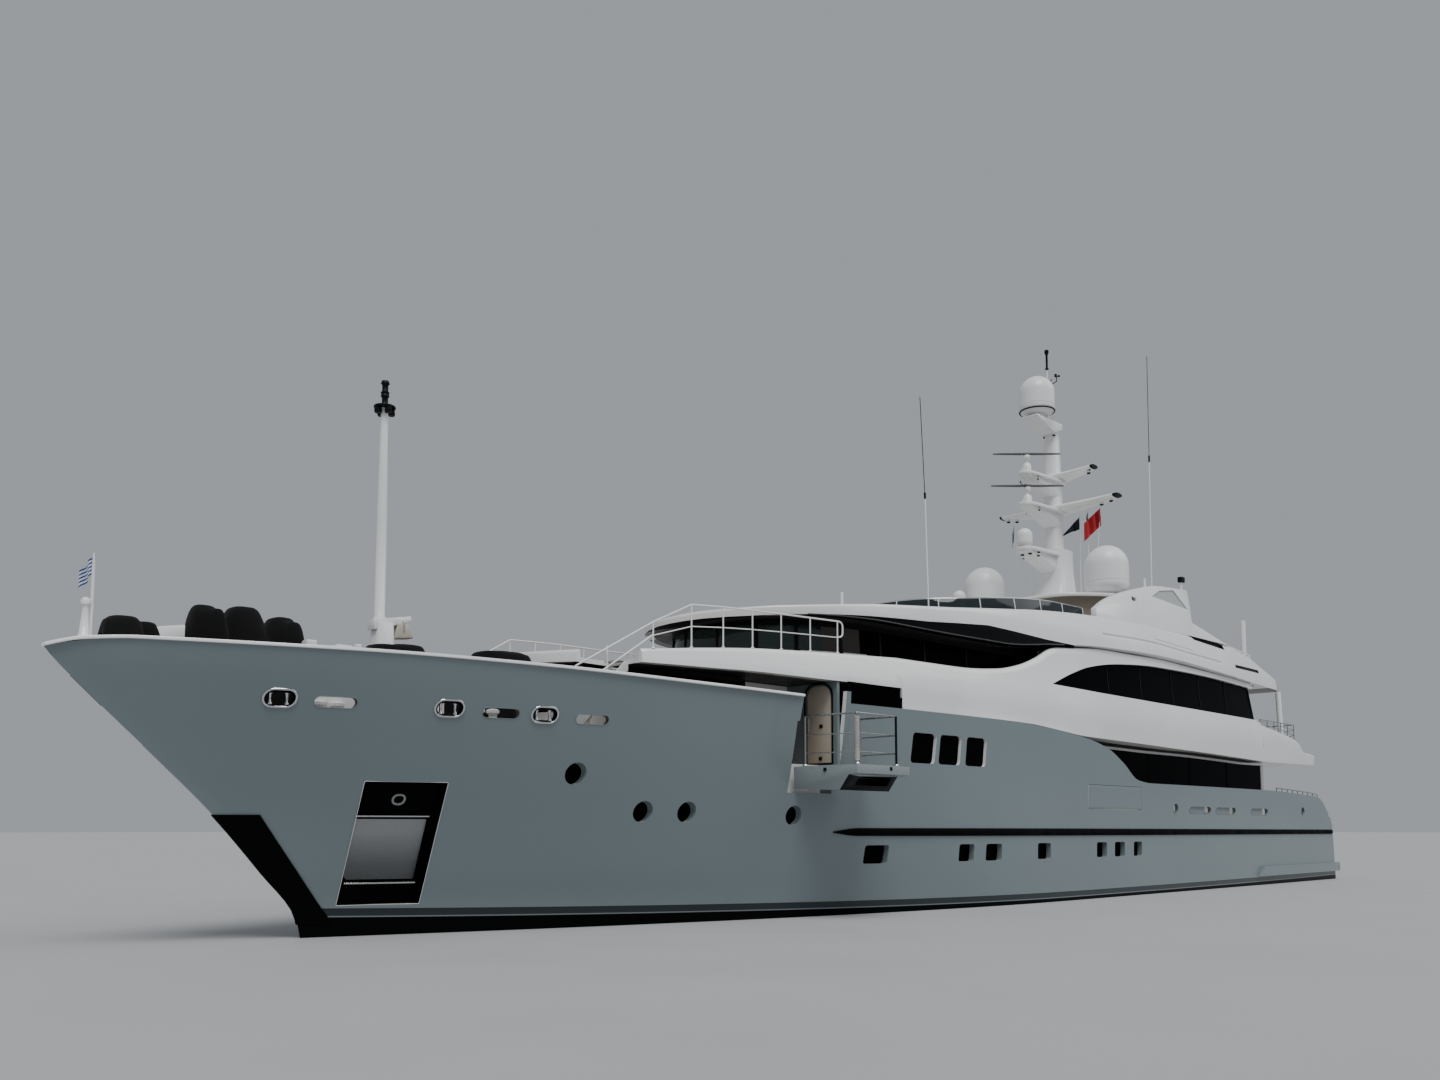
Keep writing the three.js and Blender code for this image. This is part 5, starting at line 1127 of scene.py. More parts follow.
# %% Deck mouldings
UPPER_ROWS = [
    (-25.2, 3.2, 5.3, 5.54, 5.54, 5.3), (-25.05, 3.85, 5.24, 5.6, 5.6, 5.24), (-24.75, 4.2, 5.2, 5.63, 5.63, 5.2),
    (-24.7, 4.22, 5.2, 5.64, 5.45, 5.2), (-23.1, 4.32, 5.18, 5.74, 5.45, 5.18), (-22.4, 4.36, 5.17, 6.1, 5.45, 5.17),
    (-21.4, 4.4, 5.15, 6.3, 5.45, 5.15), (-18.02, 4.5, 5.11, 6.66, 5.45, 5.11), (-18.0, 4.5, 5.11, 8.424, 5.45, 5.11),
    (-15.2, 4.56, 5.16, 8.498, 5.5, 5.16), (-11.8, 4.6, 5.22, 8.557, 5.5, 5.2), (-9.5, 4.62, 5.25, 8.598, 5.5, 5.2),
    (-7.2, 4.63, 5.29, 8.548, 5.5, 5.22), (-4.9, 4.64, 5.32, 8.498, 5.5, 5.25), (-2.9, 4.65, 5.35, 8.33, 5.6, 5.3),
    (-1.6, 4.65, 5.43, 8.2, 5.65, 5.35), (-0.6, 4.65, 5.5, 7.8, 5.7, 5.4), (0.6, 4.65, 5.56, 7.42, 5.75, 5.45),
    (2.0, 4.65, 5.57, 7.16, 5.75, 5.5), (4.0, 4.62, 5.57, 7.02, 5.75, 5.5), (6.9, 4.55, 5.57, 7.0, 5.75, 5.5),
    (6.95, 4.568, 6.14, 7.0, 6.26, 6.14), (9.66, 4.38, 6.14, 6.88, 6.26, 6.14), (12.08, 4.12, 6.16, 6.76, 6.26, 6.16),
    (13.9, 3.92, 6.13, 6.6, 6.26, 6.13), (15.0, 3.62, 6.14, 6.5, 6.26, 6.14), (15.6, 3.28, 6.16, 6.47, 6.27, 6.16),
    (16.1, 2.7, 6.17, 6.47, 6.28, 6.17), (16.6, 1.85, 6.19, 6.47, 6.28, 6.19), (17.05, 0.9, 6.2, 6.47, 6.46, 6.2),
    (17.25, 0.2, 6.22, 6.45, 6.45, 6.22),
]
SUN_ROWS = [
    (-21.6, 3.2, 8.4, 8.74, 8.74, 8.4), (-21.45, 3.8, 8.36, 8.8, 8.8, 8.36), (-21.2, 4.02, 8.35, 8.86, 8.86, 8.35),
    (-21.1, 4.05, 8.35, 8.88, 8.78, 8.35), (-19.5, 4.2, 8.4, 9.24, 8.78, 8.4), (-17.9, 4.3, 8.43, 9.64, 8.78, 8.43),
    (-15.2, 4.38, 8.53, 9.86, 8.8, 8.5), (-9.5, 4.42, 8.68, 9.82, 8.85, 8.6), (-4.9, 4.4, 8.56, 9.68, 8.85, 8.5),
    (-1.7, 4.36, 8.3, 9.46, 8.85, 8.25), (1.4, 4.3, 8.02, 9.12, 8.8, 8.0), (4.0, 4.2, 8.01, 8.83, 8.78, 8.0),
    (5.6, 4.14, 8.02, 8.67, 8.77, 8.02), (7.2, 4.0, 8.05, 8.52, 8.74, 8.05), (8.33, 3.72, 8.06, 8.41, 8.66, 8.06),
    (9.48, 3.1, 8.07, 8.32, 8.52, 8.07), (10.2, 2.45, 8.03, 8.28, 8.42, 8.03), (10.75, 1.65, 7.98, 8.23, 8.33, 7.98),
    (11.05, 0.9, 7.92, 8.2, 8.24, 7.92), (11.15, 0.25, 7.88, 8.17, 8.18, 7.88),
]
LEAN = [
    (5.1, -0.06), (5.6, 0), (6.1, 0.02), (6.5, -0.03), (7.0, -0.14), (7.8, -0.3), (8.7, -0.42), (9.3, -0.5),
    (9.9, -0.62),
]
SUN_LEAN = [(7.8, -0.04), (8.3, 0.06), (8.8, 0.02), (9.3, -0.1), (9.9, -0.3)]
print("sections of the upper deck and the sun deck:", len(UPPER_ROWS), len(SUN_ROWS))

# %% [markdown]
# The rows only say where the moulding is at a few sections. A class smooths each column into a line,
# starts a new line where the moulding jumps, and can then give a section anywhere along the deck.

# %% Loft the deck mouldings
class Deck:
    """Smooth lines through a deck's rows, and the moulding lofted from them."""

    def __init__(self, rows, lean, jumps=()):
        self.rows, self.lean, self.jumps = rows, Line(lean), jumps
        cuts = [0] + [k + 1 for k, row in enumerate(rows) if row[0] in jumps] + [len(rows)]
        self.spans = [rows[a:b] for a, b in zip(cuts, cuts[1:])]
        self.lines = [[Line([(row[0], row[c]) for row in span]) for c in range(1, 6)] for span in self.spans]

    def at(self, x):
        """Half breadth, z of the side's foot and head, of the deck and of its underside."""
        which = sum(1 for jump in self.jumps if x > jump + 1e-9)
        return [line(x) for line in self.lines[which]]

    def y(self, x, z):
        half, low = self.at(x)[:2]
        return max(0.12, half + self.lean(z) - self.lean(low))

    def crest(self, x):
        return self.y(x, self.at(x)[2])

    def xs(self, pitch=0.25):
        found = []
        for span in self.spans:
            for a, b in zip(span, span[1:]):
                found += spread(a[0], b[0], max(2, round((b[0] - a[0]) / pitch) + 1))[:-1]
            found.append(span[-1][0])
        return found

    def section(self, x, thick=0.13, levels=14):
        half, low, high, floor_z, under = self.at(x)
        round_off = min(thick / 2, (high - low) / 3)
        side = [(0.03, under), (half * 0.5, under), (max(0.06, half - 0.3), under)]
        for k in range(levels + 1):
            z = mix(low, high - round_off, k / levels)
            side.append((self.y(x, z), z))
        top, rim = self.y(x, high), max(0.09, self.y(x, high) - thick)
        for k in range(1, 6):
            a = pi / 2 * k / 5
            side.append((mix(top - round_off, top, cos(a)), high - round_off + round_off * sin(a)))
        side.append((max(rim + 0.01, top - thick * 0.8), high))
        for k in range(9):
            share = 1 - k / 8
            y = max(0.03, (rim - 0.01) * share)
            z = floor_z if floor_z <= high else high + (floor_z - high) * (1 - share**2)
            side.append((y, z))
        side = [(x, a, b) for a, b in side]
        return side + [(a, -b, c) for a, b, c in reversed(side)]

    def loft(self):
        return lofted([self.section(x) for x in self.xs()])


UPPER = Deck(UPPER_ROWS, LEAN, (-18.02, 6.9))
SUN = Deck(SUN_ROWS, SUN_LEAN)
upper = piece("upper_deck_moulding", UPPER.loft())
sun_deck = piece("sun_deck_moulding", SUN.loft())
print("decks:", len(upper.data.polygons), len(sun_deck.data.polygons), "faces")

# %% [markdown]
# The arched saloon window is one sweeping opening. Its outline is smoothed from the rows, and the
# stairs from the foredeck come up through a notch in the walkway's front.

# %% Cut the decks
ARCH_TOP = Line([
    (-18.3, 8.19), (-12.6, 8.31), (-9.14, 8.27), (-6.04, 8.08), (-3.8, 7.76), (-2.4, 7.38), (-1.1, 6.94)
])
arch_window = [(x, ARCH_TOP(x)) for x in spread(-18.3, -1.1, 60)]
arch_window += [(-4, 6.9), (-10, 6.86), (-18.3, 6.82)]
after_end = [(-18.6, 8.6), (-18.03, 8.6), (-17.7, 6.74), (-18.6, 6.74)]
carve(
    upper,
    cutter("arched window", both_sides(side_view(arch_window, 3.2, 6))),
    cutter("raked after end", both_sides(side_view(after_end, 3.2, 6))),
    cutter("stair head", both_sides(blocks((15.36, 18, 2.27, 5, 5.5, 7)))),
)


def side_groove(name, deck, points, radius):
    """Tubes that follow a deck's side, to cut a groove into it."""
    runs = [[(x, deck.y(x, z) + 0.4 * radius, z) for x, z in points]]
    made = tubes(name, mirror_runs(runs), radius, PAINTED_SHADE, sides=8)
    made.parent = None
    return made


def line_of(points, count):
    path = Line(points)
    return [(x, path(x)) for x in spread(points[0][0], points[-1][0], count)]


crest_slot = rounded([(-12.3, 9.838), (-12.65, 9.7), (-15.5, 9.6), (-15.45, 9.8)], 0.02)
carve(
    sun_deck,
    side_groove("long groove", SUN, line_of([(-14.7, 8.98), (-11.9, 9.04), (-8.5, 9.13), (-4.9, 9.02)], 30), 0.08),
    side_groove("short groove", SUN, line_of([(-12.1, 9.2), (-9.0, 9.3)], 10), 0.045),
    side_groove("vent slot", SUN, line_of([(-18.8, 9.0), (-16.1, 8.98)], 10), 0.085),
    cutter("crest slots", both_sides(side_view(crest_slot, 3.99, 5))),
)
for made, deck, nodes in ((upper, UPPER, ["upper_deck"]), (sun_deck, SUN, ["sun_deck"])):
    def on_deck(face, deck=deck):
        x, y, z = spot_of(face)
        half, low, high, floor_z, under = deck.at(x)
        if face.normal.z > 0.9 and abs(z - floor_z) < 0.02 and floor_z < high:
            return 1
        # Undersides of the decks forward of their after ends get painted shade.
        if face.normal.z < -0.8 and abs(z - under) < 0.03 and x > -19 and abs(y) < half - 0.2:
            return 3
        inset = deck.y(x, z) - abs(y)
        in_groove = x < -15.5 and low + 0.1 < z < high - 0.2 and 0.012 < inset < 0.12
        in_slot = -15.6 < x < -12.2 and 9.58 < z < 9.85 and abs(y) > 3.9 and inset > 0.012
        return 2 if deck is SUN and (in_groove or in_slot) else 0

    done(
        made, [BROW_PAINT_AND_SHADE if deck is SUN else WHITE, TEAK, DARK, SOFFIT_SHADE], stands_for=nodes, angle=35,
        choose=on_deck,
    )
# A dark tube along the foot of the sun deck's side is a painted shadow line under the brow.
brow_shade_runs = [[(x, SUN.y(x, SUN.at(x)[1]) + 0.004, SUN.at(x)[1] + 0.01) for x in spread(-2.2, 9.3, 40)]]
tubes("brow_trim", mirror_runs(brow_shade_runs), 0.018, PAINTED_SHADE, sides=8)

# %% [markdown]
# Deckhouses are walls that follow a plan line. The line is drawn for the port half from aft to fore,
# smoothed where it curves, and mirrored, so both halves match exactly.

# %% Walls along a plan line
def smooth_plan(points, parts=4):
    """A Catmull-Rom line through points of x, y."""
    pts = [Vector(p) for p in points]
    pts = [2 * pts[0] - pts[1], *pts, 2 * pts[-1] - pts[-2]]
    found = []
    for k in range(1, len(pts) - 2):
        p0, p1, p2, p3 = pts[k - 1 : k + 3]
        for i in range(parts):
            t = i / parts
            found.append(tuple(0.5 * (
                2 * p1 + (p2 - p0) * t + (2 * p0 - 5 * p1 + 4 * p2 - p3) * t**2 + (3 * p1 - p0 - 3 * p2 + p3) * t**3
            )))
    return found + [tuple(pts[-2])]


def mirror_plan(rows):
    return rows + [(r[0], -r[1], *r[2:]) for r in reversed(rows) if r[1] > 1e-6]


def wall(rows, thick, lean=0.0, closed=False, skip=0.0, bow=0.0, levels=1):
    """Rows of x, y, z of foot, z of head, from port aft round the bow to starboard aft."""
    n, rings = len(rows), []
    for i, (x, y, low, high) in enumerate(rows):
        before = rows[i - 1] if closed or i else rows[0]
        after = rows[(i + 1) % n] if closed or i < n - 1 else rows[-1]
        a, b = Vector((x - before[0], y - before[1])), Vector((after[0] - x, after[1] - y))
        a, b = (a if a.length > 1e-9 else b).normalized(), (b if b.length > 1e-9 else a).normalized()
        normal = (a + b).normalized()
        normal = Vector((-normal.y, normal.x))
        corner = max(0.5, normal.dot(Vector((-b.y, b.x))))
        ring = []
        for off, ts in ((0.0, spread(0, 1, levels + 1)), (thick, spread(1, 0, levels + 1))):
            for t in ts:
                move = (skip + lean * t + off - bow * 4 * t * (1 - t)) / corner
                ring.append((x - normal.x * move, y - normal.y * move, mix(low, high, t)))
        rings.append(ring)
    if not closed:
        return lofted(rings)
    return lofted(rings + [rings[0]], ends=False)


def upper_under(x):
    return UPPER.at(x)[4] - 0.002


def sun_under(x):
    return SUN.at(x)[4] - 0.002


# %% [markdown]
# The main deckhouse aft is nearly all glass: a low white sill, a continuous dark band up to the
# overhang, slim dark mullions, and a white pillar at each end.

# %% Main deckhouse
house_xs = spread(-20.4, -1.2, 60)
house_side = [(x, 3.6) for x in house_xs[1:-1]]
house_plan = [(-20.4, 0), (-20.4, 3.2), (-20.35, 3.45), (-20.2, 3.6), *house_side, (-1.2, 3.6), (-1.2, 0)]
sill_rows = mirror_plan([(x, y, 2.851, 3.3) for x, y in house_plan])
head_rows = mirror_plan([(x, y, upper_under(min(x, -1.6)) - 0.09, upper_under(min(x, -1.6))) for x, y in house_plan])
house_parts = [wall(sill_rows, 0.12, closed=True), wall(head_rows, 0.12, closed=True)]
for x0, x1 in ((-20.38, -20.12), (-2.5, -1.25)):
    house_parts.append(both_sides(blocks((x0, x1, 3.48, 3.6, 3.3, upper_under(x1) - 0.05))))
house = piece("main_house_walls", house_parts[0])
carve(house, *[piece("part", part) for part in house_parts[1:]], how="UNION")
carve(house, cutter("after doorway", blocks((-21, -20, -2.3, 2.3, 2.97, 5.0))))
done(house, [WHITE, PAINTED_SHADE], stands_for=["main_house"], angle=30)
glass_rows = mirror_plan([(x, y, 2.87, upper_under(min(x, -1.6)) - 0.01) for x, y in house_plan])
done(
    piece("main_house_panes", wall(glass_rows, 0.03, closed=True, skip=0.035)), GLASS,
    stands_for=["main_house_glass"],
)
mullions = [(x - 0.03, x + 0.03, 3.562, 3.582, 3.31, upper_under(x) - 0.02) for x in (-16.6, -13.1, -9.6, -6.1)]
door_posts = [(-20.43, -20.38, y - 0.04, y + 0.04, 2.98, 4.99) for y in (0.0, 1.15, 2.27)]
made = piece("main_house_mullions", both_sides(blocks(*mullions, *door_posts)))
done(made, RUBBER)

# %% [markdown]
# Forward, the deckhouse under the walkway has the lobby's doorway each side. Its bulkhead closes the
# recess behind the side platform, and a cream door with black seals stands in it.

# %% Forward deckhouse and lobby
fore_curve = smooth_plan(
    [(11.65, 3.15), (12.6, 3.2), (13.9, 3.02), (14.9, 2.55), (15.65, 1.85), (16.2, 0.95), (16.36, 0.0)], 5
)
fore_plan = [(9.362, 0), (9.362, 2.6), (11.5, 2.6)] + [(max(x, 11.65), y) for x, y in fore_curve]
fore_rows = mirror_plan([(x, y, 3.951 if x < 11.51 else 4.452, 6.128) for x, y in fore_plan])
fore_house = piece("fore_house_walls", wall(fore_rows, 0.12, closed=True))
bulkhead = cutter("bulkheads", both_sides(blocks((9.362, 9.46, 2.55, 4.36, 3.951, 6.128))))
carve(fore_house, bulkhead, how="UNION")
band_x = [(13.25, 3.2), (15.25, 2.3), (15.95, 1.3)]
posts = together(*[
    turned([(0, 4), (0.1, 4), (0.1, 7), (0, 7)], (x, s * y, 0), 16) for x, y in band_x for s in (1, -1)
])
window_band = carve(cutter("window band", blocks((11.8, 17, -4, 4, 5.1, 6.0))), cutter("posts", posts))
carve(fore_house, window_band, cutter("doorways", both_sides(blocks((9.95, 10.95, 2, 3, 4.0, 5.95)))))


def house_finish(face):
    x, y, z = spot_of(face)
    if x < 9.6 and abs(y) > 2.5:
        return 2
    return 1 if x > 11.6 and z > 4.95 else 0


done(fore_house, [WHITE, DARK, HULL_PAINT], stands_for=["fore_house"], angle=30, choose=house_finish)
glass_plan = [(x, y, 5.0, 6.1) for x, y in fore_curve if x >= 11.75]
fore_glass = wall(mirror_plan([(11.75, 3.155, 5.0, 6.1)] + glass_plan[1:]), 0.03, skip=0.06)
done(piece("fore_house_panes", fore_glass), GLASS, stands_for=["fore_house_glass"])


def door_outline(y0, y1, z0, z1, r=0.28):
    return [(y0, z0), (y1, z0)] + [
        (y1 - r + r * cos(a), z1 - r + r * sin(a)) for a in spread(0, pi / 2, 7)
    ] + [(y0 + r - r * sin(a), z1 - r + r * cos(a)) for a in spread(0, pi / 2, 7)]


leaf = both_sides(pushed(door_outline(3.36, 4.16, 4.0, 6.04), "x", 9.462, 9.5))
recess_door = piece("lobby_recess_doors", leaf)
soften(recess_door, 0.01, 2)
done(recess_door, CREAM)
seal = [[(9.508, y, z) for y, z in door_outline(3.28, 4.23, 3.99, 6.1, 0.34)]]
tubes("lobby_door_seals", [], 0.022, RUBBER, mirror_runs(seal), 8)
handle = [[(9.51, 3.47, 4.85), (9.57, 3.47, 4.85), (9.57, 3.47, 5.2), (9.51, 3.47, 5.2)]]
tubes("lobby_door_handles", mirror_runs(handle), 0.016, CHROME, bend=0.03)
for side, sign in SIDES:
    leaf = blocks((9.9, 11.0, min(sign * 2.4, sign * 2.45), max(sign * 2.4, sign * 2.45), 3.964, 6.0))
    made = soften(piece(f"lobby_door_leaf_{side}", leaf), 0.012, 3)
    done(made, CREAM, f"lobby_door_{side}", [f"lobby_door_{side}"])
    grip = [[
        (10.85, sign * 2.45, 4.9), (10.85, sign * 2.5, 4.9), (10.85, sign * 2.5, 5.25), (10.85, sign * 2.45, 5.25)
    ]]
    tubes(f"lobby_grip_{side}", grip, 0.014, CHROME, bend=0.03, body=f"lobby_door_{side}")

# %% [markdown]
# Behind the cabin windows and the dark pane abreast the lobby hangs one sheet of dark glass, and
# the grey panel between pane and lobby belongs to the hull.

# %% Cabin glass
side_panes = [
    hull_patch([(x, 3.98) for x in spread(3.05, 6.85, 8)] + [(x, 5.1) for x in spread(6.85, 3.05, 8)], -0.09, 0.03),
    hull_patch([(x, 5.5) for x in spread(6.98, 9.18, 6)] + [(x, 5.858) for x in spread(9.18, 6.98, 6)], -0.122, 0.03),
    blocks((6.98, 9.18, 4.47, 4.53, 5.7, 6.137)),
]
done(
    piece("cabin_glass", both_sides(together(*side_panes))), GLASS,
    stands_for=["side_glass_port", "side_glass_stbd"],
)

# %% [markdown]
# The upper saloon's glass follows the deck's side just behind the arched opening, with slim dark
# mullions. A white bulkhead with sliding doors closes it aft.

# %% Upper saloon
saloon_rings = []
for x in spread(-18.15, -0.95, 70):
    top = min(8.34, UPPER.at(x)[2] - 0.05)
    rake = 0.2 * max(0.0, 1 - (x + 18.15) / 3)
    ring = [(x + rake * (8.4 - z), UPPER.y(x, z) - 0.155, z) for z in spread(6.7, top, 5)]
    ring += [(x + rake * (8.4 - z), UPPER.y(x, z) - 0.19, z) for z in spread(top, 6.7, 5)]
    saloon_rings.append(ring)
saloon = together(both_sides(lofted(saloon_rings)), blocks((-17.57, -17.53, -2.5, 2.5, 5.58, 8.12)))
done(piece("saloon_panes", saloon), GLASS, stands_for=["saloon_glass"])
mullion_runs = [
    [(x - 0.22 * (z - 6.87), UPPER.y(x, z) - 0.147, z) for z in spread(6.87, ARCH_TOP(x) - 0.02, 5)]
    for x in (-5.1, -7.55, -10.1, -12.5, -15.0)
]
tubes("saloon_mullions", mirror_runs(mullion_runs), 0.018, DARK, sides=8)
wall_half = UPPER.crest(-17.7) - 0.16
saloon_wall = piece("saloon_bulkhead", blocks((-17.7, -17.58, -wall_half, wall_half, 5.459, 8.42)))
carve(saloon_wall, cutter("doorway", blocks((-18, -17, -2.5, 2.5, 5.6, 8.1))))
done(soften(saloon_wall, 0.01, 2), WHITE, stands_for=["saloon_aft_wall"])
done(
    piece(
        "saloon_door_posts",
        both_sides(blocks(*[(-17.62, -17.575, y - 0.035, y + 0.035, 5.6, 8.1) for y in (0.0, 1.25, 2.465)])),
    ),
    RUBBER,
)

# %% [markdown]
# ## Wheelhouse and sun deck
# The wheelhouse front is a curved band of raked glass under a long visor. Behind the glass one
# sees a little of the bridge, so it has a console, chairs and a bulkhead behind them.

# %% Wheelhouse
wheel_fore = smooth_plan(
    [(6.9, 3.36), (7.9, 3.1), (8.9, 2.62), (9.65, 1.98), (10.15, 1.2), (10.38, 0.45), (10.42, 0.0)], 5
)
wheel_side = [(x, 3.45) for x in spread(-2.2, 5.6, 24)]
wheel_plan = [(-2.6, 0), (-2.6, 3.3), (-2.5, 3.45), *wheel_side, (6.3, 3.42), *wheel_fore]


def wheel_rows(low=None, high=None):
    rows = []
    for x, y in wheel_plan:
        foot = BRIDGE_Z if x > 6.9 else UPPER.at(min(max(x, -2.2), 6.85))[3] + 0.002
        head = sun_under(x) - (0.025 if x < -1.9 else 0)
        rows.append((x, y, low or foot, high or head))
    return mirror_plan(rows)


wheelhouse = piece("wheelhouse_walls", wall(wheel_rows(), 0.12, lean=0.1, closed=True))
post_spots = [(-0.4, 3.4), (2.0, 3.4), (4.2, 3.4), (6.3, 3.37), (7.75, 3.1), (8.95, 2.5), (9.75, 1.72), (10.2, 0.65)]
posts = together(*[
    turned([(0, 6.9), (0.05, 6.9), (0.05, 8.3), (0, 8.3)], (x, s * y, 0), 12) for x, y in post_spots for s in (1, -1)
])
band = carve(cutter("window band", blocks((-2.2, 12, -5, 5, 7.2, 7.9))), cutter("posts", posts))
carve(wheelhouse, band)


def wheel_finish(face):
    z = face.center.z / HALF
    return 1 if z > 7.15 and face.center.x > -2.2 * HALF else 0


done(wheelhouse, [WHITE, DARK], stands_for=["wheelhouse"], angle=30, choose=wheel_finish)
glass_wall = wall(wheel_rows(), 0.03, lean=0.1, closed=True, skip=0.045)
glass = carve(
    piece("wheelhouse_panes", glass_wall), cutter("glass height", blocks((-5, 12, -5, 5, 7.1, 7.93))), how="INTERSECT"
)


def by_place(face):
    x, y = face.center.x / HALF, abs(face.center.y) / HALF
    return 2 if 7.05 < x < 8.3 and y > 2.6 else 1 if x > 8.3 else 0


done(glass, [GLASS, GREEN_GLASS, CURTAIN_GLASS], stands_for=["wheelhouse_glass"], choose=by_place)

# %% [markdown]
# The bridge inside: a console that follows the windows, two helm chairs on turned pedestals, and the
# after bulkhead that keeps the rooms behind it dark. The chairs' padding is rounded by subdivision.

# %% Bridge interior
inner = [(x - 0.55 if x > 8 else x - 0.3, y * 0.82) for x, y in wheel_fore if x > 7.6]
console_rows = mirror_plan([(x, y, BRIDGE_Z, 7.12) for x, y in inner])
console = soften(piece("bridge_console", wall(console_rows, 0.42, lean=0.08)), 0.03, 3)
done(console, [DARK, LEATHER], choose=lambda f: 1 if f.normal.z > 0.5 else 0)
done(soften(piece("bridge_bulkhead", blocks((4.2, 4.3, -3.2, 3.2, BRIDGE_Z, 7.96))), 0.01, 2), DARK)
seat_rows = [
    (-0.26, 0.24, 0.44, 0.60), (-0.24, 0.28, 0.40, 0.64), (0.22, 0.28, 0.40, 0.62), (0.30, 0.24, 0.42, 0.58),
]


def helm_chair(x, y):
    """Pedestal, seat and back."""
    seat = lofted([
        [
            (x + a, y - b, CHAIR_Z + c), (x + a, y + b, CHAIR_Z + c), (x + a, y + b, CHAIR_Z + d),
            (x + a, y - b, CHAIR_Z + d),
        ]
        for a, b, c, d in seat_rows
    ])
    back = lofted([
        [
            (x - 0.26 + lean - t, y - w, CHAIR_Z + z), (x - 0.26 + lean - t, y + w, CHAIR_Z + z),
            (x - 0.26 + lean + t, y + w, CHAIR_Z + z), (x - 0.26 + lean + t, y - w, CHAIR_Z + z),
        ]
        for z, w, t, lean in (
            (0.6, 0.25, 0.05, 0.0), (0.9, 0.28, 0.06, -0.03), (1.2, 0.27, 0.05, -0.09), (1.42, 0.18, 0.03, -0.14)
        )
    ])
    pedestal = turned([(0, 0), (0.22, 0), (0.2, 0.03), (0.05, 0.07), (0.05, 0.45), (0, 0.45)], (x, y, BRIDGE_Z), 20)
    return together(seat, back), pedestal


for number, (x, y) in enumerate(((8.3, 0.7), (8.3, -0.7))):
    padding, pedestal = helm_chair(x, y)
    chair = piece(f"helm_chair_{number + 1}", padding)
    step = chair.modifiers.new("round", "SUBSURF")
    step.levels = 2
    done(plain(chair), LEATHER)
    done(piece(f"helm_pedestal_{number + 1}", pedestal), CHROME)

# %% [markdown]
# On the sun deck a curved windscreen of smoked glass stands in a low coaming, with a polished top
# rail and slim white posts at each joint of the panes.

# %% Sun deck coaming, windscreen and its posts
screen_curve = [(-5.2, 3.5), (-4.2, 3.5)] + smooth_plan(
    [(-3.2, 3.5), (-1.4, 3.42), (0.0, 3.05), (1.1, 2.4), (1.8, 1.5), (2.1, 0.6), (2.14, 0)], 6
)
coaming_rows = mirror_plan([(x, y + 0.05, SUN.at(x)[3] - 0.05, 9.32) for x, y in screen_curve])
coaming = soften(piece("sun_coaming", wall(coaming_rows, 0.14)), 0.02, 2, 60)
done(coaming, WHITE, angle=35)
SCREEN_TOP = Line([(-5.2, 10.12), (-3.2, 10.08), (-1.4, 9.96), (0, 9.84), (1.1, 9.77), (2.14, 9.77)])
screen_rows = mirror_plan([(x, y, 9.321, SCREEN_TOP(x) - 0.02) for x, y in screen_curve])
screen = wall(screen_rows, 0.03, lean=0.1, bow=0.02, levels=4)
done(piece("windscreen_panes", screen), SMOKE_GLASS, stands_for=["sun_windscreen"])


def along(rows, pitch):
    """Points at a pitch along a plan line, with the line's direction there."""
    found, left = [], 0.0
    for a, b in zip(rows, rows[1:]):
        a, b = Vector(a[:2]), Vector(b[:2])
        length = (b - a).length
        while left < length:
            spot = a.lerp(b, left / length)
            found.append((spot, (b - a).normalized()))
            left += pitch
        left -= length
    return found


post_runs = []
for spot, way in along(screen_rows, 1.42):
    out = Vector((-way.y, way.x)) * 0.015
    lean = Vector((way.y, -way.x)) * 0.1
    low, high = spot + out, spot + out + lean
    post_runs.append([(low.x, low.y, 9.3), (high.x, high.y, SCREEN_TOP(low.x) - 0.03)])
tubes("windscreen_posts", post_runs, 0.02, WHITE, sides=8)
top_line = []
for (x, y, _, _), before, after in zip(
    screen_rows, [screen_rows[0]] + screen_rows[:-1], screen_rows[1:] + [screen_rows[-1]]
):
    way = Vector((after[0] - before[0], after[1] - before[1])).normalized()
    spot = Vector((x, y)) + Vector((way.y, -way.x)) * 0.115
    top_line.append((spot.x, spot.y, SCREEN_TOP(x) - 0.02))
tubes("windscreen_top_rail", [top_line], 0.024, CHROME)
print("windscreen posts:", len(post_runs))

# %% [markdown]
# ## Arch and mast
# Two swept wings rise from the sun deck's sides and carry the hardtop. Each is a moulding with a
# soft edge, leaning inboard, with a sunk triangle aft and a dark vent forward.

# %% Wings and hardtop
WING_TOP = Line([(-16.1, 9.84), (-15.15, 10.02), (-14.4, 10.19), (-13.6, 10.35), (-13.0, 10.48)])
WING_FORE = Line([(-13.71, 11.92), (-10.95, 11.69), (-8.47, 11.18), (-6.15, 10.49), (-5.05, 10.0)])
WING_Y, WING_THICK, LEAN_FROM = 3.86, 0.2, 9.9


def wing_lean(z):
    return 0.3 * max(0.0, z - LEAN_FROM)


def deck_seat(x):
    return SUN.at(min(max(x, -16.1), -4.9))[2] + 0.002


wing_outline = [(x, WING_FORE(x)) for x in spread(-5.05, -13.6, 30)] + [(-13.66, 11.85), (-13.4, 11.2)]
wing_outline += [(x, WING_TOP(x)) for x in spread(-13.05, -16.1, 16)]
wing_outline += [(x, deck_seat(x)) for x in spread(-16.1, -5.0, 30)]


def wing_slab(outline, outer, inner):
    """An outline of x, z pushed through the wing, between two distances from its inner face."""
    return both_sides(between(*[[(x, WING_Y + out - wing_lean(z), z) for x, z in outline] for out in (outer, inner)]))


wings = piece("arch_wings", wing_slab(wing_outline, WING_THICK, 0.0))
soften(wings, 0.035, 3, 50)


def sunk(outline, deep):
    """A cutter that sinks an outline into a wing's outer face."""
    return wing_slab(outline, 2 * WING_THICK, WING_THICK - deep)


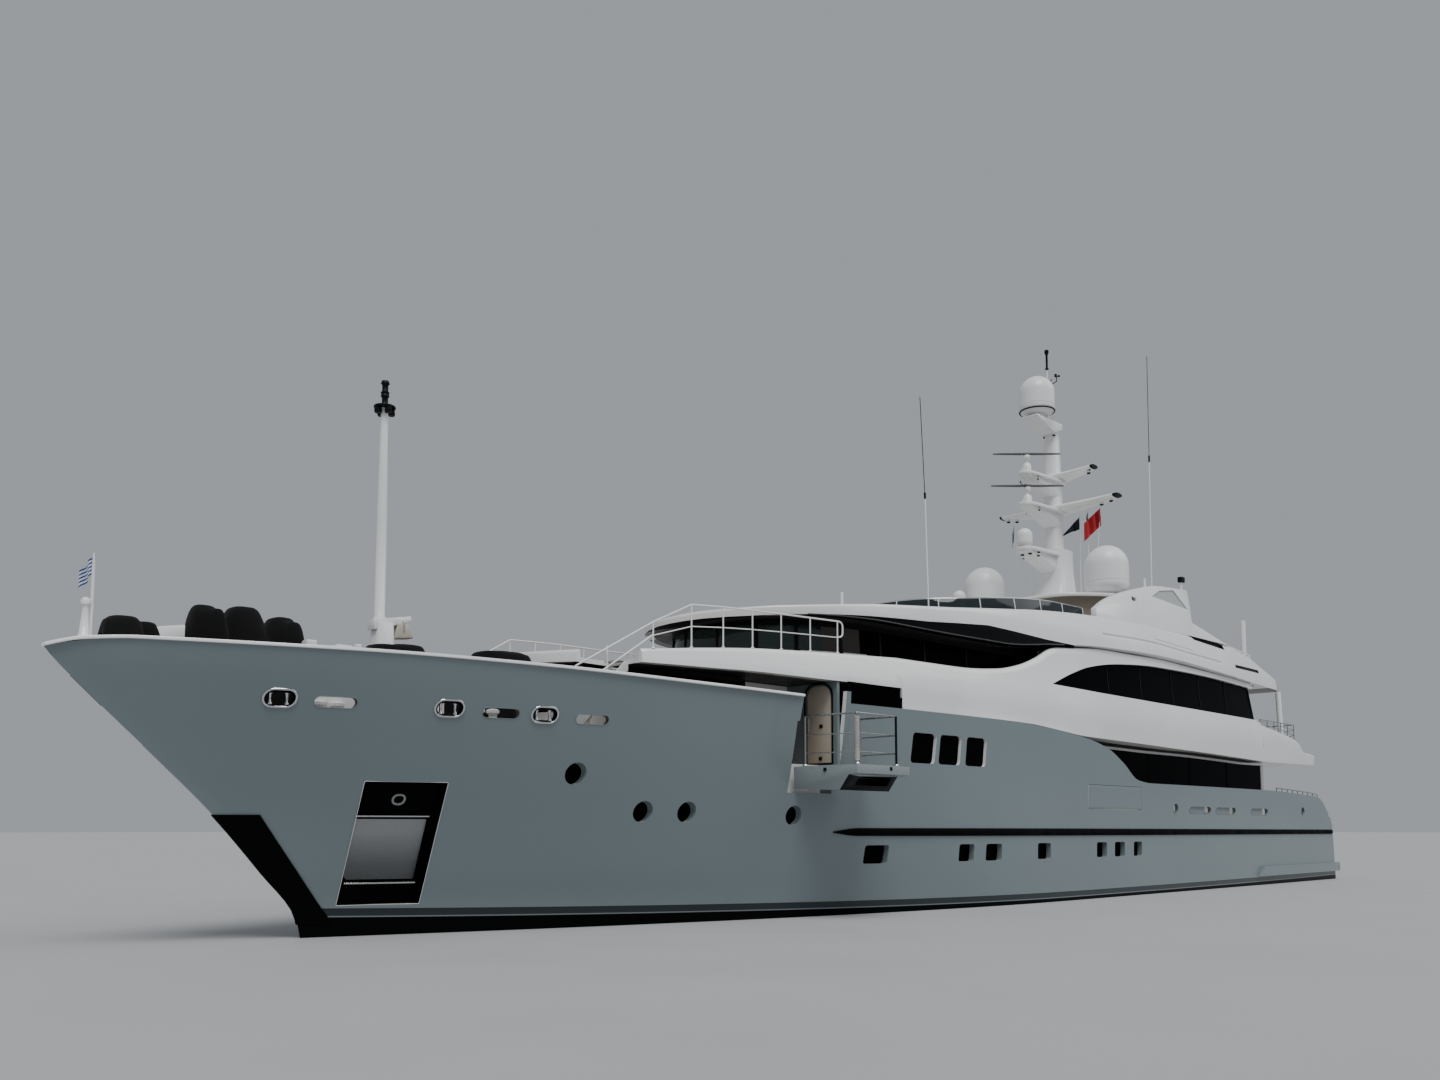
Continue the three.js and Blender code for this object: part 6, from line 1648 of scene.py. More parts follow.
triangle = rounded([(-10.07, 11.15), (-10.93, 11.5), (-12.3, 11.72), (-13.1, 11.02)], 0.08)
vent = oval(-8.4, 10.8, 0.4, 0.18, 8)
carve(wings, cutter("triangle", sunk(triangle, 0.04)), cutter("vent", sunk(vent, 0.1)))


def wing_finish(face):
    x, y, z = spot_of(face)
    inside = WING_Y + 0.09 < abs(y) + wing_lean(z) < WING_Y + 0.195
    if not inside or abs(face.normal.y) < 0.4:
        return 0
    return 1 if -13.2 < x < -10.0 and z > 10.9 else 2 if x > -8.7 else 0


RAIL_WHITE = surface("white rail paint", (0.82, 0.825, 0.82), 0.3, drift=0.02)
PALE_AND_SHADE = surface("pale grey paint", (0.34, 0.365, 0.37), 0.35, drift=0.03, Coat_Weight=0.2)
done(wings, [WHITE, PALE_AND_SHADE, DARK], stands_for=["arch"], angle=30, choose=wing_finish)
roof_curve = smooth_plan([(-9, 3.62), (-7.8, 3.3), (-6.9, 2.7), (-6.3, 2.0), (-6.1, 1.0), (-6.1, 0.0)], 5)
roof_half = [(-13.2, 0), (-13.6, 2.4), (-13.3, 3.55), (-11.5, 3.62)] + roof_curve
roof_side = [(x, y) for x, y in roof_half if y > 0]
roof_outline = roof_side + [(-6.1, 0)] + [(x, -y) for x, y in reversed(roof_side)] + [(-13.2, 0)]
ROOF_UNDER, ROOF_TOP = 10.85, 11.01
roof = piece("hardtop", pushed(roof_outline, "z", ROOF_UNDER, ROOF_TOP))
soften(roof, 0.05, 4, 50)
# The hardtop's underside gets the pale grey as painted shade.
done(roof, [WHITE, PALE_AND_SHADE], choose=lambda f: 1 if f.normal.z < -0.8 else 0)
lamp_posts = [
    [(-13.5, 3.3, 11.85), (-13.5, 3.3, 12.28)], [(-10.05, 3.42, 11.35), (-10.06, 3.42, 11.88)],
    [(5.17, 1.0, 8.7), (5.17, 1.0, 9.56)],
]
tubes("roof_lamp_posts", mirror_runs(lamp_posts[:2]) + lamp_posts[2:], 0.045, WHITE, sides=12)
lamp = blocks((-13.66, -13.38, 3.2, 3.4, 12.24, 12.46))
done(soften(piece("arch_top_lamps", both_sides(lamp)), 0.02, 2), DARK)

# %% [markdown]
# The mast is a tapering moulded foot, a column in three lengths, and the spreaders and platforms
# it carries. Each spreader is a thin wing swept up to its tips, with dark ends.

# %% Mast
def super_oval(a, b, steps=24, power=2.6, x=0.0, y=0.0):
    points = []
    for t in angles_round(steps):
        c, s = cos(t), sin(t)
        points.append((x + a * copysign(abs(c) ** (2 / power), c), y + b * copysign(abs(s) ** (2 / power), s)))
    return points


foot_fore = Line([(11.0, -8.4), (12.3, -8.8), (13.35, -8.78)])
foot_rings = []
for z in spread(ROOF_TOP + 0.002, 13.35, 12):
    fore, aft = foot_fore(z), mix(-9.95, -9.9, (z - 11) / 2.35)
    broad = mix(0.78, 0.6, min(1.0, (z - ROOF_TOP) / 1.5))
    foot_rings.append([(x, y, z) for x, y in super_oval((fore - aft) / 2, broad, 28, 7.0, (fore + aft) / 2)])


def bracket(fore, low, high, top, root, tip):
    """A deep wedge that carries a platform, thinning out forward."""
    rings = []
    for x in spread(-9.3, fore, 16):
        t = (x + 9.3) / (fore + 9.3)
        foot, half = mix(low, high, t**1.1), mix(root, tip, t)
        rings.append([(x, half * c, mix(foot, top, 0.5 + 0.5 * d)) for c, d in super_oval(1, 1, 20, 4.0)])
    return lofted(rings)


brackets = [
    (-6.99, 12.28, 13.03, 13.12, 0.42, 0.3), (-7.15, 14.25, 14.85, 14.95, 0.36, 0.26),
    (-7.15, 15.5, 16.08, 16.18, 0.34, 0.24),
]
column_rings = []
for z, a, b in (
    (13.3, 0.37, 0.31), (15.0, 0.37, 0.31), (15.1, 0.36, 0.30), (16.5, 0.35, 0.29), (16.6, 0.33, 0.27),
    (18.45, 0.28, 0.24),
):
    column_rings.append([(x, y, z) for x, y in super_oval(a, b, 24, 3.2, -9.4)])
mast = piece("mast_moulding", together(lofted(foot_rings), *[bracket(*b) for b in brackets], lofted(column_rings)))


def spreader(span, z, rise, root, tip):
    """A wing across the boat, swept up and tapering to both tips."""
    rings = []
    for y in spread(-span, span, 41):
        t = abs(y) / span
        chord, thick = mix(root, tip, t**0.8) / 2, mix(0.17, 0.075, t)
        height, x = z + rise * t**1.3 + 0.03, -9.45 - 0.35 * t
        rings.append([(x + chord * a, y, height + thick * b) for a, b in super_oval(1, 1, 20, 2.4)])
    return lofted(rings)


def tip_dark(face):
    y, z = abs(face.center.y) / HALF, face.center.z / HALF
    return 1 if y > (2.42 if z < 15.8 else 1.5) else 0


done(mast, WHITE, stands_for=["mast"], angle=40)
arms = piece("spreaders", together(spreader(2.6, 15.0, 0.25, 1.5, 0.55), spreader(1.62, 16.3, 0.3, 1.3, 0.5)))
done(arms, [WHITE, DARK], angle=40, choose=tip_dark)


def platform(fore, half, z, thick):
    outline = [(-9.7, half), (-9.0, half), (fore - 0.35, half * 0.75), (fore, half * 0.35)]
    outline += [(x, -y) for x, y in reversed(outline)]
    return pushed(rounded(outline, 0.12), "z", z, z + thick)


decks = piece(
    "mast_platforms",
    together(platform(-6.85, 0.55, 13.05, 0.14), platform(-7.0, 0.5, 14.86, 0.12), platform(-7.0, 0.45, 16.1, 0.12)),
)
done(soften(decks, 0.025, 3, 50), WHITE)
stand = piece(
    "dome_stand",
    side_view(
        [(-9.6, 18.35), (-9.0, 18.1), (-7.7, 18.48), (-7.66, 18.58), (-7.8, 18.599), (-9.6, 18.599)], -0.38, 0.38
    ),
)
done(soften(stand, 0.04, 4, 30), WHITE)

# %% [markdown]
# Under the platforms hang navigation lights in dark housings, and above them stand the radars'
# gearboxes on strutted posts. Small turned parts like these are placed from one short table.

# %% Lights, posts and aerials of the mast
light_rows = [(0, -0.17), (0.06, -0.17), (0.075, -0.14), (0.07, -0.04), (0.09, -0.02), (0.09, 0), (0, 0)]
light_spots = [
    (-7.25, 0.17, 13.05), (-7.6, 0.3, 13.0), (-7.8, 0.25, 14.86), (-7.8, 0.22, 16.1), (-9.75, 2.3, 15.2),
    (-9.75, 1.9, 15.13), (-9.72, 1.4, 16.5), (-9.2, 0.2, 18.2),
]
hanging = [(x, s * y, z + 0.02) for x, y, z in light_spots for s in (1, -1)]
lights = together(*[turned(light_rows, at, 16) for at in hanging])
done(piece("mast_lights", lights), DARK, angle=50)
glows = together(*[
    turned([(0, -0.12), (0.076, -0.12), (0.08, -0.08), (0.076, -0.05), (0, -0.05)], at, 16) for at in hanging
])
done(piece("mast_light_lenses", glows), LAMP, angle=50)
RADAR_X, RADAR_LOW, RADAR_HIGH = -7.44, 15.64, 16.92
gear_rows = [
    (0, 0), (0.2, 0), (0.2, 0.04), (0.17, 0.06), (0.16, 0.28), (0.12, 0.33), (0.05, 0.34), (0.04, 0.6), (0, 0.6)
]
gears = together(
    turned(gear_rows, (RADAR_X, 0, 14.98), 28), turned([(r, z * 1.1) for r, z in gear_rows], (RADAR_X, 0, 16.22), 28)
)
done(piece("radar_gearboxes", gears), WHITE, angle=50)
braces = [
    [(RADAR_X + a, b, z), (RADAR_X, 0, z + 0.5)]
    for z in (14.98, 16.22) for a, b in ((0.2, 0.15), (0.2, -0.15), (-0.25, 0))
]
tubes("mast_braces", braces, 0.022, WHITE)
POLE_X = -9.14
tubes("mast_head_pole", [[(POLE_X, 0, 18.55), (POLE_X, 0, 20.85)]], 0.03, WHITE, sides=12)
arm = [[(POLE_X, 0, 20.12), (POLE_X, 0.43, 20.26), (POLE_X, 0.43, 20.46)], [(POLE_X, 0, 20.12), (POLE_X, 0.2, 20.4)]]
tubes("mast_head_arms", arm, 0.02, DARK, sides=8)
cup_rows = [(0, -0.03), (0.045, -0.03), (0.06, 0), (0.045, 0.03), (0, 0.03)]
head_rows = [
    (0, 0), (0.06, 0), (0.075, 0.05), (0.045, 0.09), (0.045, 0.62), (0.07, 0.66), (0.09, 0.74), (0.08, 0.82),
    (0, 0.84),
]
cups = [turned(cup_rows, (POLE_X + 0.12 * cos(a), 0.43 + 0.06 * sin(a), 20.48), 12) for a in (0.3, 2.4, 4.5)]
done(piece("wind_cups", together(*cups, turned(head_rows, (POLE_X, 0, 20.84), 20))), DARK, angle=50)
whips = [
    ((3.44, 3.0, 8.75), (3.55, 3.0, 12.42), (3.74, 3.0, 15.6)),
    ((-10.6, 3.44, 11.55), (-10.72, 3.44, 16.6), (-10.8, 3.44, 20.88)),
]
tubes("whip_aerials_lower", [list(w[:2]) for w in whips], 0.022, RAIL_WHITE, sides=8)
tubes("whip_aerials_upper", [list(w[1:]) for w in whips], 0.012, DARK, sides=8)
tubes(
    "whip_ferrules", [[w[1], tuple(Vector(w[1]).lerp(Vector(w[2]), 0.06))] for w in whips], 0.034, DARK,
)
print("lights on the mast:", len(hanging))

# %% [markdown]
# Satellite domes are two thin shells bolted at a seam: a shallow bowl below and a tall cap above.
# A lathe profile gives each its belly, and the top one wears a dark ring at its foot.

# %% Domes
def dome_rows(r, high):
    rows = [(0, 0), (r * 0.42, 0), (r * 0.45, 0.02), (r * 0.45, high * 0.07)]
    rows += [(r * mix(0.5, 1.0, sin(a)), high * mix(0.07, 0.24, 1 - cos(a))) for a in spread(0.05, pi / 2, 12)]
    rows += [(r, high * 0.27), (r * 0.985, high * 0.275), (r * 0.985, high * 0.285), (r, high * 0.29), (r, high - r)]
    rows += [(r * cos(a), high - r + r * sin(a)) for a in spread(0, pi / 2, 18)[1:-1]]
    return rows + [(0, high)]


for name, centre, r, high, nodes in (
    ("dome_port", (-8.45, 2.7, 11.013), 0.81, 1.99, ["radome_port"]),
    ("dome_stbd", (-8.45, -2.7, 11.013), 0.81, 1.99, ["radome_stbd"]),
    ("dome_top", (-8.3, 0, 18.602), 0.695, 1.71, ["radome_top"]),
):
    done(piece(name, turned(dome_rows(r, high), centre, 64)), DOME, stands_for=nodes, angle=40)
small_domes = [
    turned(dome_rows(0.3, 0.75), (-7.15, 0, 13.19), 40), turned(dome_rows(0.26, 0.9), (-7.1, -3.02, 11.012), 32)
]
done(piece("small_domes", together(*small_domes)), DOME, angle=40)
ring_at = [(-8.3 + 0.68 * cos(a), 0.68 * sin(a), 18.602 + 1.71 * 0.16) for a in spread(0, 2 * pi, 49)[:-1]]
tubes("dome_ring", [], 0.03, DARK, [ring_at], 6)

# %% [markdown]
# The radar scanners are slim bars with rounded ends, and each turns with its own body. At rest they
# lie across the photograph's line of sight.

# %% Radar scanners
BAR_GREY = surface("grey scanner paint", (0.085, 0.085, 0.085), 0.45, drift=0.05)
for name, z, half in (("radar_lower", RADAR_LOW, 1.42), ("radar_upper", RADAR_HIGH, 1.32)):
    rings = []
    for t in spread(-1, 1, 25):
        w = 0.07 * (1 - abs(t) ** 8 * 0.6)
        deep = mix(0.055, 0.03, abs(t))
        rings.append([(t * half, w * cos(a) * 0.9, 0.05 + deep * sin(a)) for a in angles_round(12)])
    turn = Matrix.Rotation(radians(135), 3, "Z")
    verts, faces = lofted(rings)
    arm = [tuple(turn @ Vector(v) + Vector((RADAR_X, 0, z))) for v in verts]
    hub = turned(
        [(0, -0.16), (0.11, -0.16), (0.13, -0.13), (0.13, -0.02), (0.1, 0.02), (0, 0.02)], (RADAR_X, 0, z), 24
    )
    made = piece(f"{name}_scanner", together((arm, faces), hub))
    hub_top = z * HALF
    done(made, [BAR_GREY, WHITE], name, [name], angle=40, choose=lambda f: int(f.center.z < hub_top))

# %% [markdown]
# ## Flags
# With no wind a flag hangs in folds: its hoist stays on the halyard and the rest falls towards the
# deck. So each is laid out as a grid from hoist to fly, tilted down, and folded by two slow waves
# that grow away from the hoist. The cloth's flat layout is kept, for its stripes.

# %% Flags and halyards
def flag(name, top, hoist, fly, droop, reach, finish, folds=2.5, taper=0.0, seed=0.0):
    """Top is the hoist's upper corner. Droop is the fly's fall in degrees, reach its share of way made good."""
    across, down = 36, 12
    fall, level = sin(radians(droop)), cos(radians(droop))
    way, side = Vector((0.713, -0.701, 0)), Vector((0.701, 0.713, 0))
    turn = 2 * pi * folds
    deep = sqrt(2 * max(0.0, level**2 - reach**2)) / turn
    verts, flat = [], []
    for i in range(across + 1):
        u = i / across
        for k in range(down + 1):
            v = k / down
            depth = hoist * mix(v, 0.5 + (v - 0.5) * (1 - taper), u)
            fold = fly * deep * 1.15 * min(1.0, u * 4) * sin(turn * u + 0.7 * v + seed)
            spot = Vector(top) + way * (fly * reach * u) + side * fold
            verts.append((spot.x, spot.y, spot.z - depth - fly * fall * u**1.05))
            flat.append((u, v))
    rows = down + 1
    faces = [
        (i * rows + k, (i + 1) * rows + k, (i + 1) * rows + k + 1, i * rows + k + 1)
        for i in range(across) for k in range(down)
    ]
    made = piece(name, (verts, faces))
    layout = made.data.uv_layers.new(name="cloth")
    for loop in made.data.loops:
        layout.data[loop.index].uv = flat[loop.vertex_index]
    thicken = made.modifiers.new("cloth thickness", "SOLIDIFY")
    thicken.thickness, thicken.offset = 0.002, 0
    plain(made)
    done(made, finish, angle=80)
    return made


RED_CLOTH = woven("red flag cloth", ((0.38, 0.012, 0.02), (0.50, 0.02, 0.03)), 0.8, 500.0)
NAVY_CLOTH = woven("navy flag cloth", ((0.006, 0.009, 0.022), (0.012, 0.016, 0.035)), 0.8, 500.0)
BLUE_WHITE = striped("blue and white striped cloth", 9, ((0.02, 0.06, 0.24), (0.72, 0.74, 0.76)))
NAVY_WHITE = striped("navy and white striped cloth", 4, ((0.01, 0.015, 0.04), (0.70, 0.71, 0.72)))
flag("flag_red", (-9.88, 1.78, 14.93), 0.72, 1.3, 28, 0.5, RED_CLOTH, seed=0.6)
flag("pennant_navy", (-9.95, 0.82, 14.75), 0.5, 0.95, 30, 0.68, NAVY_CLOTH, 1.5, taper=0.9, seed=1.9)
flag("flag_small", (-9.72, 1.32, 14.84), 0.34, 0.4, 40, 0.2, NAVY_WHITE, 2, seed=2.7)
flag("flag_blue_white", (-9.78, -2.07, 14.84), 0.5, 0.62, 40, 0.15, BLUE_WHITE, 2, seed=3.1)
flag("flag_jackstaff", (26.15, -0.01, 7.5), 0.34, 0.54, 36, 0.5, BLUE_WHITE, 1.5, seed=4.4)
halyards = [[(-9.88, 1.79, 15.05), (-9.6, 1.55, ROOF_TOP)], [(-9.95, 0.83, 14.95), (-9.7, 0.95, ROOF_TOP)]]
halyards += [[(-9.72, 1.33, 14.95), (-9.65, 1.3, ROOF_TOP)], [(-9.78, -2.08, 15.1), (-9.5, -1.6, ROOF_TOP)]]
halyards += [[(-9.75, -1.6, 15.0), (-9.4, -1.3, ROOF_TOP)], [(-9.75, -1.1, 15.0), (-9.3, -1.0, ROOF_TOP)]]
tubes("halyards", halyards, 0.012, RAIL_WHITE, sides=6)

# %% [markdown]
# ## Foredeck
# The signal mast stands on a box with an arm aft that carries a floodlight. At its head two anchor
# lights stand on a disc, with four small lamps under it. The jackstaff and a lamp post stand on the
# bow's cap rail.

# %% Signal mast and jackstaff
box = piece("signal_mast_box", together(
    lofted([
        [(x, y, z) for x, y in super_oval(a, b, 20, 5.0, 20.12)]
        for z, a, b in ((4.452, 0.3, 0.28), (5.9, 0.24, 0.22), (6.9, 0.21, 0.2))
    ]),
    side_view([(20.4, 6.72), (20.42, 6.95), (19.5, 7.12), (19.46, 7.02), (19.9, 6.86)], -0.15, 0.15),
))
done(soften(box, 0.02, 2), WHITE, stands_for=["foremast"], angle=40)
mast_rows = [(0, 6.6), (0.14, 6.6), (0.14, 7.02), (0.12, 7.05), (0.118, 9.2), (0.08, 11.9), (0, 11.9)]
done(piece("signal_mast_tube", turned(mast_rows, (20.2, 0, 0), 28)), WHITE, angle=50)
head = [
    turned(
        [(0, 0), (0.09, 0), (0.1, 0.03), (0.07, 0.06), (0.07, 0.2), (0.1, 0.24), (0.08, 0.3), (0, 0.32)],
        (20.2, 0, z), 20,
    )
    for z in (11.9, 12.2)
]
head.append(turned([(0, 0), (0.24, 0), (0.25, 0.02), (0.24, 0.045), (0, 0.045)], (20.2, 0, 11.86), 28))
head += [
    turned([(0, 0), (0.07, 0), (0.085, 0.04), (0.07, 0.15), (0, 0.17)], (20.2 + dx, dy, 11.72), 16)
    for dx, dy in ((0.17, 0), (-0.17, 0), (0, 0.17), (0, -0.17))
]
done(piece("signal_mast_head", together(*head)), DARK, angle=50)
flood = side_view([(19.9, 6.56), (19.42, 6.62), (19.56, 6.92), (19.82, 6.94)], -0.17, 0.17)
done(soften(piece("foredeck_floodlight", flood), 0.03, 3, 40), CREAM, angle=50)
hook = [[(19.68, s * 0.19, 6.75), (19.68, s * 0.19, 6.98), (19.68, 0, 7.02)] for s in (1, -1)]
tubes("floodlight_bracket", hook, 0.016, CHROME, sides=8, bend=0.04)
nose_z = RAIL_LINE(26.15) + 0.074
staff = turned(
    [(0, 0), (0.09, 0), (0.09, 0.03), (0.035, 0.06), (0.03, 1.4), (0.02, 1.62), (0, 1.63)], (26.18, 0, nose_z), 16
)
done(piece("jackstaff_tube", staff), WHITE, stands_for=["jackstaff"], angle=50)
lamp_post = turned(
    [
        (0, 0), (0.13, 0), (0.13, 0.03), (0.1, 0.06), (0.05, 0.6), (0.055, 0.62), (0.085, 0.64), (0.09, 0.72),
        (0.05, 0.77), (0, 0.78),
    ],
    (26.29, 0, RAIL_LINE(26.29) + 0.07), 24,
)
done(piece("bow_lamp_post", lamp_post), WHITE, angle=50)

# %% [markdown]
# The deck gear is dressed in black canvas for the night. A cover is flat cloth dropped over hard
# lumps: taut on the tops, hanging in folds between them, and drawn in at its hem.

# %% Canvas covers
CANVAS_THICK = 0.003


def cloth_over(name, lumps, hem, flat, node, seed=1, crown=0.35, fall=3.2):
    """Cloth over lumps of x, y, half length, half width, top. Flat is its cut in metres of the model.

    Crown is the share of a lump's reach that stays flat, and fall sets how steeply it drops past that.
    """
    sides, rows = 96, 26

    def height(x, y):
        top = hem
        for cx, cy, a, b, high in lumps:
            d = (abs((x - cx) / a) ** 2.6 + abs((y - cy) / b) ** 2.6) ** (1 / 2.6)
            top = max(top, high - (high - hem) * min(1.0, max(0.0, (d - crown) / (1 - crown))) ** fall)
        return top

    cx, cy = sum(l[0] for l in lumps) / len(lumps), sum(l[1] for l in lumps) / len(lumps)

    def rim(a):
        """How far the lumps reach from the middle in one direction."""
        reach_at = 0.0
        for k in range(1, 200):
            r = k * 0.02
            x, y = cx + r * cos(a), cy + r * sin(a)
            inside = any((abs((x - lx) / la) ** 2.6 + abs((y - ly) / lb) ** 2.6) < 1.0 for lx, ly, la, lb, _ in lumps)
            reach_at = r if inside else reach_at
        return reach_at

    angles = [2 * pi * k / sides for k in range(sides)]
    rims = [rim(a) for a in angles]
    for _ in range(3):
        rims = [(rims[k - 1] + 2 * rims[k] + rims[(k + 1) % sides]) / 4 for k in range(sides)]
    verts = [(cx, cy, height(cx, cy))]
    for i in range(1, rows + 1):
        t = i / rows
        for k, a in enumerate(angles):
            r = rims[k] * min(1.0, t / 0.62) ** 0.9
            x, y = cx + r * cos(a), cy + r * sin(a)
            z = height(x, y)
            if t > 0.55:
                down = (t - 0.55) / 0.45
                fold = 0.035 * sin(a * 11 + seed * 1.7) * down + 0.02 * sin(a * 23 + seed) * down
                pull = -0.10 * down**3
                x += (fold + pull) * cos(a)
                y += (fold + pull) * sin(a)
                z = mix(min(z, height(cx + 0.93 * r * cos(a), cy + 0.93 * r * sin(a))), hem + 0.012, down**1.15)
            else:
                z += 0.018 * sin(3.1 * x * 2 + seed) * sin(4.3 * y * 2 + 0.7 * seed) * t
            verts.append((x, y, z))
    faces = [(0, 1 + k, 1 + (k + 1) % sides) for k in range(sides)]
    for i in range(rows - 1):
        a = 1 + i * sides
        faces += [(a + k, a + (k + 1) % sides, a + sides + (k + 1) % sides, a + sides + k) for k in range(sides)]
    made = piece(name, (verts, faces))
    thicken = made.modifiers.new("cloth thickness", "SOLIDIFY")
    thicken.thickness, thicken.offset = CANVAS_THICK, -1
    step = made.modifiers.new("smooth", "SUBSURF")
    step.levels = 1
    plain(made)
    area = sum(p.area for p in made.data.polygons) / 2
    done(made, CANVAS, stands_for=node, angle=80)
    print(f"{name}: cloth area {area:.2f} square metres, cut {flat[0]} by {flat[1]}")
    return made


# %% [markdown]
# Each cover takes the lumps under it, the height of its hem, its flat cut and the piece of the
# construction that it stands for. The capstans and benches have a pair each.

# %% Covers on the foredeck
deck_hem = 4.454
cloth_over("canvas_windlass", [
    (22.5, 0.0, 0.56, 0.66, 6.72), (22.4, 0.35, 0.36, 0.5, 6.6), (23.3, 0.0, 0.66, 0.62, 6.84),
    (23.3, -0.3, 0.4, 0.5, 6.74),
    (24.1, 0.0, 0.5, 0.5, 6.78), (23.95, 0.25, 0.34, 0.34, 6.7),
], deck_hem, (2.4, 2.0), ["cover_windlass"], 2, 0.3, 2.6)
cloth_over(
    "canvas_bow", [(25.63, 0, 0.4, 0.42, 6.37), (25.85, 0.05, 0.2, 0.26, 6.3), (25.2, 0, 0.28, 0.3, 6.3)],
    RAIL_Z + 0.074, (0.65, 0.55), ["cover_bow"], 5,
)
for side, sign in SIDES:
    cloth_over(
        f"canvas_capstan_{side}", [(20.32, sign * 0.95, 0.84, 0.52, 6.24), (20.1, sign * 1.0, 0.5, 0.4, 6.28)],
        deck_hem, (1.35, 1.2), [f"cover_capstan_{side}"], 3, 0.62, 4.0,
    )
    cloth_over(
        f"canvas_bench_{side}", [(17.95, sign * 1.5, 0.9, 0.56, 6.27), (17.8, sign * 1.45, 0.6, 0.42, 6.32)],
        deck_hem, (1.4, 1.3), [f"cover_bench_{side}"], 7, 0.62, 4.0,
    )

# %% [markdown]
# White gear shows between the covers: the windlass bed with its angular chain guides, and small
# posts behind. The guides are bent plate, so they are flat with soft edges.

# %% Windlass bed
bed = [
    (24.55, 24.95, -0.2, 0.2, 4.452, 5.95), (21.2, 22.4, 0.94, 1.06, 4.452, 6.04),
    (22.2, 22.42, 0.86, 1.14, 5.9, 6.16),
    (21.42, 21.78, 0.84, 1.16, 5.9, 6.13), (21.18, 21.3, 0.9, 1.1, 5.9, 6.19), (19.15, 19.4, 0.7, 1.1, 4.452, 6.05),
]
done(soften(piece("foredeck_gear", blocks(*bed)), 0.03, 3), WHITE)
chute = side_view([(25.52, 5.94), (25.46, 6.07), (25.24, 6.19), (24.5, 6.33), (24.5, 5.94)], -0.17, 0.17)
done(soften(piece("chain_chute", chute), 0.02, 2, 40), WHITE)

# %% [markdown]
# ## Rails
# Every rail is the same pair of things: a run of posts from deck to rail, and bars along them. The
# posts' feet come from the deck's crest, so rails stay seated wherever the moulding curves.

# %% Rails on the walkway
def crest_spot(deck, x, inset=0.065):
    return deck.crest(x) - inset, deck.at(x)[2]


WING_TOP_Z = Line([(9.05, 7.76), (14.1, 7.62), (15.07, 7.12)])


def rail(name, posts, bars, finish=CHROME, radius=0.022, thin=0.014, stands_for=(), mirror=True):
    """Posts of x, y, foot, head. Bars are shares of the posts' height."""
    runs = [[(x, y, foot), (x, y, head)] for x, y, foot, head in posts]
    lines = [[(x, y, mix(foot, head, share)) for x, y, foot, head in posts] for share in bars]
    top = [[(x, y, head) for x, y, _, head in posts]]
    if mirror:
        runs, lines, top = mirror_runs(runs), mirror_runs(lines), mirror_runs(top)
    tubes(f"{name}_posts", runs, radius * 0.85, finish)
    if lines:
        tubes(f"{name}_bars", lines, thin, finish, sides=8, bend=0.1)
    return tubes(f"{name}_top", top, radius, finish, sides=12, bend=0.15, stands_for=stands_for)


wing_posts = []
for x in (15.07, 14.1, 13.15, 12.2, 11.25, 10.25, 9.25):
    y, z = crest_spot(UPPER, x)
    wing_posts.append((x, y, z - 0.01, WING_TOP_Z(x)))
rail("walkway_rail", wing_posts, [0.5], RAIL_WHITE, stands_for=["wing_rail_port", "wing_rail_stbd"])
y_top, y_end = UPPER.crest(15.07) - 0.065, UPPER.crest(9.25) - 0.065
stair_rails = [
    [(16.9, 2.86, 4.75), (16.9, 2.86, 5.95), (15.07, y_top, 7.12)],
    [(16.9, 2.86, 5.4), (15.07, y_top, 6.82)],
    [(16.05, 2.99, 5.6), (16.05, 2.99, 6.52)],
    [(9.25, y_end, 7.757), (9.05, y_end + 0.01, 7.74), (9.05, y_end + 0.01, 7.36), (9.25, y_end, 7.33)],
]
tubes("stair_handrails", mirror_runs(stair_rails), 0.022, RAIL_WHITE, bend=0.12)

# %% [markdown]
# The stairs up from the foredeck are eight treads on white stringers, each tread laid with pale
# non-slip sheet.

# %% Foredeck stairs
STEPS = 8
tread = []
for k in range(STEPS):
    x = mix(17.05, 15.4, k / STEPS)
    z = mix(FORE_DECK_Z, 6.26, (k + 1) / STEPS)
    tread.append((x - 0.22, x, 2.34, 2.88, z - 0.05, z))
stair = together(*[both_sides(blocks(t)) for t in tread])
done(soften(piece("stair_treads", stair), 0.008, 2), GREY_DECK)
stringer = [(17.0, 4.46), (16.85, 4.46), (15.35, 6.0), (15.35, 6.2), (15.45, 6.22), (17.04, 4.62)]
strings = together(side_view(stringer, 2.3, 2.34), side_view(stringer, 2.88, 2.92))
stairs = piece("stair_stringers", both_sides(strings))
done(soften(stairs, 0.006, 1), WHITE, stands_for=["fore_stair_port", "fore_stair_stbd"])

# %% [markdown]
# Aft, the upper deck and the sun deck end in rails, with two poles each to carry the awnings. On
# the main deck a low rail tops the bulwark.

# %% After rails
aft_posts = []
for x in spread(-18.1, -21.95, 6):
    y, z = crest_spot(UPPER, x)
    aft_posts.append((x, y, z - 0.01, 6.88))
aft_posts += [(-22.1, 3.0, 5.45, 6.88), (-22.1, 1.5, 5.45, 6.88), (-22.1, 0.0, 5.45, 6.88)]
rail("upper_after_rail", aft_posts, [0.35, 0.68], SATIN, stands_for=["upper_aft_rail"])
sun_posts = [
    (x, *crest_spot(SUN, x, 0.095), mix(9.94, 9.72, (-15.2 - x) / 3.3)) for x in (-15.9, -16.7, -17.4, -17.95, -18.5)
]
sun_posts = [(x, y, z - 0.01, top) for x, y, z, top in sun_posts]
sun_posts += [(-18.7, 2.8, 8.78, 9.72), (-18.7, 1.4, 8.78, 9.72), (-18.7, 0.0, 8.78, 9.72)]
rail("sun_after_rail", sun_posts, [0.35, 0.68], RAIL_WHITE, stands_for=["sun_aft_rail"])
poles = [[(-21.55, 3.98, 6.1), (-21.6, 3.9, 8.36)], [(-18.68, 3.62, 9.0), (-18.75, 3.6, 11.27)]]
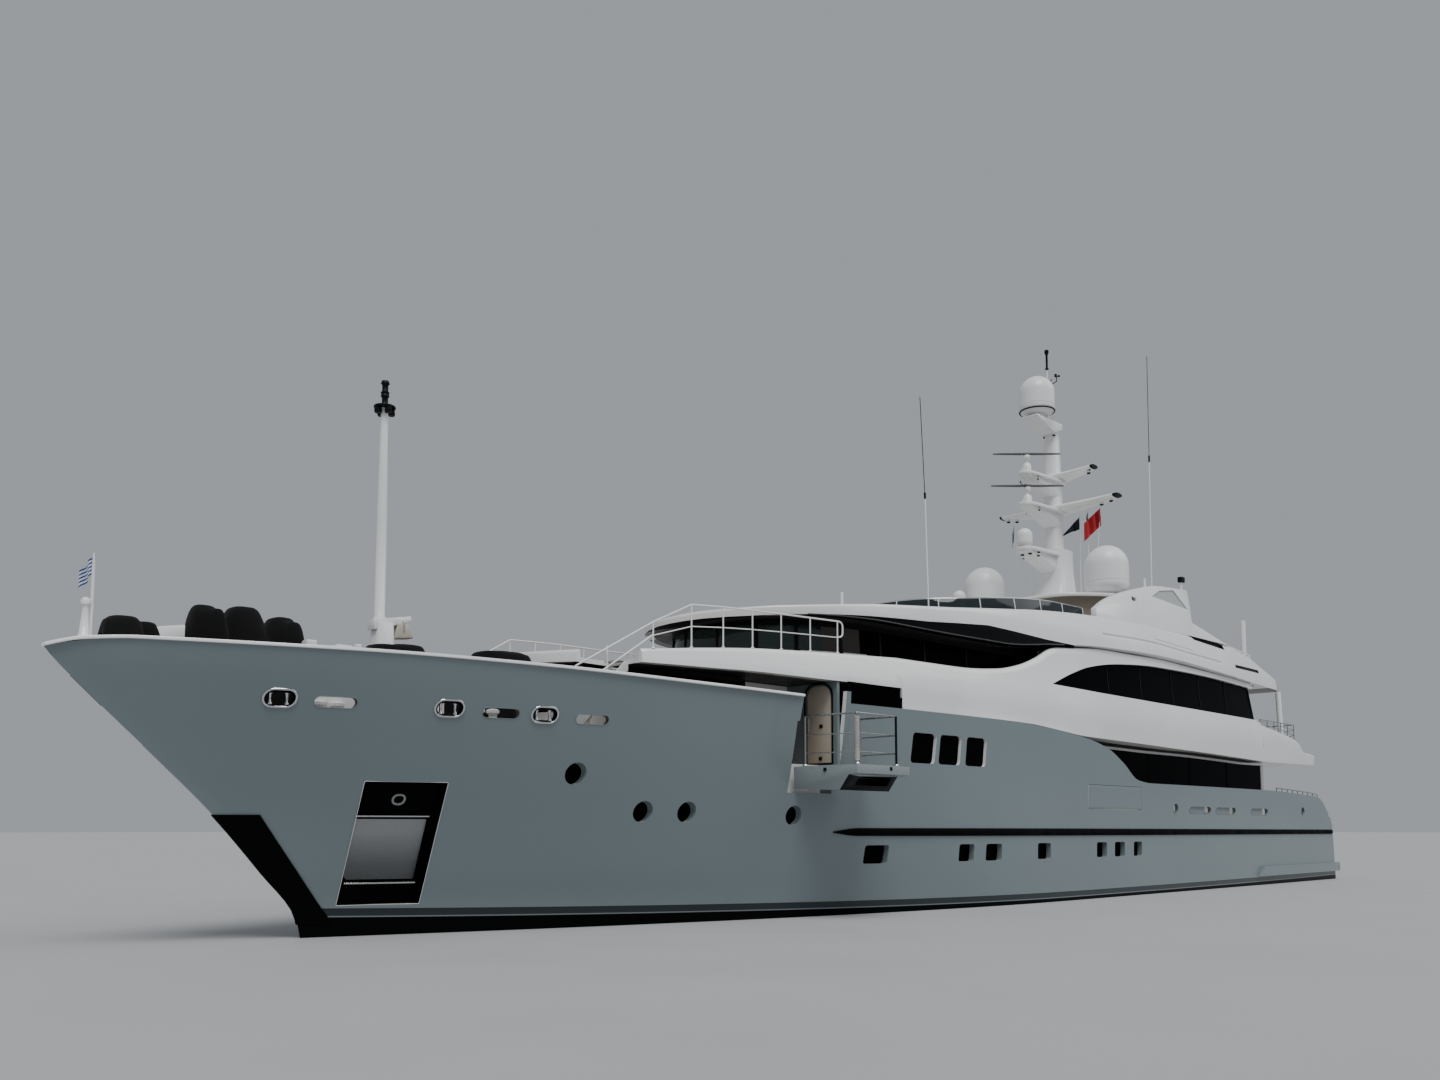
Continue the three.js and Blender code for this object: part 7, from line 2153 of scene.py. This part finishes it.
tubes("awning_poles", mirror_runs(poles), 0.115, RAIL_WHITE, sides=16)
main_posts = [
    (x, half_over(x, 3.8) - 0.07, EDGE_LINE(x) - 0.01, EDGE_LINE(x) + 0.13) for x in spread(-19.3, -24.4, 9)
]
rail("bulwark_rail", main_posts, [], SATIN, radius=0.024)
for name, posts, finish, seed in (
    ("walkway", wing_posts, RAIL_WHITE, 11), ("upper_after", aft_posts, SATIN, 12),
    ("sun_after", sun_posts, RAIL_WHITE, 13),
):
    spots = [(x, s * y, foot + 0.008) for x, y, foot, _ in posts for s in (1, -1) if y or s > 0]
    feet = with_tree(
        piece(f"{name}_rail_feet", (spots, [])), FEET, Radius=0.055 * HALF, Neck=0.026 * HALF, Height=0.035 * HALF,
        Sides=16, Seed=seed, Finish=finish,
    )
    done(feet, finish, angle=50)

# %% [markdown]
# The side platform is a grey slab with a chamfered outer edge and teak on top. Steel stanchions,
# two wires and a rail fence it, and its fore outer stanchion is wrapped in pale line.

# %% Side platforms
slab_view = [(9.64, 4.02), (10.78, 4.02), (10.68, 6.0), (8.58, 6.0), (8.58, 4.66), (9.64, 4.66)]
profile = [(4.02, 3.3), (5.45, 3.24), (5.74, 3.62), (6.0, 3.64), (6.0, 3.858), (4.02, 3.858)]
slab = piece("side_platform_slab_port", pushed(slab_view, "z", 3.0, 4.0))
carve(slab, cutter("profile", pushed(profile, "x", 8, 12)), how="INTERSECT")
slot_view = [(8.95, 3.37), (10.25, 3.37), (10.25, 3.58), (8.95, 3.58)]
carve(
    slab,
    cutter("end slot", pushed(rounded(slot_view, 0.05), "y", 5.2, 7)),
    cutter("aft relief", blocks((8, 8.74, 4, 7, 3, 3.62))),
)
soften(slab, 0.018, 2, 50)
other = mirror_of(slab)
other.name = "side_platform_slab_stbd"


# %% [markdown]
# The slab wears the platform's own grey. The slot through its edge is painted dark inside, and a thin
# black backing closes it: both are painted shade. Teak lies on top as one mat, and each stanchion
# stands in a turned socket.

# %% Finish and fence the side platforms
PLATFORM_PAINT = surface("platform paint", (0.235, 0.27, 0.28), 0.3, drift=0.03, Coat_Weight=0.2)


def platform_finish(face):
    x, y, z = spot_of(face)
    in_slot = 8.9 < x < 10.3 and 5.18 < abs(y) < 5.72 and 3.35 < z < 3.6
    # The slot's inner faces get painted shade.
    return int(in_slot and abs(face.normal.y) < 0.99)


for made, side in ((slab, "port"), (other, "stbd")):
    done(made, [PLATFORM_PAINT, DARK], stands_for=[f"side_platform_{side}"], choose=platform_finish)
slot_shade_back = both_sides(blocks((8.96, 10.24, 5.205, 5.21, 3.38, 3.57)))
done(piece("side_platform_slot_backs", slot_shade_back), DARK)
mat = [(9.72, 4.08), (10.68, 4.08), (10.6, 5.92), (8.66, 5.92), (8.66, 4.74), (9.72, 4.74)]
done(piece("side_platform_teak", both_sides(pushed(mat, "z", 3.8585, 3.868))), TEAK)
stanchions = [(10.66, 4.3, 0.026), (10.56, 5.9, 0.035), (9.0, 5.9, 0.03), (9.0, 4.74, 0.026)]
PLATFORM_Z, FENCE = 3.86, 1.27
for k, (x, y, r) in enumerate(stanchions):
    finish = DARK if k == 2 else SATIN
    tubes(
        f"platform_stanchion_{k + 1}", mirror_runs([[(x, y, PLATFORM_Z), (x, y, PLATFORM_Z + FENCE)]]), r, finish,
        sides=14,
    )
    collar = turned([(0, 0), (0.07, 0), (0.07, 0.02), (0.045, 0.05), (0, 0.05)], (x, y, PLATFORM_Z + 0.006), 20)
    done(piece(f"platform_socket_{k + 1}", both_sides(collar)), CHROME, angle=50)
wires = [[(x, y, PLATFORM_Z + high) for x, y, _ in stanchions] for high in (0.32, 0.78)]
tubes("platform_wires", mirror_runs(wires), 0.014, SATIN, sides=8)
tubes(
    "platform_rail", mirror_runs([[(x, y, PLATFORM_Z + FENCE) for x, y, _ in stanchions]]), 0.024, SATIN,
    sides=12, bend=0.06,
)
ROPE = woven("pale rope", ((0.42, 0.40, 0.36), (0.55, 0.53, 0.48)), 0.9, 400.0)
coil = [(10.56 + 0.05 * cos(t * 2 * pi), 5.9 + 0.05 * sin(t * 2 * pi), 3.96 + t * 0.034) for t in spread(0, 32, 320)]
tubes("platform_post_whipping", mirror_runs([coil]), 0.016, ROPE, sides=6)
squares = [(10.72, 10.76, 4.98, 5.06, 3.72, 3.8), (9.3, 9.4, 5.98, 6.008, 3.74, 3.83)]
squares += [
    (9.5, 9.53, 3.8, 3.89, 4.93, 5.02), (9.5, 9.53, 3.77, 3.86, 4.08, 4.17), (9.355, 9.375, 4.27, 4.35, 4.92, 5.0)
]
done(piece("small_black_lamps", both_sides(blocks(*squares))), DARK)

# %% [markdown]
# ## Below the water
# The running gear is out of the photograph's sight, so it is finished from the boat's type: two
# shafts in brackets, five-bladed propellers, balanced rudders and a pair of stabiliser fins.

# %% Shafts, propellers, rudders, fins
SHAFT_Y, SHAFT_Z = 1.9, -1.98
FIN_AT, FIN_TILT = Vector((-0.3, 3.25, -2.0)), 36.87
BLADES = 5


def along_x(rows, y, z, sides=32):
    verts, faces = turned(rows, (0, 0, 0), sides)
    return [(c, y + b, z + a) for a, b, c in verts], faces


shafts = along_x(
    [(0, -21.36), (0.05, -21.36), (0.05, -20.98), (0.085, -20.98), (0.085, -11.6), (0, -11.6)], SHAFT_Y, SHAFT_Z
)
barrel = along_x(
    [(0, -20.6), (0.13, -20.6), (0.16, -20.5), (0.16, -20.05), (0.13, -19.95), (0, -19.95)], SHAFT_Y, SHAFT_Z
)
strut = lofted([
    [
        (a, 1.86 + 0.04 * (1 + copysign(1, b) * min(1, abs(b))), z)
        for a, b in ((x0, -0.3), (x0, 0.3), (x1, 1), (x1, -1))
    ]
    for z, x0, x1 in ((SHAFT_Z, -20.5, -20.0), (-0.62, -20.4, -19.8))
])
for side, sign in SIDES:
    made = piece(f"shaft_line_{side}", on_side(together(shafts, barrel, strut), sign))
    done(made, CHROME, stands_for=[f"shaft_{side}"], angle=50)
    blades = []
    for i in range(BLADES):
        rings = []
        for t in spread(0, 1, 12):
            r = mix(0.12, 0.84, t)
            chord = max(0.05, 0.2 + 0.52 * sin(pi * min(1, t * 0.93 + 0.03)) ** 0.8 * 0.55 - 0.12 * t)
            pitch = atan2(0.62, r * 1.6)
            dx, dy = sin(pitch) * chord * 0.5, cos(pitch) * chord * 0.5
            thick = mix(0.028, 0.008, t)
            rings.append([(-21.22 + dx * cos(a) + thick * sin(a), dy * cos(a), r) for a in angles_round(12)])
        turn = Matrix.Rotation(2 * pi * i / BLADES, 3, "X")
        verts, faces = lofted(rings)
        blades.append(([tuple(turn @ Vector(v)) for v in verts], faces))
    hub = along_x([(0, -21.44), (0.07, -21.44), (0.11, -21.42), (0.15, -21.25), (0.17, -21.0), (0, -21.0)], 0, 0)
    wheel = together(*blades, hub)
    verts = [(x, sign * (y + SHAFT_Y), z + SHAFT_Z) for x, y, z in wheel[0]]
    done(
        piece(f"propeller_{side}_casting", (verts, wheel[1])), BRONZE, f"propeller_{side}",
        [f"propeller_{side}"], angle=40,
    )
    rings = []
    for z, t in ((-2.72, 0.05), (-2.6, 0.056), (-1.1, 0.08), (-1.02, 0.078)):
        rings.append([
            (mix(-23.6, -22.35, 0.5 + 0.5 * cos(a)), SHAFT_Y + t * sin(a) * (0.45 + 0.55 * cos(a * 0.5) ** 2), z)
            for a in angles_round(16)
        ])
    stock = turned([(0, -1.2), (0.069, -1.2), (0.069, -0.421), (0, -0.421)], (-22.75, SHAFT_Y, 0), 24)
    made = piece(f"rudder_{side}_blade", on_side(together(lofted(rings), stock), sign))
    done(made, HULL_PAINT, f"rudder_{side}", [f"rudder_{side}"], angle=40)
    rings = []
    for z, fore, aft, t in ((-0.06, 0.45, -1.25, 0.08), (-0.95, 0.24, -1.17, 0.055), (-1.05, 0.16, -1.12, 0.03)):
        rings.append([
            (mix(aft, fore, 0.5 + 0.5 * cos(a)), t * sin(a) * (0.4 + 0.6 * cos(a * 0.5) ** 2), z)
            for a in angles_round(20)
        ])
    fin = together(lofted(rings), turned([(0, -0.2), (0.059, -0.2), (0.059, 0.299), (0, 0.299)], (0, 0, 0), 24))
    turn = Matrix.Rotation(radians(FIN_TILT), 3, "X")
    verts = [turn @ Vector(v) + FIN_AT for v in fin[0]]
    made = piece(f"fin_{side}_blade", on_side((verts, fin[1]), sign))
    done(made, HULL_PAINT, f"fin_{side}", [f"fin_{side}"], angle=40)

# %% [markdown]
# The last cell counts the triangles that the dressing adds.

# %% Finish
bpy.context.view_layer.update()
added = [o for o in bpy.data.objects if o.type == "MESH" and "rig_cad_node" not in o]
print("added triangles:", sum(len(face.vertices) - 2 for o in added for face in o.data.polygons))
